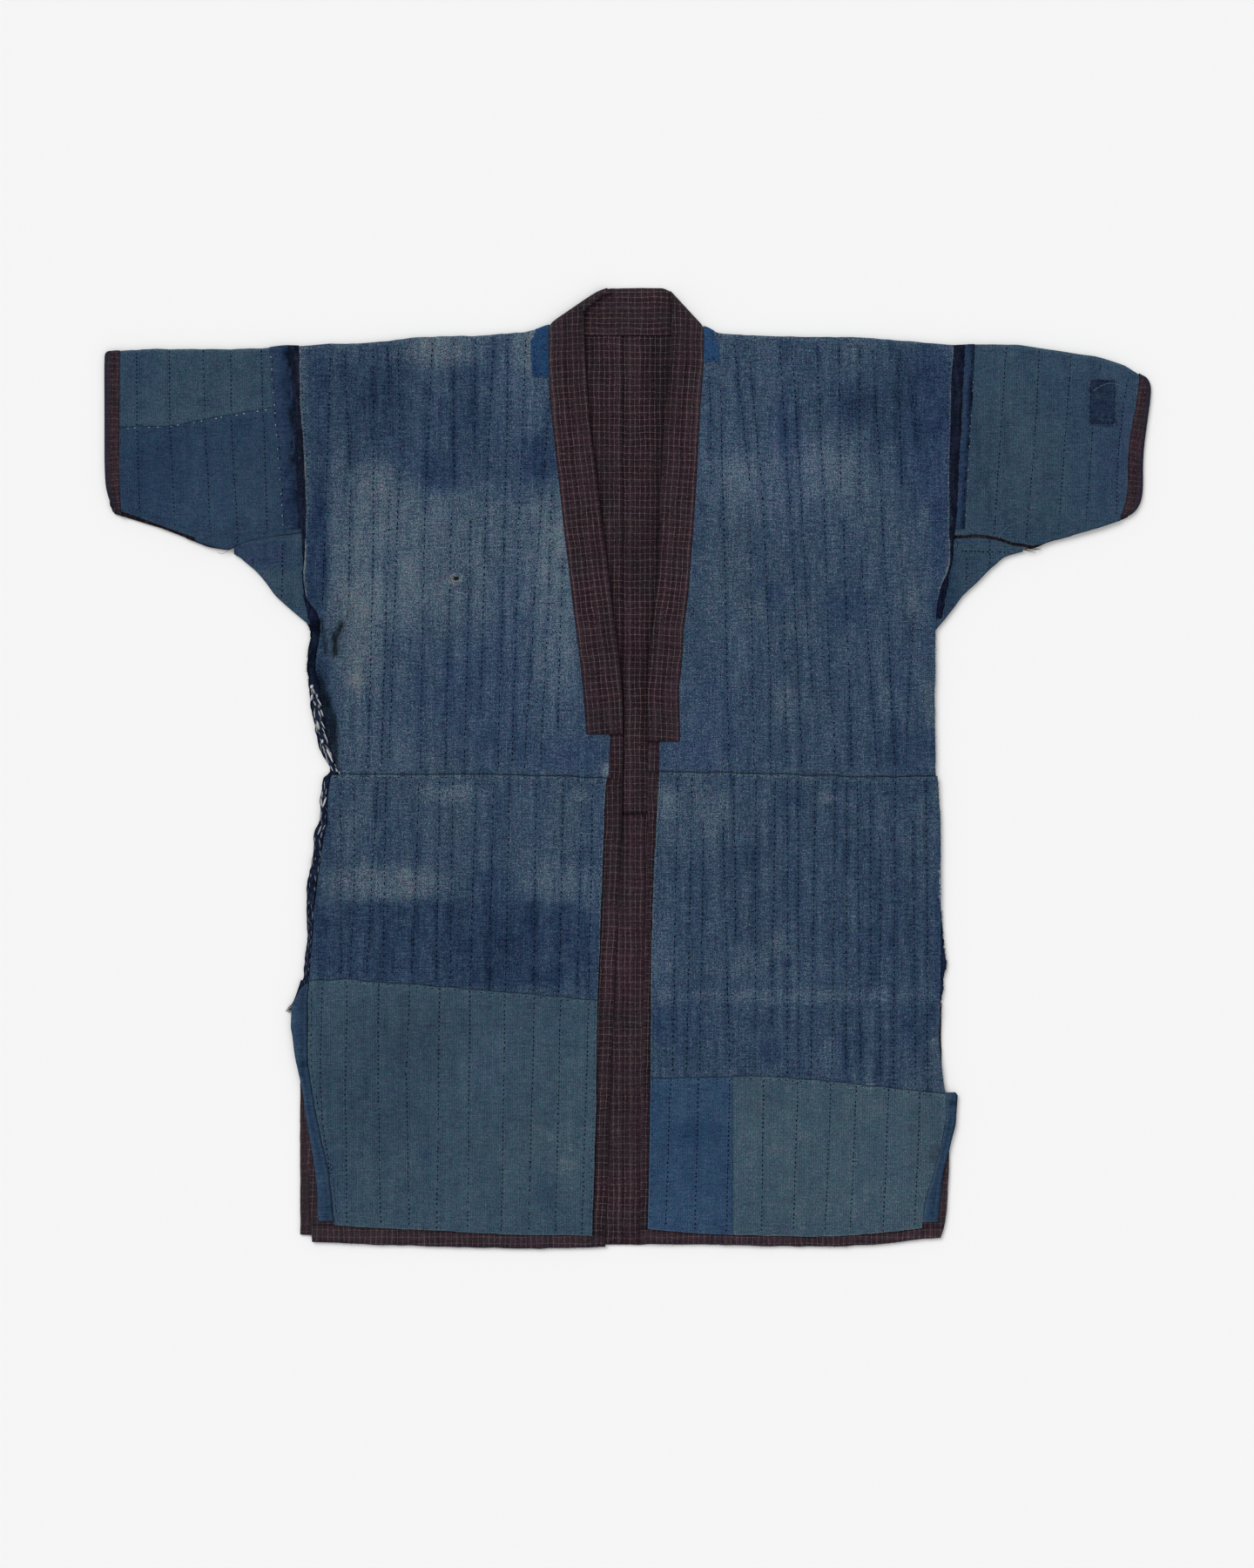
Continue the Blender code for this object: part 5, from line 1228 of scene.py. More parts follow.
def collar():
    y_fine = 2.5
    # how the bands' two edges turn at the top towards the slanting folds: outer edge, then free edge
    turns = {
        "left": (((-77.6, 431.0), (-76.8, 438.4), (-62.0, 448.4), (-46.0, 459.4), (-30.0, 470.2), (-20.0, 473.2)), ((-43.4, 437.0), (-43.4, 450.6), (-38.0, 455.2), (-32.0, 460.2), (-26.0, 464.8), (-15.5, 469.0))),
        "right": (((75.3, 424.0), (74.6, 434.0), (72.5, 438.0)), ((43.8, 440.0), (43.6, 456.0), (42.0, 471.0))),
    }
    for side, s in (("left", -1), ("right", 1)):
        left = s < 0
        out, free = (OUT_L, FREE_L) if left else (OUT_R, FREE_R)
        low_end = 33.6 if left else 26.6
        body_rows = np.concatenate([[low_end, low_end + 0.5, low_end + 1.4], np.linspace(low_end + 3, 413, 152)])
        tuck_top = 13 if left else 11
        sections = [((float(out(y)), y), (float(free(y)), y)) for y in body_rows]
        o, f = (drawn([(float(edge(413)), 413.0), *turn], 30) for edge, turn in zip((out, free), turns[side]))
        sections += list(zip(o[1:], f[1:]))
        o_end, f_end = ((-77.6, 438.0), (-29.5, 470.8)) if left else ((72.5, 438.0), (42.0, 471.0))
        o_line = np.array(o_end), np.array(f_end)
        along = (o_line[1] - o_line[0]) / np.linalg.norm(o_line[1] - o_line[0])
        normal = np.array([-along[1], along[0]]) * (1 if left else -1)
        pts, uvs, darks = [], [], []
        slope = 0.096 if left else -0.07
        for o, f in sections:
            o, f = np.array(o, float), np.array(f, float)
            width = np.linalg.norm(f - o)
            way = (f - o) / width
            high, low = TOP + 0.25, COLLAR_UNDER
            r = (high - low) / 2
            c = width - r - WALL / 2
            tuck = min(3 if o[1] < 300 else float(np.interp(o[1], (300, 400), (3, tuck_top))), c * 0.5)
            path = []
            ds = np.concatenate([[0, 0.5, 1.2, 2.2, 3.6], np.linspace(5.5, c - 1, 12), [c]]) if c > 9 else c * np.concatenate([[0, 0.05, 0.12, 0.2, 0.3], np.linspace(0.36, 0.93, 12), [1]])
            for d in ds:
                rise = mix(FRONT_LINING + 0.85, high, smooth(0, 4.5, d))
                path.append((d, float(rise) - (0.35 if d == 0 else 0.1 if d < 0.6 else 0), d))
            for q in range(1, TURN):
                a = math.pi * q / TURN
                path.append((c + r * math.sin(a), (high + low) / 2 + r * math.cos(a), c + r * a))
            for d in np.linspace(c, tuck, 8):
                path.append((d, low, c + r * math.pi + (c - d)))
            row, row_uv = [], []
            for d, z, arc in path:
                q = o + way * d
                row.append((q[0], q[1], z))
                # checks run along the band: across it by distance, along it by height
                cross = (q[0] - float(out(q[1]))) * (1 if left else -1)
                if arc > c + 0.1:
                    cross = arc
                row_uv.append((cross * MM, (q[1] - slope * (q[0] - o[0])) * MM))
            pts.append(row)
            uvs.append(row_uv)
        p, uv = np.array(pts), np.array(uvs)
        # round off the slanting fold and the lower end
        away = (p[:, :, :2] - o_line[0]) @ normal  # negative inside
        inside = np.clip(-away, 0, 5)
        quarter = 1 - np.sqrt(np.clip(1 - ((3.6 - np.minimum(inside, 3.6)) / 3.6) ** 2, 0, 1))
        upper = p[:, :, 2] > COLLAR_UNDER + 0.5
        p[:, :, 2] -= np.where((p[:, :, 1] > 405) & upper, 3.4 * quarter * (p[:, :, 2] - COLLAR_UNDER) / (TOP - COLLAR_UNDER), 0)
        p[:, :, 2] -= np.where(upper, 0.5 * near(p[:, :, 1] - low_end, 0.8), 0)
        soft = 0.22 * cloud(p[:, :, 0], p[:, :, 1], 16, 34, 91 + s) + 0.1 * noise(p[:, :, 0], p[:, :, 1], 6, 7, 93)
        middle = upper & (np.arange(p.shape[1])[None] > 2)
        p[:, :, 2] += np.where(middle, soft, 0)
        u = uv[:, :, 0] / MM
        # painted shade along the band's sloping outer edge and at its lower end
        band_edge_shade = 0.55 * near(u, 1.0) + 0.25 * near(p[:, :, 1] - low_end, 1.2)
        fold_facet_shade = np.where(p[:, :, 1] > 405, near(inside, 3.6), 0)
        # the slanting fold's sloping facet is painted plain grey as its shading, with painted shade close to the fold
        values = {"fade": 0.5 + 0.12 * cloud(u, p[:, :, 1], 20, 60, 1250 + s) + 0.1 * near(u, 7), "warm": fold_facet_shade, "dark": band_edge_shade + 0.25 * fold_facet_shade * near(inside, 1.6)}
        a, b = p[0, 1] - p[0, 0], p[1, 0] - p[0, 0]
        if a[0] * b[1] - a[1] * b[0] < 0:
            p, uv, values = p[:, ::-1], uv[:, ::-1], {n: np.broadcast_to(v, p.shape[:2])[:, ::-1] for n, v in values.items()}
        piece(shell(f"collar_{side}", p, uv, values), [f"collar_{side}"], "check", "check", held="folded")
    # the stretch behind the neck
    cols, rows = spaced(128, 2.8), spaced(44, 2.4, (0.5, 1.2), (0.8,))
    bend = 1.15
    low = level(NECK_SEAM - 1.2)
    x, y = field(level(-64.0), level(63.0), low, plus(COLLAR_TOP, -bend), cols, rows)
    z = BACK_OUTER + 0.85 - 0.45 * smooth(1, 5, y - NECK_SEAM) + 0.2 * cloud(x, y, 20, 10, 94) * smooth(0, 6, y - NECK_SEAM)
    X, Y, Z, V, nf = over_fold(x, y, z, 1, level(-64.0), level(63.0), low, cols, spaced(44, 4.0, (1.2,), (0.8,)), lambda a, b: BACK_LINING + 0 * a)
    front = np.arange(len(X))[:, None] < nf
    # painted shade in the neck seam, painted light just above it, and painted shade under the collar's free edges
    values = {
        "fade": 0.5 + 0.12 * cloud(X, V, 40, 14, 1260),
        "warm": 0.7 * near(V - COLLAR_TOP(X), 1.5),
        "dark": 0.2 * near(Y - NECK_SEAM + 0.6, 0.9) * front - 0.16 * near(Y - NECK_SEAM - 2.0, 0.8) * front + 0.25 * collar_shade(X, Y) * front,
    }
    # the band runs round the neck, so its checks lie across here
    uv = np.stack([(V + 1.0) * MM * 1.03, (X + 2.0) * MM * 1.06], -1)
    p, uv, values, _ = facing_up(np.stack([X, Y, Z], -1), uv, values)
    piece(shell("collar_back", p, uv, values), ["collar_back"], "check", "check", held="folded")


# ---------------------------------------------------------------- narrow pieces that lie on the front
def front_z(x, y):
    """The middle of whatever lining is uppermost at a place on the front."""
    x, y = np.asarray(x, float), np.asarray(y, float)
    waist = np.where(x < 8, WAIST_L(x), WAIST_R(x))
    seam = np.where(x < 8, PANEL_L(x), PANEL_R(x))
    side = np.where(x < 8, np.abs(SIDE_L(y)), np.abs(SIDE_R(y)))
    sleeve = (np.abs(x) > side) & (y > 205)
    z = np.where(sleeve, lining_z(x, y, "sleeve"), lining_z(x, y, "upper"))
    z = np.where(~sleeve & (y < waist), lining_z(x, y, "lower"), z)
    z = np.where(~sleeve & (y < seam), lining_z(x, y, "panel"), z)
    low = np.where(x < 0, SLEEVE_LOW_L(x), SLEEVE_LOW_R(x))
    gusset = (np.abs(x) > side) & (np.abs(x) < 392) & (y < low) & (y > 120)
    return np.where(gusset, gusset_z(x, y), z)


def gusset_z(x, y):
    """The middle of a gusset's upper layer."""
    turn = np.where(x < 0, GUSSET_L(x), GUSSET_R(x)) + GUSSET_BEND
    return np.minimum(4.4 + 0.5 * cloud(x, y, 16, 22, 90) * smooth(0, 8, y - turn) + 0.25 * smooth(20, 40, np.abs(x) - 300), 4.9)


def over_shoulder(lift):
    """The surface of a trim that goes up to the fold at the shoulder, lift above the lining."""

    def z(x, y):
        y0 = np.where(np.abs(x) > 321, np.where(x < 0, SLEEVE_TOP_L(x), SLEEVE_TOP_R(x)), np.where(x < 0, TOP_L(x), TOP_R(x))) - SHOULDER_BEND
        r = (FRONT_LINING - BACK_LINING) / 2 + lift
        d = np.clip(y - y0, 0, r * 0.985)
        below = front_z(x, np.minimum(y, y0)) - FRONT_LINING
        return (FRONT_LINING + BACK_LINING) / 2 + np.sqrt(r * r - d * d) + below * np.clip(1 - d / r, 0, 1)

    return z


def on_cloth(x, y):
    """Where there is front lining or gusset to sew through."""
    low = np.where(x < 0, np.where(x > -386, GUSSET_L(x), SLEEVE_LOW_L(x)), np.where(x < 388, GUSSET_R(x), SLEEVE_LOW_R(x)))
    return (np.abs(x) < 317) | ((y > low + 2.5) & (np.abs(x) < np.where(x < 0, 502, np.abs(sleeve_end(y, False)) - 14)))


def trim(name, left, right, low, high, wide, tall, slot, cloth_name, lift=0.95, base=0.4, seed=0, step=2.2, puff=0.3, turn=0.0, ragged=0.0, trim_edge_shade=0.2, wall=0.6, rests_on=(), surface=None, values=None, lean=0.0):
    cols, rows = spaced(wide, step, (0.5, 1.2), (0.5, 1.2)), spaced(tall, step, (0.5, 1.2), (0.5, 1.2))
    x, y = field(left, right, low, high, cols, rows)
    share = np.broadcast_to(cols[None], x.shape)
    z = (surface or front_z)(x, y) + lift
    edge = np.minimum(share, 1 - share) * wide
    z = z + puff * (1 - np.exp(-((edge / (wide * 0.22)) ** 2))) * (0.8 + 0.3 * noise(x, y, 7, 9, seed))
    z = z + 0.12 * noise(x, y, 4, 6, seed + 1) - 0.25 * near(edge, 0.5)
    f = base + 0.08 * cloud(x, y, 10, 30, seed + 2) + 0.05 * near(edge, 1.2)
    # painted shade along the rims
    v = {"fade": f, "warm": 0.3 * cloud(x, y, 30, 40, seed + 3), "dark": trim_edge_shade * near(edge, 0.9)}
    if values:
        v.update(values(x, y, share, v))
    uv = grain(x * math.cos(lean) - y * math.sin(lean), y * math.cos(lean) + x * math.sin(lean), dv=seed)
    p, uv, v, _ = facing_up(np.stack([x, y, z], -1), uv, v)
    return piece(shell(name, p, uv, v, wall), [name], slot, cloth_name, rests_on)


def trims():
    for side, s in (("left", -1), ("right", 1)):
        left = s < 0
        body = SIDE_L if left else SIDE_R
        allow, strip = (ALLOW_L, STRIP_L) if left else (ALLOW_R, STRIP_R)
        # raw edges of the armhole seams, turned towards the sleeves
        ragged = lambda y, s=s, allow=allow: allow(y) + 0.5 * noise(y, y * 0, 3.1, 9, 95 + s) + 0.3 * noise(y, y * 0, 1.3, 9, 97 + s)
        start = 135.5 if left else 148
        high = over_shoulder(0.8)
        on = lambda x, y, high=high: mix(5.3 + 0.0 * x, high(x, y), smooth(218, 232, y)) - 0.9 * smooth(150, 140, y)
        up = (lambda q, left=left: (SLEEVE_TOP_L(q) if left else SLEEVE_TOP_R(q)) + 0.1)
        # its dark value: painted shade along one long edge and where its end tucks down; darker towards its lower end
        trim(f"armhole_allowance_{side}", ragged, lambda y, s=s, body=body: body(y) - s * 0.5, level(start), up, 12, 252, "dark_allowance", "dark_cloth",
             lift=0.0, seed=700 + s, step=1.5, puff=0.2, surface=on, trim_edge_shade=0.3,
             values=lambda x, y, share, v, s=s: {"fade": (0.22 if s < 0 else 0.17) + 0.3 * cloud(x, y, 2.2, 9, 711 + s), "warm": (0.3 + 0.6 * cloud(x, y, 3, 20, 712 + s)) * smooth(190, 240, y) - 0.8 * smooth(240, 190, y), "dark": 0.25 * near(1 - share if s < 0 else share, 0.3) + 0.2 * smooth(230, 200, y) + 0.5 * smooth(152, 140, y)})
        # the navy strips that bind them
        # the strip is darker towards the allowance: partly painted shade of the fold there, partly the cloth's own
        # mottle
        trim(f"armhole_strip_{side}", strip, lambda y, s=s, allow=allow: allow(y) - s * 0.3, level(236.2), up, 17 if left else 8, 179, "navy", "navy_strip",
             lift=0.0, surface=over_shoulder(0.72), base=0.38, seed=720 + s, step=1.8, puff=0.5, lean=0.02,
             values=lambda x, y, share, v, s=s: {"fade": v["fade"] + 0.1 * cloud(x, y, 5, 12, 727 + s) - 0.1 * smooth(0.3, 1.0, share if s < 0 else 1 - share),
                                                 "dark": np.clip(0.62 * smooth(0.3, 1.0, share if s < 0 else 1 - share) * (1 + 1.1 * noise(x, y, 2.4, 8, 728)), 0, 0.95), "warm": v["warm"] + 0.4 * near(share if s < 0 else 1 - share, 0.5)})
    # a square patch on the right sleeve
    corner = lambda q: 2.6 * np.clip(1 - np.sqrt(np.clip((np.minimum(q - 338.1, 383.9 - q)) / 3.4, 0, 1)), 0, 1)
    trim("sleeve_patch_right", lambda q: 454.6 + corner(q) + 0.5 * noise(q, q * 0, 4.0, 9, 734), lambda q: 481.9 - corner(q) + 0.5 * noise(q, q * 0, 4.5, 9, 735),
         lambda q: 338.1 + 0.5 * noise(q, q * 0, 4.2, 9, 736), lambda q: 383.9 + 0.5 * noise(q, q * 0, 4.0, 9, 737), 27.3, 45.8, "navy", "navy_patch", base=0.27, seed=730, puff=0.2,
         values=lambda x, y, share, v: {"fade": v["fade"] + 0.16 * cloud(x, y, 3.0, 3.6, 738) + 0.7 * near(np.minimum(np.minimum(share * 27.3, (1 - share) * 27.3), np.minimum(y - 338.1, 383.9 - y)), 0.9) * np.clip(0.35 + 0.8 * noise(x, y, 2.0, 2.2, 733), 0, 1),
                                        "warm": 0.5 + 0.8 * cloud(x, y, 4, 5, 739), "dark": 0.2 * np.clip(cloud(x, y, 4.5, 5.5, 732), 0, 1)})
    # bright patches beside the neck
    trim("neck_patch_left", lambda q: np.interp(q, (386, 396, 412, 422, 427), (-93.8, -94.0, -95.4, -95.3, -90.5)) + 0.25 * noise(q, q * 0, 5, 9, 742), plus(OUT_L, 0.8), level(386.2), plus(TOP_L, 0.2), 17, 49, "bright_indigo", "bright_patch", base=0.42, seed=740, puff=0.15, lift=0.0, surface=over_shoulder(0.6))
    trim("neck_patch_right", plus(OUT_R, -0.8), lambda q: np.interp(q, (400, 412, 419, 426), (90.6, 90.3, 89.4, 85.5)) + 0.3 * noise(q, q * 0, 4, 9, 743), lambda q: 400.8 + 0.4 * noise(q, q * 0, 4, 9, 744), plus(TOP_R, 0.2), 16, 34, "bright_indigo", "bright_patch", base=0.45, seed=745, puff=0.15, lift=0.0, surface=over_shoulder(0.6))
    # the facings of the side vents
    for side, s in (("left", -1), ("right", 1)):
        left = s < 0
        facing, lower = (FACING_L, LOW_SIDE_L) if left else (FACING_R, LOW_SIDE_R)
        low, high = (-446.6, -212.5) if left else (-447.6, -319.5)
        pinch = -292 if left else -330
        flat = lambda x, y: FRONT_LINING - drop(x, y)
        def facing_fold_shade(x, y, share, v, s=s, pinch=pinch):
            t = share if s < 0 else 1 - share  # 0 at the outer edge
            fold = 0.4 * near(t - 0.5 - 0.14 * np.sin((y - pinch) / 26), 0.1) * (0.7 + 0.3 * noise(y, y * 0, 17, 9, 757)) + 0.55 * near(y - pinch, 3.5) * near(t - 0.6, 0.45)
            fold = fold + 0.25 * near(t - 0.3, 0.07) * np.clip(noise(y, y * 0, 30, 9, 758), 0, 1)
            # dark: painted shade down the facing's creases, at its pinch, under the lining's edge and along its outer
            # edge; fade: a painted highlight line towards the inner edge, and a paler line near the outer edge
            return {"dark": fold + 0.6 * near(t - 0.97, 0.12) + 0.3 * near(t, 0.05), "fade": v["fade"] + 0.12 * near(t - 0.12, 0.1) + 0.1 * near(t - 0.78, 0.08)}
        bend = lambda x, y, pinch=pinch: FRONT_LINING - drop(x, y) - 0.5 * near(y - pinch, 5) + 0.35 * noise(x, y, 6, 24, 751)
        trim(f"vent_facing_{side}", facing, lambda y, s=s, lower=lower: lower(y) + s * 0.3, level(low), level(high), 15 if left else 11, high - low, "bright_indigo", "bright_facing",
             lift=0.1, base=0.4, seed=750 + 5 * s, step=1.8, puff=0.25, surface=bend, values=facing_fold_shade, wall=0.7)


def side_rolls():
    """Allowances of the side seams rolled tight and overcast: flattened ropes beside the body."""
    rows = (
        ("side_allowance_left_upper", ROLL_L, SIDE_L, -1, -8.5, 158.0),
        ("side_allowance_left_lower", ROLL_L, LOW_SIDE_L, -1, -224.0, -3.0),
        ("side_allowance_right", ROLL_R, LOW_SIDE_R, 1, -228.8, -140.2),
    )
    for n, (name, outer, inner, s, low, high) in enumerate(rows):
        y = np.arange(low, high + 0.1, 1.25)
        a, b = outer(y), inner(y) - s * 0.4
        a = s * np.maximum(s * a, s * b + (4.0 if s < 0 else 1.4))
        half = np.maximum(np.abs(a - b) / 2, 2.0 if s < 0 else 0.8)
        half = half * (1 + (0.12 if s < 0 else 0.3) * noise(y, y * 0, 6 if s < 0 else 3.4, 9, 760 + n)) * np.clip(np.minimum((y - low + 1.5) / 5, (high + 1.5 - y) / 5), 0.35, 1)
        middle = (a + b) / 2 + 0.3 * noise(y, y * 0, 9, 9, 770 + n)
        tall = 1.75 * np.clip(np.minimum((y - low + 2) / 5, (high + 2 - y) / 5), 0.5, 1) * (1 + 0.1 * noise(y, y * 0, 7, 9, 780 + n))
        if n == 0:  # above its overcast part the allowance is a flat dark fray
            tall = tall * np.interp(y, (80, 92), (1.0, 0.62))
        k = 18
        angle = 2 * math.pi * np.arange(k) / k
        c, d = np.cos(angle), np.sin(angle)
        c, d = np.sign(c) * np.abs(c) ** 0.85, np.sign(d) * np.abs(d) ** 0.85
        X = middle[:, None] + half[:, None] * c
        Z = 2.75 + tall[:, None] * d + 0.1 * noise(X, y[:, None] + 0 * X, 2.4, 3, 785 + n)
        ring = np.stack([X, np.broadcast_to(y[:, None], X.shape), Z], -1)
        Z[:] = np.maximum(Z, 0.35)
        m = len(y)
        i = np.arange(m * k).reshape(m, k)
        j = np.roll(i, -1, 1)
        quads = np.stack([i[:-1], j[:-1], j[1:], i[1:]], -1).reshape(-1, 4)
        points = np.concatenate([ring.reshape(-1, 3), [ring[0].mean(0)], [ring[-1].mean(0)]])
        ends = [(i[0, (q + 1) % k], i[0, q], m * k, -1) for q in range(k)] + [(i[-1, q], i[-1, (q + 1) % k], m * k + 1, -1) for q in range(k)]
        faces = np.concatenate([quads, np.array(ends)])
        around = np.arange(k) / k * 2 * math.pi * (half.mean() + tall.mean()) / 2
        uv = np.stack([np.broadcast_to(around, (m, k)), np.broadcast_to(y[:, None], (m, k))], -1).reshape(-1, 2) * MM
        uv = np.concatenate([uv, uv[:1], uv[-1:]])
        # darker in two thin lines along its sides
        dark = np.broadcast_to(0.75 * near(np.abs(c) - 0.92, 0.16)[None], (m, k)).reshape(-1)
        if n == 0:
            dark = dark + np.repeat(0.5 * smooth(74, 88, y), k) * (0.85 + 0.5 * noise(X, y[:, None] + 0 * X, 1.6, 5, 795)).reshape(-1)
        fade = (0.24 + 0.2 * noise(X, y[:, None] + 0 * X, 2.0, 6, 790 + n)).reshape(-1)
        values = {"fade": np.concatenate([fade, [0.3, 0.3]]), "warm": np.zeros(len(points)), "dark": np.concatenate([dark, [0.3, 0.3]]), "inner": np.zeros(len(points))}
        made = write_mesh(name, points, faces, uv, values, np.ones(len(faces), bool))
        perimeter = 2 * math.pi * math.sqrt((half.mean() ** 2 + tall.mean() ** 2) / 2)
        made["area"] = perimeter / 2 * (high - low) * MM * MM
        made["span"] = [perimeter / 2 * MM, (high - low) * MM]
        piece(made, [name], "dark_allowance", "rolled_cloth", held="folded")


# ---------------------------------------------------------------- stitches, fibres
PARTS = {}  # many small things: name -> list of (points, faces, values)


def strands(kind, x, y, z, angle, length, width, height, tone, bend=0.0):
    """Many short stitches, each a low pointed ridge, gathered under one name."""
    x, y, z, angle, length, width, height, tone = np.broadcast_arrays(*(np.asarray(q, float) for q in (x, y, z, angle, length, width, height, tone)))
    if not x.size:
        return
    along = np.array([-0.5, -0.24, 0.24, 0.5])
    wide = np.array([0.2, 1.0, 1.0, 0.2])
    tall = np.array([-0.5, 1.0, 1.0, -0.5])
    points = np.zeros((x.size, 4, 3, 3))
    for k in range(4):
        for q, (cu, cv) in enumerate(((-0.5, -0.3), (0.0, 0.6), (0.5, -0.3))):
            t, u = along[k] * length, cu * wide[k] * width
            points[:, k, q, 0] = x + t * np.cos(angle) - u * np.sin(angle)
            points[:, k, q, 1] = y + t * np.sin(angle) + u * np.cos(angle)
            points[:, k, q, 2] = z + (cv + tall[k] * 0.5) * height - 0.25 * height
    i = np.arange(12).reshape(4, 3)
    faces = [(i[k, q], i[k + 1, q], i[k + 1, (q + 1) % 3], i[k, (q + 1) % 3]) for k in range(3) for q in range(3)]
    faces += [(i[0, 0], i[0, 1], i[0, 2], -1), (i[3, 2], i[3, 1], i[3, 0], -1)]
    faces = np.array(faces)
    whole = np.where(faces[None] < 0, -1, faces[None] + 12 * np.arange(x.size)[:, None, None]).reshape(-1, 4)
    PARTS.setdefault(kind, []).append((points.reshape(-1, 3), whole, np.repeat(tone, 12)))


def fibres(kind, paths, radius=0.16, tone=0.5):
    """Thin tapering threads through lists of points (x, y, z)."""
    for n, path in enumerate(paths):
        path = np.array(path, float)
        t = np.linspace(0, 1, 4 * (len(path) - 1) + 1)
        at = np.linspace(0, 1, len(path))
        p = np.stack([np.interp(t, at, path[:, k]) for k in range(3)], -1)
        if len(path) > 2:  # round the corners
            for _ in range(3):
                p[1:-1] = 0.5 * p[1:-1] + 0.25 * (p[:-2] + p[2:])
        way = np.gradient(p, axis=0)
        way /= np.maximum(np.linalg.norm(way, axis=1, keepdims=True), 1e-6)
        side = np.cross(way, [0, 0, 1.0])
        side /= np.maximum(np.linalg.norm(side, axis=1, keepdims=True), 1e-6)
        over = np.cross(side, way)
        r = radius * (1 - 0.55 * t)[:, None, None]
        ring = np.stack([side * math.cos(a) + over * math.sin(a) for a in (0.5, 2.6, 4.7)], 1)
        q = p[:, None] + ring * r
        m = len(t)
        i = np.arange(m * 3).reshape(m, 3)
        faces = [(i[k, j], i[k, (j + 1) % 3], i[k + 1, (j + 1) % 3], i[k + 1, j]) for k in range(m - 1) for j in range(3)]
        faces += [(i[0, 2], i[0, 1], i[0, 0], -1), (i[-1, 0], i[-1, 1], i[-1, 2], -1)]
        PARTS.setdefault(kind, []).append((q.reshape(-1, 3), np.array(faces)[:, ::-1] if False else np.array(faces), np.full(m * 3, float(tone if np.isscalar(tone) else tone[n]))))


def gather(kind, name, cloth_name, slot):
    points, faces, tones, count = [], [], [], 0
    for p, f, t in PARTS[kind]:
        points.append(p)
        faces.append(np.where(f < 0, -1, f + count))
        tones.append(t)
        count += len(p)
    p = np.concatenate(points)
    made = write_mesh(name, p, np.concatenate(faces), p[:, :2] * MM, {"fade": np.concatenate(tones)}, np.ones(sum(len(f) for f in faces), bool))
    made["cloth_name"], made["slot"] = cloth_name, slot
    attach(made, "root")
    made.data.materials.append(MATERIALS[cloth_name])
    return made


def row_dashes(rows, pitch=5.9, length=3.4, width=0.85, jitter=0.5, seed=0, gap=0.0, above=0.36, surface=front_z, kind="dark", tone=0.3, keep=1.0):
    """Running stitches along straight rows."""
    for n, row in enumerate(rows):
        x0, y0, x1, y1 = row[:4]
        total = math.hypot(x1 - x0, y1 - y0)
        count = int(total / pitch)
        if count < 1:
            continue
        i = np.arange(count)
        h = [hashed(i, i * 0 + n, seed + k) - 0.5 for k in range(6)]
        t = (i + 0.5 + 0.35 * h[0]) * pitch / total
        angle = math.atan2(y1 - y0, x1 - x0)
        off = jitter * (h[1] + 0.8 * noise(t * total, t * 0 + n * 7.1, 26, 9, seed + 9))
        x = x0 + (x1 - x0) * t - math.sin(angle) * off
        y = y0 + (y1 - y0) * t + math.cos(angle) * off
        ok = (h[5] + 0.5 < keep) & (t < 1) & on_cloth(x, y)
        x, y, h = x[ok], y[ok], [q[ok] for q in h]
        z = surface(x, y)
        strands(kind, x, y, z + above, angle + 0.16 * h[2], length * (1 + 0.4 * h[3]), width * (1 + 0.3 * h[4]), 0.55, tone + 0.25 * h[1])


def line_dashes(line, low, high, along_x, pitch=5.9, off=0.0, **more):
    at = np.linspace(low, high, max(2, int(abs(high - low) / 20) + 1))
    v = line(at) + off
    rows = [(at[k], v[k], at[k + 1], v[k + 1]) if along_x else (v[k], at[k], v[k + 1], at[k + 1]) for k in range(len(at) - 1)]
    row_dashes(rows, pitch=pitch, **more)


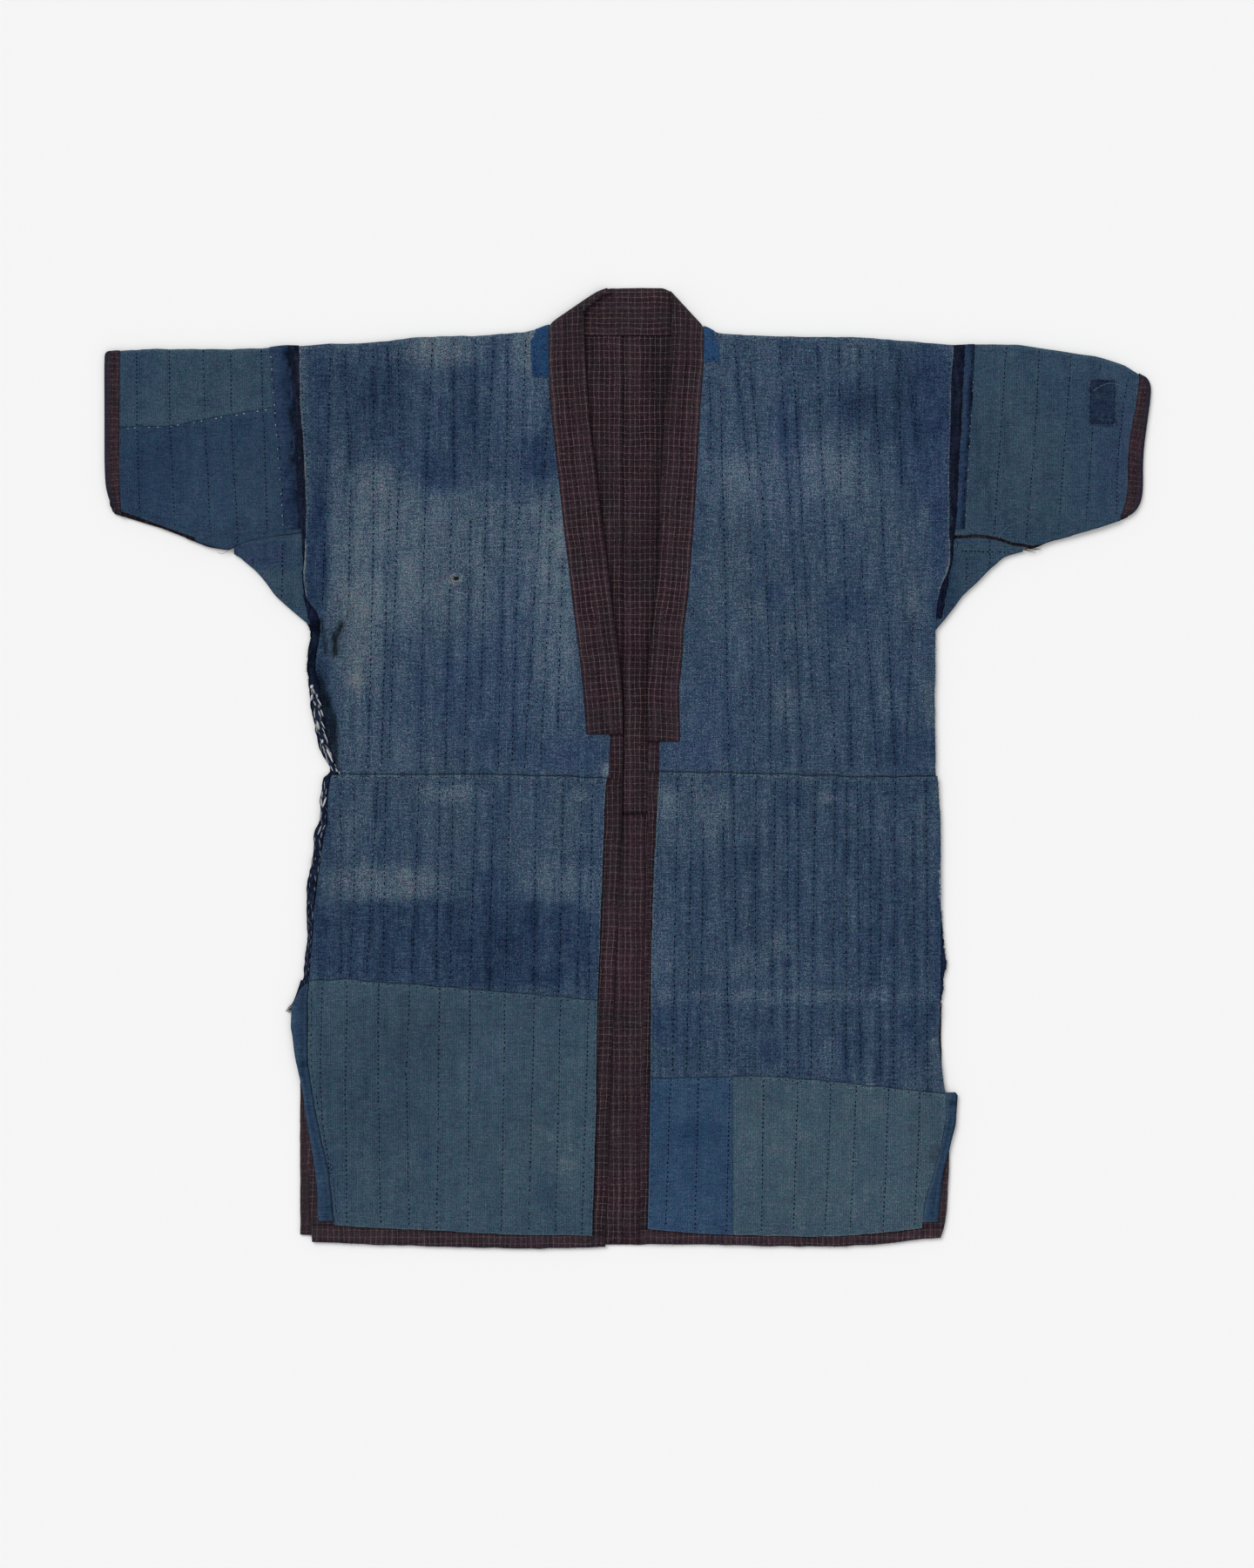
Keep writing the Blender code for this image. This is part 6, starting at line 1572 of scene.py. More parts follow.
def stitches():
    for part, rows in QUILT.items():
        strong = part in ("panel", "sleeve")
        pitch, length = {"panel": (4.6, 2.7), "sleeve": (4.1, 2.4)}.get(part, (5.5, 3.1))
        row_dashes(rows, pitch, length, seed=800 + len(rows), width=1.3 if strong else 1.25, above=0.42, tone=0.1 if strong else 0.16, keep=0.96 if strong else 0.9)
    # along the seams
    line_dashes(WAIST_L, -290, -22, True, off=-2.6, seed=830, tone=0.35, length=3.0, width=0.7)
    line_dashes(WAIST_R, 30, 300, True, off=-2.6, seed=831, tone=0.35, length=3.0, width=0.7)
    line_dashes(PANEL_L, -308, -30, True, off=-2.4, seed=832, tone=0.25, length=2.4, keep=0.8)
    line_dashes(PANEL_R, 26, 310, True, off=-2.4, seed=833, tone=0.25, length=2.4, keep=0.8, jitter=1.0)
    line_dashes(LOW_SIDE_L, -440, -216, False, off=2.6, seed=829, tone=0.15, length=2.8, width=0.9)
    line_dashes(LINING_L, -452, -16, False, off=-2.2, seed=836, tone=0.35, length=2.6, width=0.7)
    line_dashes(LINING_R, -446, -12, False, off=2.2, seed=837, tone=0.35, length=2.6, width=0.7)
    line_dashes(SIDE_L, 236, 404, False, off=3.6, seed=838, tone=0.3, length=2.6, width=0.8)
    line_dashes(SIDE_R, 236, 404, False, off=-3.6, seed=839, tone=0.3, length=2.6, width=0.8)
    # square patches and strips
    on_trim = lambda x, y: front_z(x, y) + 1.25
    square = [(456.6, 340, 456.6, 382), (456.6, 382, 480, 382), (480, 382, 480, 340), (480, 340, 456.6, 340)]
    row_dashes(square, seed=840, surface=on_trim, above=0.2, pitch=4.6, length=2.6, width=0.7, tone=0.15)
    for rows, seed, share in (([(-91.6, 389, -93, 420), (-92, 388.6, -79, 388.6)], 841, 0.9), ([(78, 403.6, 88.5, 403.6), (88.2, 404, 87.6, 418)], 842, 0.6)):
        row_dashes(rows, seed=seed, surface=on_trim, above=0.05, pitch=4.8, length=2.2, width=0.7, tone=0.35, keep=share)
    line_dashes(STRIP_L, 240, 408, False, off=2.2, seed=843, surface=on_trim, above=0.15, length=2.6, width=0.8, tone=0.15, pitch=5.4)
    line_dashes(STRIP_R, 240, 408, False, off=-2.0, seed=844, surface=on_trim, above=0.15, length=2.4, width=0.8, tone=0.15, pitch=5.4)
    # pale dots: along the left sleeve's patch, beside the left armhole strip, and down the right strip
    pale = dict(kind="pale", pitch=7.5, length=1.9, width=1.0, jitter=0.5)
    line_dashes(SLEEVE_SEAM, -496, -346, True, off=-1.3, seed=850, above=0.5, tone=0.72, **pale)
    pale["pitch"] = 11.0
    row_dashes([(-352.2, 409, -338.6, 232.2)], seed=851, surface=on_trim, above=0.3, tone=0.7, keep=0.92, **pale)
    row_dashes([(341.6, 398, 333.0, 240)], seed=852, surface=on_trim, above=0.3, tone=0.5, keep=0.85, **pale)
    # overcasting of the rolled allowances: uneven turns of pale thread, most of it above the waist
    for n, (outer, inner, s, low, high) in enumerate(((ROLL_L, SIDE_L, -1, -2, 78), (ROLL_L, LOW_SIDE_L, -1, -222, -12))):
        i = np.arange(int((high - low) / (2.9 if n == 0 else 4.4)))
        h = [hashed(i, i * 0, 860 + 9 * n + k) - 0.5 for k in range(8)]
        y = low + (i + 0.5 + 0.7 * h[0]) * (2.9 if n == 0 else 4.4)
        a, b = outer(y), inner(y) - s * 0.4
        a = s * np.maximum(s * a, s * b + 4.0)
        half = np.abs(a - b) / 2
        x = (a + b) / 2 + (0.62 * np.where(i % 2, 1, -1) + 0.7 * h[1]) * half * 0.75
        slope = (inner(y + 3) - inner(y - 3)) / 6  # they lean with the rope
        z = 2.75 + 1.75 * np.sqrt(np.clip(1 - ((x - (a + b) / 2) / half) ** 2, 0.1, 1)) + 0.1
        long = 4.2 + 7.0 * (h[2] + 0.5) ** 1.6
        wide = 0.8 + 1.5 * (h[3] + 0.5) ** 2
        if n:
            wide, long = wide * 0.8, long * 0.9
        tone = np.clip(0.2 + 0.75 * (h[5] + 0.5), 0, 1) if n == 0 else np.interp(y, (-220, -120, -40, -12), (0.05, 0.25, 0.6, 0.7)) * (0.5 + 0.9 * (h[5] + 0.5))
        strands("grey", x, y, z, math.pi / 2 - slope + 0.5 * h[6] + 0.12, long, wide, 0.8, tone)
    # a few thick turns where the overcasting starts
    for x, y, angle, long, wide, tone in (
        (-308.7, 53.0, 1.70, 8.0, 1.2, 0.85), (-303.7, 53.7, 1.95, 7.5, 1.3, 0.8), (-305.2, 42.0, 1.8, 9.5, 3.0, 0.66), (-306.4, 38.0, 1.7, 6.0, 1.6, 0.5),
        (-301.0, 26.5, 1.4, 4.4, 2.2, 1.0), (-297.2, 30.0, 1.95, 11.0, 1.3, 0.75), (-299.6, 19.5, 2.0, 7.0, 1.5, 0.6), (-294.1, 13.8, 2.05, 13.0, 2.6, 0.85), (-291.6, 8.0, 2.1, 5.5, 1.5, 0.9),
        (-286.6, -1.8, 2.2, 5.0, 1.3, 0.8), (-284.2, -4.6, 2.0, 2.6, 1.9, 1.0), (-298.9, -33.5, 1.25, 11.0, 1.9, 0.9), (-302.4, -47.0, 1.35, 9.0, 1.5, 0.55), (-303.6, -61.0, 1.2, 11.0, 1.6, 0.6), (-311.0, -92.0, 1.4, 9.0, 1.3, 0.5),
    ):
        strands("grey", x, y, 4.75, angle, long, wide, 0.9, tone)
    strands("grey", [-311.4, -309.6, -311.4, -308.4, -307.0], [80.5, 76, 70, 64, 71], [4.5, 4.6, 4.6, 4.6, 4.5], [1.2, 2.0, 1.4, 2.1, 1.7], [4.5, 6.5, 7, 6, 8], [3.0, 2.6, 2.2, 1.8, 1.2], 1.0, [0.95, 0.62, 0.85, 0.6, 0.3])
    # the underside
    under = lambda x, y: 0.0 * x
    rows = []
    for x0, y0, x1, y1 in BACK_ROWS:
        rows += [(x0, y0, mix(x0, x1, 0.5), -38), (mix(x0, x1, 0.5), -52, x1, y1)]
    row_dashes(rows, pitch=9.0, length=3.6, width=0.9, seed=870, surface=lambda x, y: 0.28 + 0.0 * x, above=0.0, kind="under", tone=0.3)


def frays():
    rng = np.random.default_rng(41)

    def fringe(kind, line, low, high, every, out, reach, z, radius=0.15, along_x=False, tone=0.5, spread=0.6):
        n = int(abs(high - low) / every)
        paths = []
        for t in np.sort(rng.uniform(low, high, n)):
            base = float(line(np.array([t]))[0])
            length = reach * rng.uniform(0.35, 1.3)
            turn = rng.normal(0, spread)
            a = (math.pi / 2 if along_x else 0.0) + turn
            x, y = (t, base) if along_x else (base, t)
            dx, dy = out * math.cos(a) * length, out * math.sin(a) * length
            if not along_x:
                dy = length * math.sin(turn)
            zz = z(x, y) if callable(z) else z
            zt = max(0.4, zz + rng.uniform(-0.9, 0.5))
            paths.append([(x - dx * 0.3, y - dy * 0.3, zz), (x + dx * 0.45 + rng.normal(0, 0.3), y + dy * 0.45 + rng.normal(0, 0.3), zz + 0.2), (x + dx, y + dy, zt)])
        fibres(kind, paths, radius, tone=[tone + rng.uniform(-0.25, 0.25) for _ in paths])

    at = lambda lift: lambda x, y: float(front_z(np.array([x]), np.array([y]))[0]) + lift
    # raw armhole edges: pale threads over the dark allowance
    fringe("pale", SIDE_L, 225, 408, 14.0, -1, 1.2, at(1.45), 0.12, tone=0.2, spread=0.9)
    fringe("pale", SIDE_R, 225, 408, 14.0, 1, 1.2, at(1.45), 0.12, tone=0.2, spread=0.9)
    fringe("dark", ALLOW_L, 238, 405, 3.0, -1, 1.6, at(1.5), 0.16, tone=0.3, spread=0.9)
    fringe("dark", ALLOW_R, 238, 405, 3.0, 1, 1.6, at(1.5), 0.16, tone=0.3, spread=0.9)
    fringe("dark", ROLL_L, 84, 150, 1.6, -1, 1.5, 3.0, 0.16, tone=0.1, spread=1.0)
    fringe("dark", ROLL_R, -226, -140, 1.1, 1, 1.6, 3.2, 0.17, tone=0.12, spread=1.0)
    # hems, cuffs and the sleeve patch
    fringe("brown", HEM_L, -300, -30, 7.0, -1, 2.0, 3.4, 0.14, along_x=True, tone=0.5, spread=1.0)
    fringe("brown", HEM_R, 20, 300, 7.0, -1, 2.0, 3.4, 0.14, along_x=True, tone=0.5, spread=1.0)
    fringe("brown", HEM_BACK, -300, 300, 9.0, -1, 2.0, 1.6, 0.14, along_x=True, tone=0.5, spread=1.0)
    fringe("pale", level(454.8), 339, 383, 1.5, -1, 1.0, at(1.0), 0.13, tone=0.1, spread=1.1)
    fringe("pale", level(481.6), 339, 383, 1.5, 1, 1.0, at(1.0), 0.13, tone=0.1, spread=1.1)
    fringe("pale", level(338.4), 456, 481, 1.5, -1, 1.0, at(1.0), 0.13, along_x=True, tone=0.1, spread=1.1)
    fringe("pale", level(383.6), 456, 481, 1.5, 1, 1.0, at(1.0), 0.13, along_x=True, tone=0.1, spread=1.1)
    # the front edges of the lining, worn to threads here and there
    fringe("pale", LINING_R, -200, -10, 6.0, -1, 2.0, at(0.5), 0.13, tone=0.3, spread=1.0)
    fringe("pale", LINING_L, -150, -10, 8.0, 1, 2.0, at(0.5), 0.13, tone=0.3, spread=1.0)
    fringe("pale", plus(LOW_SIDE_R, -1.0), -131, -100, 0.7, 1, 2.0, 5.2, 0.2, tone=0.75, spread=1.1)
    fringe("dark", LOW_SIDE_R, -300, -12, 1.6, 1, 1.5, 4.2, 0.16, tone=0.3, spread=1.0)
    fringe("dark", SIDE_R, 5, 140, 1.6, 1, 1.5, 4.2, 0.16, tone=0.25, spread=1.0)
    fringe("brown", LOW_SIDE_R, -230, -170, 1.5, 1, 3.2, 3.4, 0.16, tone=0.45, spread=1.0)

    def mm(px, py, lift):
        x, y = (px - 720.5) * 0.86, (882 - py) * 0.86
        return (x, y, at(lift)(x, y))

    # loose threads, one by one
    loose = [
        ("pale", [mm(1254, 450, 2.1), mm(1264, 443, 2.1), mm(1276, 440, 2.0), mm(1287, 444, 1.2), mm(1296, 449, 1.0), mm(1306, 453, 1.6)], 0.17, 0.45),
        ("dark", [mm(795, 704, 0.6), mm(798, 700, 1.1), mm(794, 697, 1.0), mm(790, 701, 1.2), mm(796, 706, 0.7)], 0.3, 0.35),
        ("dark", [mm(795, 704, 0.6), mm(791, 709, 1.0), mm(797, 712, 0.8)], 0.25, 0.35),
        ("brown", [mm(513, 664, 0.2), mm(518, 668, 0.5), mm(526, 667, 0.4)], 0.22, 0.8),
        ("brown", [mm(514, 667, 0.2), mm(520, 670, 0.5), mm(527, 671, 0.4)], 0.22, 0.9),
        ("brown", [mm(517, 660, 0.2), mm(520, 667, 0.6), mm(521, 674, 0.4)], 0.22, 0.85),
        ("pale", [mm(525, 678, 0.6), mm(526, 681, 0.6), mm(531, 681, 0.6)], 0.3, 0.75),
        ("dark", [mm(1096, 633, 0.4), mm(1100, 626, 0.8), mm(1097, 619, 0.5)], 0.2, 0.4),
    ]
    for kind, path, radius, tone in loose:
        fibres(kind, [path], radius, tone)
    # threads that hang free of the edges
    fibres("grey", [
        [(-285.4, -1, 4.2), (-286, -3.4, 4.6), (-283, -5, 5.0)],
        [(-287.5, -2.5, 4.2), (-284.6, -3.6, 4.9), (-283.5, -6.5, 5.2)],
    ], 0.5, 0.9)
    # the rope of the left side ends in a dark frayed tail
    fibres("dark", [
        [(-320 + a, -209, 3.4), (-324 + a, -222 + b, 2.8), (-328 + a * 1.5, -234 + b, 1.8), (-334 + a * 2 + b, -238.5 + b, 1.0)]
        for a, b in ((0, 0), (1.2, 1.0), (-1.0, -1.2), (0.6, -2.0), (-1.4, 1.2))
    ], 0.95, 0.3)
    fibres("dark", [
        [(-327, -233, 2.0), (-331 + a, -237 + b, 1.6), (-336 + a, -240 + b, 0.8)] for a, b in ((0, 0), (1, 3), (-1, 2), (2, -2), (0.5, 5), (3, -3))
    ], 0.2, 0.4)
    fibres("grey", [
        [mm(1077, 1148, 0.8), mm(1080, 1151, 1.4), mm(1078, 1154, 1.6), mm(1081, 1157, 0.9)],
        [mm(1079, 1155, 0.8), mm(1076, 1158, 1.4), mm(1080, 1161, 1.2), mm(1079, 1165, 0.6)],
        [mm(1076, 1151, 0.8), mm(1078, 1157, 1.3), mm(1077, 1163, 0.8)],
    ], 0.22, 0.25)
    fibres("dark", [
        [mm(1078, 1149, 0.8), mm(1082, 1153, 0.9), mm(1080, 1158, 0.9), mm(1081, 1164, 0.2)],
        [mm(1078, 1158, 0.8), mm(1081, 1162, 0.6), mm(1079, 1167, 0.2)],
    ], 0.3, 0.2)
    # the check's raw edge frays out where the right sleeve's seam ends
    fibres("dark", [
        [(388, 216.5, 4.4), (397, 215, 4.4), (404, 215.5, 4.0), (408, 217.5, 3.4)],
        [(390, 216, 4.2), (398, 213.5, 3.8), (403, 213, 3.0)],
        [(392, 217, 4.4), (400, 216.5, 4.6), (409, 215.5, 3.6)],
    ], 0.4, 0.12)
    fibres("brown", [
        [(386, 217, 4.6), (396, 216, 4.8), (404, 217, 4.4), (407, 215, 3.8)],
        [(378, 221, 4.9), (386, 218, 4.9), (394, 217.5, 4.8)],
        [(330, 228.5, 5.0), (342, 230, 5.2), (352, 229, 5.2)],
    ], 0.2, 0.35)
    fibres("pale", [
        [mm(1146, 619, 0.7), mm(1150, 611, 1.0), mm(1158, 604, 1.0), mm(1168, 600, 1.0), mm(1179, 597, 0.7)],
    ], 0.2, 0.35)
    fibres("dark", [
        [(366, 226, 4.2), (371, 229, 4.4), (378, 238, 5.6), (390, 244, 5.6)],
        [(-394, 214, 3.6), (-401, 211, 2.4), (-405, 214, 1.4)],
    ], 0.2, 0.4)


# ---------------------------------------------------------------- materials
LIGHT = 1.16  # what the lights make of a flat white


def dye(r, g, b):
    """A cloth's colour, from how it looks under these lights (0 to 255)."""
    out = []
    for c in (r, g, b):
        c = c / 255
        out.append((c / 12.92 if c <= 0.04045 else ((c + 0.055) / 1.055) ** 2.4) / LIGHT)
    return (*out, 1.0)


class Graph:
    def __init__(self, name):
        self.material = bpy.data.materials.new(name)
        self.material.use_nodes = True
        self.tree = self.material.node_tree
        self.tree.nodes.clear()
        self.out = self.tree.nodes.new("ShaderNodeOutputMaterial")
        self.shader = self.tree.nodes.new("ShaderNodeBsdfPrincipled")
        self.tree.links.new(self.shader.outputs[0], self.out.inputs[0])
        uv = self.tree.nodes.new("ShaderNodeUVMap")
        uv.uv_map = "grain"
        scale = self.tree.nodes.new("ShaderNodeVectorMath")
        scale.operation = "SCALE"
        scale.inputs["Scale"].default_value = 1000
        self.tree.links.new(uv.outputs[0], scale.inputs[0])
        self.mm = scale.outputs[0]
        split = self.tree.nodes.new("ShaderNodeSeparateXYZ")
        self.tree.links.new(self.mm, split.inputs[0])
        self.u, self.v = split.outputs[0], split.outputs[1]
        self.seed = 0

    def put(self, socket, value):
        if isinstance(value, bpy.types.NodeSocket):
            self.tree.links.new(value, socket)
        else:
            socket.default_value = value

    def math(self, kind, a, b=0.0, c=0.0, clamp=False):
        n = self.tree.nodes.new("ShaderNodeMath")
        n.operation, n.use_clamp = kind, clamp
        for k, q in enumerate((a, b, c)):
            self.put(n.inputs[k], q)
        return n.outputs[0]

    def add(self, *values):
        total = values[0]
        for q in values[1:]:
            total = self.math("ADD", total, q)
        return total

    def times(self, a, b):
        return self.math("MULTIPLY", a, b)

    def map(self, value, a, b, low=0.0, high=1.0, soft=True):
        n = self.tree.nodes.new("ShaderNodeMapRange")
        n.interpolation_type = "SMOOTHSTEP" if soft else "LINEAR"
        n.clamp = True
        self.put(n.inputs["Value"], value)
        for k, q in (("From Min", a), ("From Max", b), ("To Min", low), ("To Max", high)):
            n.inputs[k].default_value = q
        return n.outputs["Result"]

    def noise(self, su, sv, detail=2.0, rough=0.6, shift=None):
        """Cloth noise with features of about su by sv millimetres, around 0, most of it within -1 to 1."""
        self.seed += 1
        place = self.tree.nodes.new("ShaderNodeVectorMath")
        place.operation = "MULTIPLY_ADD"
        self.put(place.inputs[0], self.mm)
        place.inputs[1].default_value = (1 / su, 1 / sv, 1)
        place.inputs[2].default_value = (self.seed * 13.7, self.seed * 7.3, self.seed * 3.1)
        n = self.tree.nodes.new("ShaderNodeTexNoise")
        n.noise_dimensions = "2D"
        n.inputs["Scale"].default_value = 1.0
        n.inputs["Detail"].default_value = detail
        n.inputs["Roughness"].default_value = rough
        self.tree.links.new(place.outputs[0], n.inputs["Vector"])
        return self.math("MULTIPLY_ADD", n.outputs["Fac"], 4.0, -2.0)

    def value(self, name):
        n = self.tree.nodes.new("ShaderNodeAttribute")
        n.attribute_name = name
        return n.outputs["Fac"]

    def ramp(self, value, *stops):
        n = self.tree.nodes.new("ShaderNodeValToRGB")
        n.color_ramp.interpolation = "LINEAR"
        while len(n.color_ramp.elements) < len(stops):
            n.color_ramp.elements.new(0.5)
        for e, (at, colour) in zip(n.color_ramp.elements, stops):
            e.position = at
            e.color = dye(*colour)
        self.put(n.inputs[0], value)
        return n.outputs[0]

    def mix(self, share, a, b, kind="MIX"):
        n = self.tree.nodes.new("ShaderNodeMix")
        n.data_type, n.blend_type = "RGBA", kind
        self.put(n.inputs[0], share)
        self.put(n.inputs[6], a)
        self.put(n.inputs[7], b)
        return n.outputs[2]

    def finish(self, colour, height, depth=0.00025, strength=0.5, rough=0.95, sheen=0.0):
        # the dark value dims the colour: mostly painted shade in seams, creases, folds and under edges, with some of
        # the cloth's own darker places
        dark = self.math("MULTIPLY_ADD", self.value("dark"), -0.85, 1.0, clamp=True)
        dimmed = self.tree.nodes.new("ShaderNodeVectorMath")
        dimmed.operation = "SCALE"
        self.put(dimmed.inputs[0], colour)
        self.put(dimmed.inputs["Scale"], dark)
        self.put(self.shader.inputs["Base Color"], dimmed.outputs[0])
        self.shader.inputs["Roughness"].default_value = rough
        self.shader.inputs["Specular IOR Level"].default_value = 0.03
        self.shader.inputs["Sheen Weight"].default_value = sheen
        self.shader.inputs["Sheen Roughness"].default_value = 0.6
        bump = self.tree.nodes.new("ShaderNodeBump")
        bump.inputs["Strength"].default_value = strength
        bump.inputs["Distance"].default_value = depth
        self.put(bump.inputs["Height"], height)
        self.tree.links.new(bump.outputs[0], self.shader.inputs["Normal"])
        return self.material


BLUE = ((0.0, (14, 25, 47)), (0.25, (32, 52, 79)), (0.5, (50, 73, 99)), (0.75, (70, 92, 114)), (1.0, (111, 129, 141)))
WARM = ((0.0, (25, 33, 44)), (0.25, (45, 56, 68)), (0.5, (66, 78, 88)), (0.75, (91, 100, 105)), (1.0, (133, 135, 131)))


def plain_cloth(name, blue=BLUE, warm=WARM, mottle=0.45, streak=0.12, ribs=0.1, flecks=0.6, specks=0.45, slub=(0.9, 26.0), warmth=0.2, pucker_shade=0.1, pinstripe=0.0, bump=0.6):
    """A worn plain weave: warp streaks, slubs, a salt-and-pepper weave, lint and dark specks over the dye's own fades."""
    g = Graph(name)
    fine = g.noise(0.8, 0.95, 1.0, 0.6)
    grit = g.noise(2.0, 2.2, 2.0, 0.65)
    slubs = g.noise(slub[0], slub[1], 2.0, 0.6)
    broad = g.noise(5.5, 80.0, 2.0, 0.55)
    weft = g.noise(20.0, 0.95, 1.0, 0.5)
    puckers = g.noise(6.5, 3.2, 2.0, 0.6)
    patchy = g.noise(14.0, 18.0, 2.0, 0.6)
    faded = g.value("fade")
    more = g.map(faded, 0.25, 0.85, 0.75, 1.35)
    f = g.add(
        faded,
        g.times(g.add(g.times(fine, mottle), g.times(grit, mottle * 0.5)), more),
        g.times(slubs, streak),
        g.times(broad, streak * 0.6),
        g.times(weft, ribs),
        # painted shade in the puckers' hollows and painted light on their tops, with the same noise as their bump
        g.times(puckers, pucker_shade),
        g.times(patchy, 0.045),
    )
    if pinstripe:
        stripes = g.math("SINE", g.times(g.add(g.u, g.times(g.noise(9.0, 30.0, 1.0), 0.35)), 2 * math.pi / 2.3))
        f = g.add(f, g.times(stripes, pinstripe))
    w = g.math("ADD", warmth, g.times(g.value("warm"), 0.4))
    w = g.math("ADD", w, g.times(g.noise(2.2, 4.0, 2.0, 0.6), 0.3), clamp=True)
    colour = g.mix(w, g.ramp(f, *blue), g.ramp(f, *warm))
    bluer = g.math("MULTIPLY", g.value("warm"), -0.55, clamp=True)
    colour = g.mix(1.0, colour, g.mix(bluer, (1.0, 1.0, 1.0, 1.0), (1.16, 0.9, 1.06, 1.0)), "MULTIPLY")
    hue = g.map(g.add(g.times(g.noise(9.0, 11.0, 2.0, 0.6), 0.8), g.times(g.noise(1.6, 1.6, 1.0, 0.6), 0.7)), -1.1, 1.1)
    colour = g.mix(1.0, colour, g.mix(hue, (0.88, 1.05, 0.99, 1.0), (1.13, 0.965, 1.04, 1.0)), "MULTIPLY")
    pale = g.map(g.noise(1.3, 1.1, 1.0, 0.5), 0.85, 1.25)
    pale = g.times(g.times(pale, flecks), g.map(g.noise(18.0, 40.0, 1.0), -0.6, 0.9, 0.2, 1.0))
    colour = g.mix(pale, colour, dye(132, 146, 152))
    lint = g.times(g.map(g.noise(2.9, 3.4, 0.0, 0.5), 1.46, 1.56), 0.22 * specks)
    colour = g.mix(lint, colour, dye(160, 164, 162))
    spots = g.times(g.map(g.noise(1.5, 1.2, 0.0, 0.5), 0.85, 1.2), specks)
    colour = g.mix(spots, colour, dye(14, 22, 40))
    height = g.add(g.times(fine, 0.6), g.times(slubs, 0.35), g.times(weft, 0.25), g.times(puckers, 0.9))
    return g.finish(colour, height, 0.0005, bump)


def checked_cloth(name, across=5.3, along=6.65, ground=((0.0, (16, 12, 18)), (0.4, (36, 28, 34)), (0.7, (50, 39, 46)), (1.0, (70, 55, 63))), lines=(108, 97, 101), strong=0.5, weak=0.36):
    """The traditional fine check: single pale threads each way on plum and black, worn and broken here and there."""
    g = Graph(name)
    sway = g.times(g.noise(24.0, 30.0, 2.0, 0.5), 0.75)
    sway2 = g.times(g.noise(26.0, 22.0, 2.0, 0.5), 0.75)
    u, v = g.add(g.u, sway), g.add(g.v, sway2)

    def grid(place, pitch, half, soft):
        d = g.math("FRACT", g.math("DIVIDE", place, pitch))
        d = g.math("ABSOLUTE", g.math("SUBTRACT", d, 0.5))
        return g.map(d, half / pitch, (half + soft) / pitch, 1.0, 0.0)

    warp, weft = grid(u, across, 0.22, 0.3), grid(v, along, 0.22, 0.3)
    half_u = g.map(g.math("SINE", g.times(u, 2 * math.pi / (across * 2))), -0.6, 0.6, -1.0, 1.0)
    half_v = g.map(g.math("SINE", g.times(v, 2 * math.pi / (along * 2))), -0.6, 0.6, -1.0, 1.0)
    fine = g.noise(0.9, 1.1, 1.0, 0.6)
    grit = g.noise(2.2, 2.8, 2.0, 0.6)
    slubs = g.noise(1.0, 22.0, 2.0, 0.6)
    columns = g.noise(7.0, 300.0, 1.0, 0.5)
    worn = g.noise(16.0, 26.0, 2.0, 0.6)
    f = g.add(g.value("fade"), g.times(fine, 0.34), g.times(grit, 0.2), g.times(slubs, 0.07), g.times(columns, 0.12), g.times(half_u, 0.05), g.times(half_v, 0.04), g.times(worn, 0.07))
    colour = g.ramp(f, *ground)
    # plum and brown-black by turns, in blocks
    blocks = g.map(g.add(g.noise(19.0, 90.0, 1.0), g.times(g.noise(120.0, 17.0, 1.0), 0.8)), -0.8, 0.8)
    colour = g.mix(1.0, colour, g.mix(blocks, (0.94, 1.02, 0.97, 1.0), (1.1, 0.94, 1.0, 1.0)), "MULTIPLY")
    broken = g.map(g.noise(1.5, 2.2, 2.0, 0.7), -0.8, 0.7, 0.1, 1.3)
    broken2 = g.map(g.noise(2.2, 1.5, 2.0, 0.7), -0.8, 0.7, 0.08, 1.3)
    away = g.map(g.noise(30.0, 60.0, 2.0, 0.6), -0.9, 0.5, 0.55, 1.0)
    thread = g.mix(g.map(g.noise(60.0, 45.0, 2.0, 0.5), -0.7, 0.7), dye(*lines), dye(lines[0] + 14, lines[1], lines[2] - 8))
    colour = g.mix(g.times(g.times(weft, broken2), g.times(away, weak)), colour, thread)
    colour = g.mix(g.times(g.times(warp, broken), g.times(away, strong)), colour, thread)
    colour = g.mix(g.times(g.times(warp, weft), 0.25), colour, dye(140, 128, 128))
    colour = g.mix(g.math("MULTIPLY", g.value("warm"), 0.65, clamp=True), colour, dye(56, 51, 56))
    colour = g.mix(g.math("MULTIPLY", g.value("warm"), -0.85, clamp=True), colour, dye(33, 38, 52))
    height = g.add(g.times(fine, 0.5), g.times(warp, 0.4), g.times(weft, 0.3), g.times(slubs, 0.2))
    return g.finish(colour, height, 0.0004, 0.5)


def thread_cloth(name, *stops, flecks=0.0):
    g = Graph(name)
    f = g.add(g.value("fade"), g.times(g.noise(0.7, 0.7, 1.0, 0.6), 0.15), g.times(g.noise(3.0, 3.0, 1.0, 0.6), 0.1))
    colour = g.ramp(f, *stops)
    twist = g.math("SINE", g.times(g.add(g.u, g.v), 7.0))
    return g.finish(colour, twist, 0.00015, 0.5, rough=0.95, sheen=0.0)


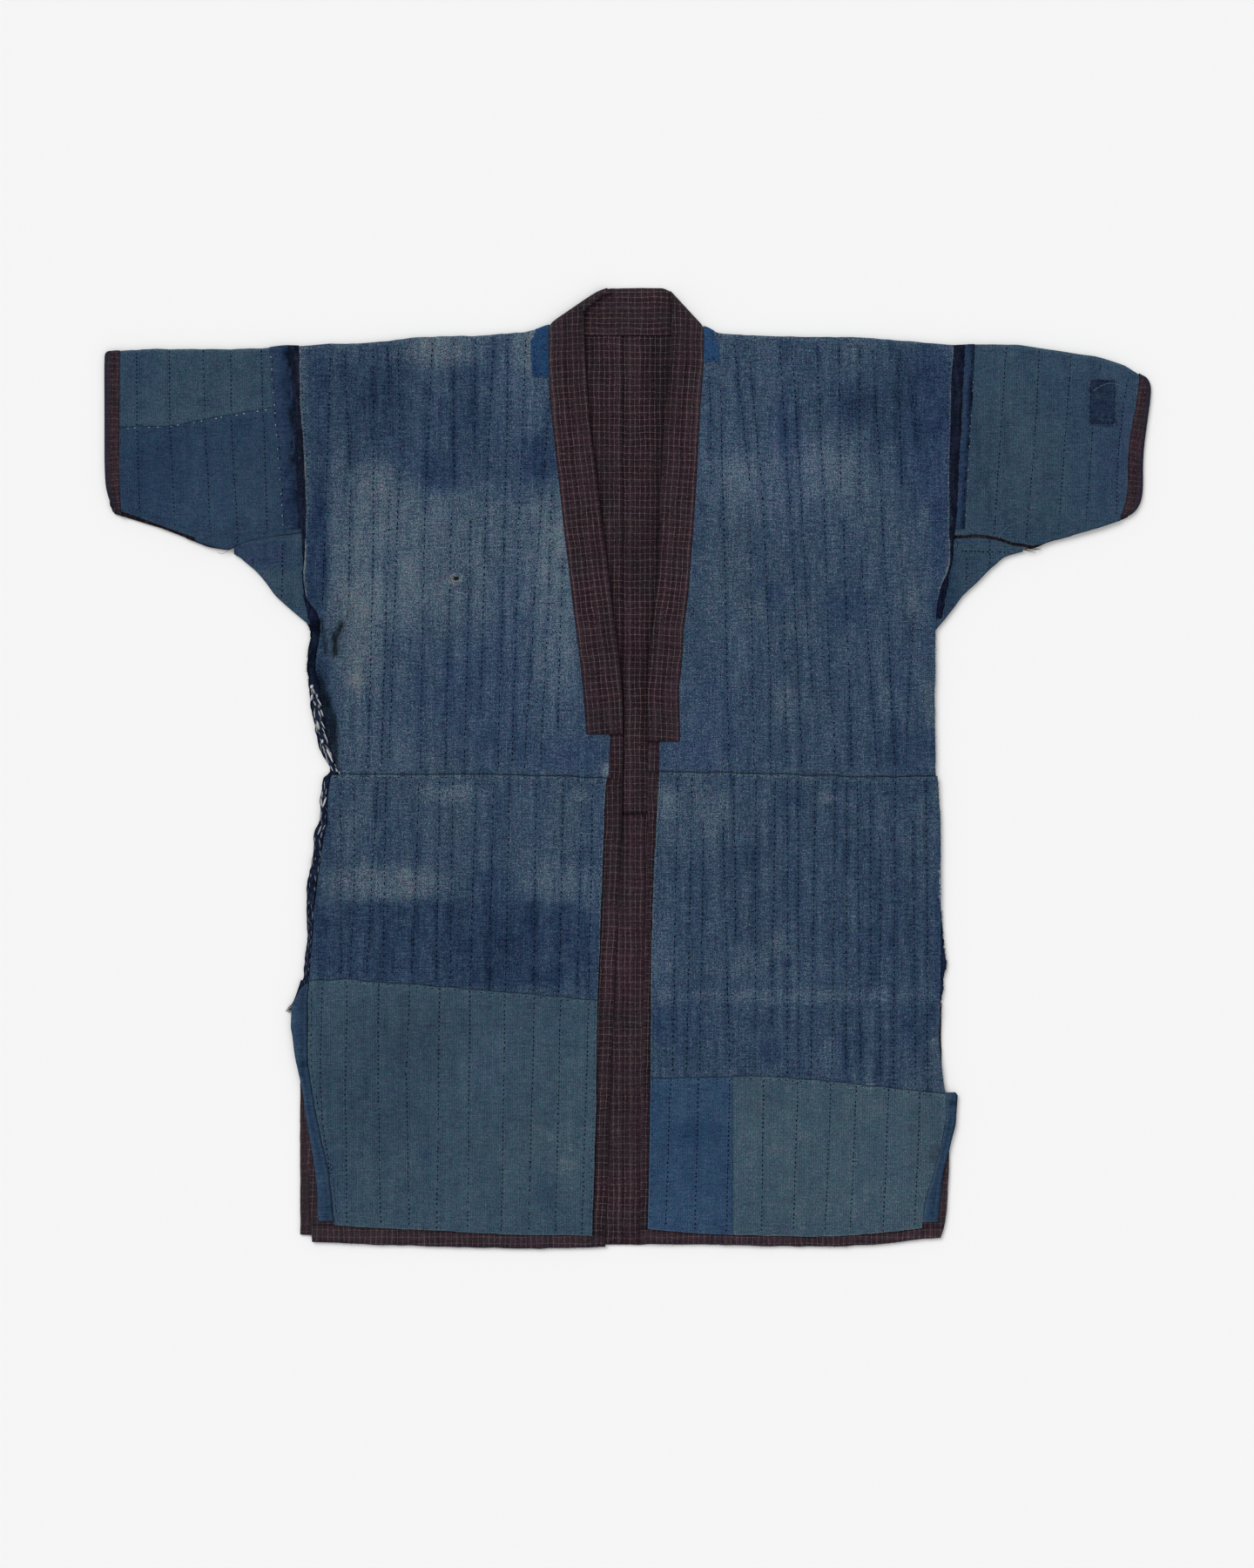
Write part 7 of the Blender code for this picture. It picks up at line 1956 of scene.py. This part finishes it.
def make_materials():
    blue = lambda r, g, b: tuple((at, (min(255, c[0] * r), min(255, c[1] * g), min(255, c[2] * b))) for at, c in BLUE)
    MATERIALS.update(
        faded_lining=plain_cloth("faded_lining"),
        teal_panel=plain_cloth("teal_panel", blue=blue(1.15, 1.11, 0.99), mottle=0.25, streak=0.06, ribs=0.06, flecks=0.25, specks=0.25, slub=(0.9, 9.0), pucker_shade=0.05, pinstripe=0.055, bump=0.5),
        blue_panel=plain_cloth("blue_panel", blue=blue(0.98, 1.03, 1.05), mottle=0.27, streak=0.06, ribs=0.08, flecks=0.2, specks=0.2, slub=(0.9, 8.0), warmth=0.06, pucker_shade=0.05, pinstripe=0.04, bump=0.5),
        teal_sleeve=plain_cloth("teal_sleeve", blue=blue(1.12, 1.09, 0.99), mottle=0.27, streak=0.06, ribs=0.06, flecks=0.2, specks=0.25, slub=(0.9, 8.0), warmth=0.14, pucker_shade=0.05, pinstripe=0.045, bump=0.5),
        blue_sleeve=plain_cloth("blue_sleeve", blue=blue(1.0, 0.99, 0.97), mottle=0.25, streak=0.05, ribs=0.06, flecks=0.15, specks=0.2, slub=(0.9, 8.0), warmth=0.1, pucker_shade=0.05, pinstripe=0.035, bump=0.5),
        bright_patch=plain_cloth("bright_patch", blue=blue(0.76, 0.96, 1.08), mottle=0.3, streak=0.06, ribs=0.06, flecks=0.15, specks=0.15, slub=(0.9, 6.0), warmth=0.0, pucker_shade=0.06),
        bright_facing=plain_cloth("bright_facing", blue=blue(0.97, 0.98, 0.97), mottle=0.18, streak=0.05, ribs=0.09, flecks=0.2, specks=0.15, slub=(0.9, 6.0), warmth=0.02, pucker_shade=0.06),
        navy_strip=plain_cloth("navy_strip", blue=blue(0.9, 0.89, 0.95), mottle=0.24, streak=0.06, ribs=0.08, flecks=0.2, specks=0.3, slub=(0.9, 6.0), warmth=0.04, pucker_shade=0.08),
        navy_patch=plain_cloth("navy_patch", blue=blue(0.82, 0.82, 0.88), mottle=0.3, streak=0.05, ribs=0.07, flecks=0.15, specks=0.25, slub=(0.9, 6.0), warmth=0.04, pucker_shade=0.06),
        dark_cloth=plain_cloth("dark_cloth", blue=blue(0.66, 0.57, 0.67), warm=tuple((at, (c[0] * 0.62, c[1] * 0.52, c[2] * 0.52)) for at, c in WARM), mottle=0.26, streak=0.12, ribs=0.04, flecks=0.26, specks=0.4, slub=(0.8, 5.0), warmth=0.2, pucker_shade=0.1),
        rolled_cloth=plain_cloth("rolled_cloth", blue=blue(0.55, 0.55, 0.66), mottle=0.12, streak=0.05, ribs=0.03, flecks=0.1, specks=0.3, slub=(0.9, 4.0), warmth=0.1, pucker_shade=0.08),
        check=checked_cloth("check"),
        cuff_check=checked_cloth("cuff_check", across=5.0, along=5.5, ground=((0.0, (20, 15, 21)), (0.4, (40, 32, 39)), (0.7, (56, 44, 50)), (1.0, (78, 60, 66))), lines=(100, 84, 88), strong=0.12, weak=0.3),
        dark_thread=thread_cloth("dark_thread", (0.0, (8, 13, 24)), (0.5, (17, 25, 41)), (1.0, (36, 50, 70))),
        pale_thread=thread_cloth("pale_thread", (0.0, (80, 94, 106)), (0.5, (122, 140, 156)), (1.0, (186, 204, 220))),
        grey_thread=thread_cloth("grey_thread", (0.0, (60, 64, 74)), (0.5, (138, 142, 148)), (1.0, (214, 214, 214))),
        brown_thread=thread_cloth("brown_thread", (0.0, (34, 28, 32)), (0.5, (78, 66, 64)), (1.0, (194, 176, 162))),
    )


MATERIALS = {}


# ---------------------------------------------------------------- the floor, the lights and the camera
def stage():
    bpy.ops.mesh.primitive_plane_add(size=5.0, location=(0, 0, -0.0002))
    floor = bpy.context.active_object
    floor.name = "floor"
    m = bpy.data.materials.new("floor")
    m.use_nodes = True
    shader = m.node_tree.nodes["Principled BSDF"]
    shader.inputs["Base Color"].default_value = (0.803, 0.803, 0.803, 1)
    shader.inputs["Roughness"].default_value = 1.0
    shader.inputs["Specular IOR Level"].default_value = 0.0
    floor.data.materials.append(m)
    lamps = [floor]
    for name, strength, azimuth, elevation, spread in (("key", 1.95, 130, 46, 38), ("fill", 0.55, -25, 52, 70)):
        data = bpy.data.lights.new(name, "SUN")
        data.energy = strength
        data.angle = math.radians(spread)
        lamp = bpy.data.objects.new(name, data)
        a, e = math.radians(azimuth), math.radians(elevation)
        way = Vector((math.cos(e) * math.cos(a), math.cos(e) * math.sin(a), math.sin(e)))
        lamp.rotation_euler = way.to_track_quat("Z", "Y").to_euler()
        lamp.location = way * 3
        bpy.context.scene.collection.objects.link(lamp)
        lamps.append(lamp)
    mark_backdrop(*lamps)
    world = bpy.data.worlds.new("studio")
    world.use_nodes = True
    back = world.node_tree.nodes["Background"]
    back.inputs[0].default_value = (1, 1, 1, 1)
    back.inputs[1].default_value = 0.56
    bpy.context.scene.world = world
    view = bpy.context.scene.view_settings
    view.view_transform, view.look, view.exposure, view.gamma = "Standard", "None", 0.0, 1.0
    # straight above, 4 m up: the frame is 1.2384 m by 1.548 m of the surface
    data = bpy.data.cameras.new("camera")
    data.sensor_fit, data.sensor_height, data.lens = "VERTICAL", 24.0, 24.0 * 4.0 / 1.548
    data.dof.use_dof = False
    data.clip_end = 20.0
    camera = bpy.data.objects.new("camera", data)
    camera.location = (-0.43 * MM, -15.48 * MM, 4.0)
    bpy.context.scene.collection.objects.link(camera)
    bpy.context.scene.camera = camera


# ---------------------------------------------------------------- all of it
def main():
    make_materials()
    upper_panels()
    lower_fronts()
    lower_backs()
    sleeves()
    collar()
    trims()
    side_rolls()
    for made, nodes, slot, cloth_name, rests_on, more in MADE:
        made.data.materials.append(MATERIALS[cloth_name])
        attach(made, "root")
        # the piece takes the place of its solid
        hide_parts(*nodes)
    stitches()
    frays()
    extra = {
        "dark": gather("dark", "running_stitches", "dark_thread", "navy"),
        "pale": gather("pale", "pale_threads", "pale_thread", "grey_teal"),
        "grey": gather("grey", "overcasting", "grey_thread", "dark_allowance"),
        "under": gather("under", "back_stitches", "dark_thread", "navy"),
        "brown": gather("brown", "frayed_ends", "brown_thread", "cuff_check"),
    }
    for made, nodes, slot, cloth_name, rests_on, more in MADE:
        w, l = made["span"]
        area = made["area"]
        if area < 0.32 * w * l:
            w = area / l * 1.05
        w, l = max(w, 0.0102), max(l, 0.0102)
        area = min(area, w * l)
    stage()
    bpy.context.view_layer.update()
    total = 0
    for o in bpy.data.objects:
        if o.type == "MESH" and "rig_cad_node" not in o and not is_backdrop(o):
            n = sum(len(p.vertices) - 2 for p in o.data.polygons)
            total += n
            if n > 60000:
                print("triangles", o.name, n)
    print("triangles in all", total)


main()
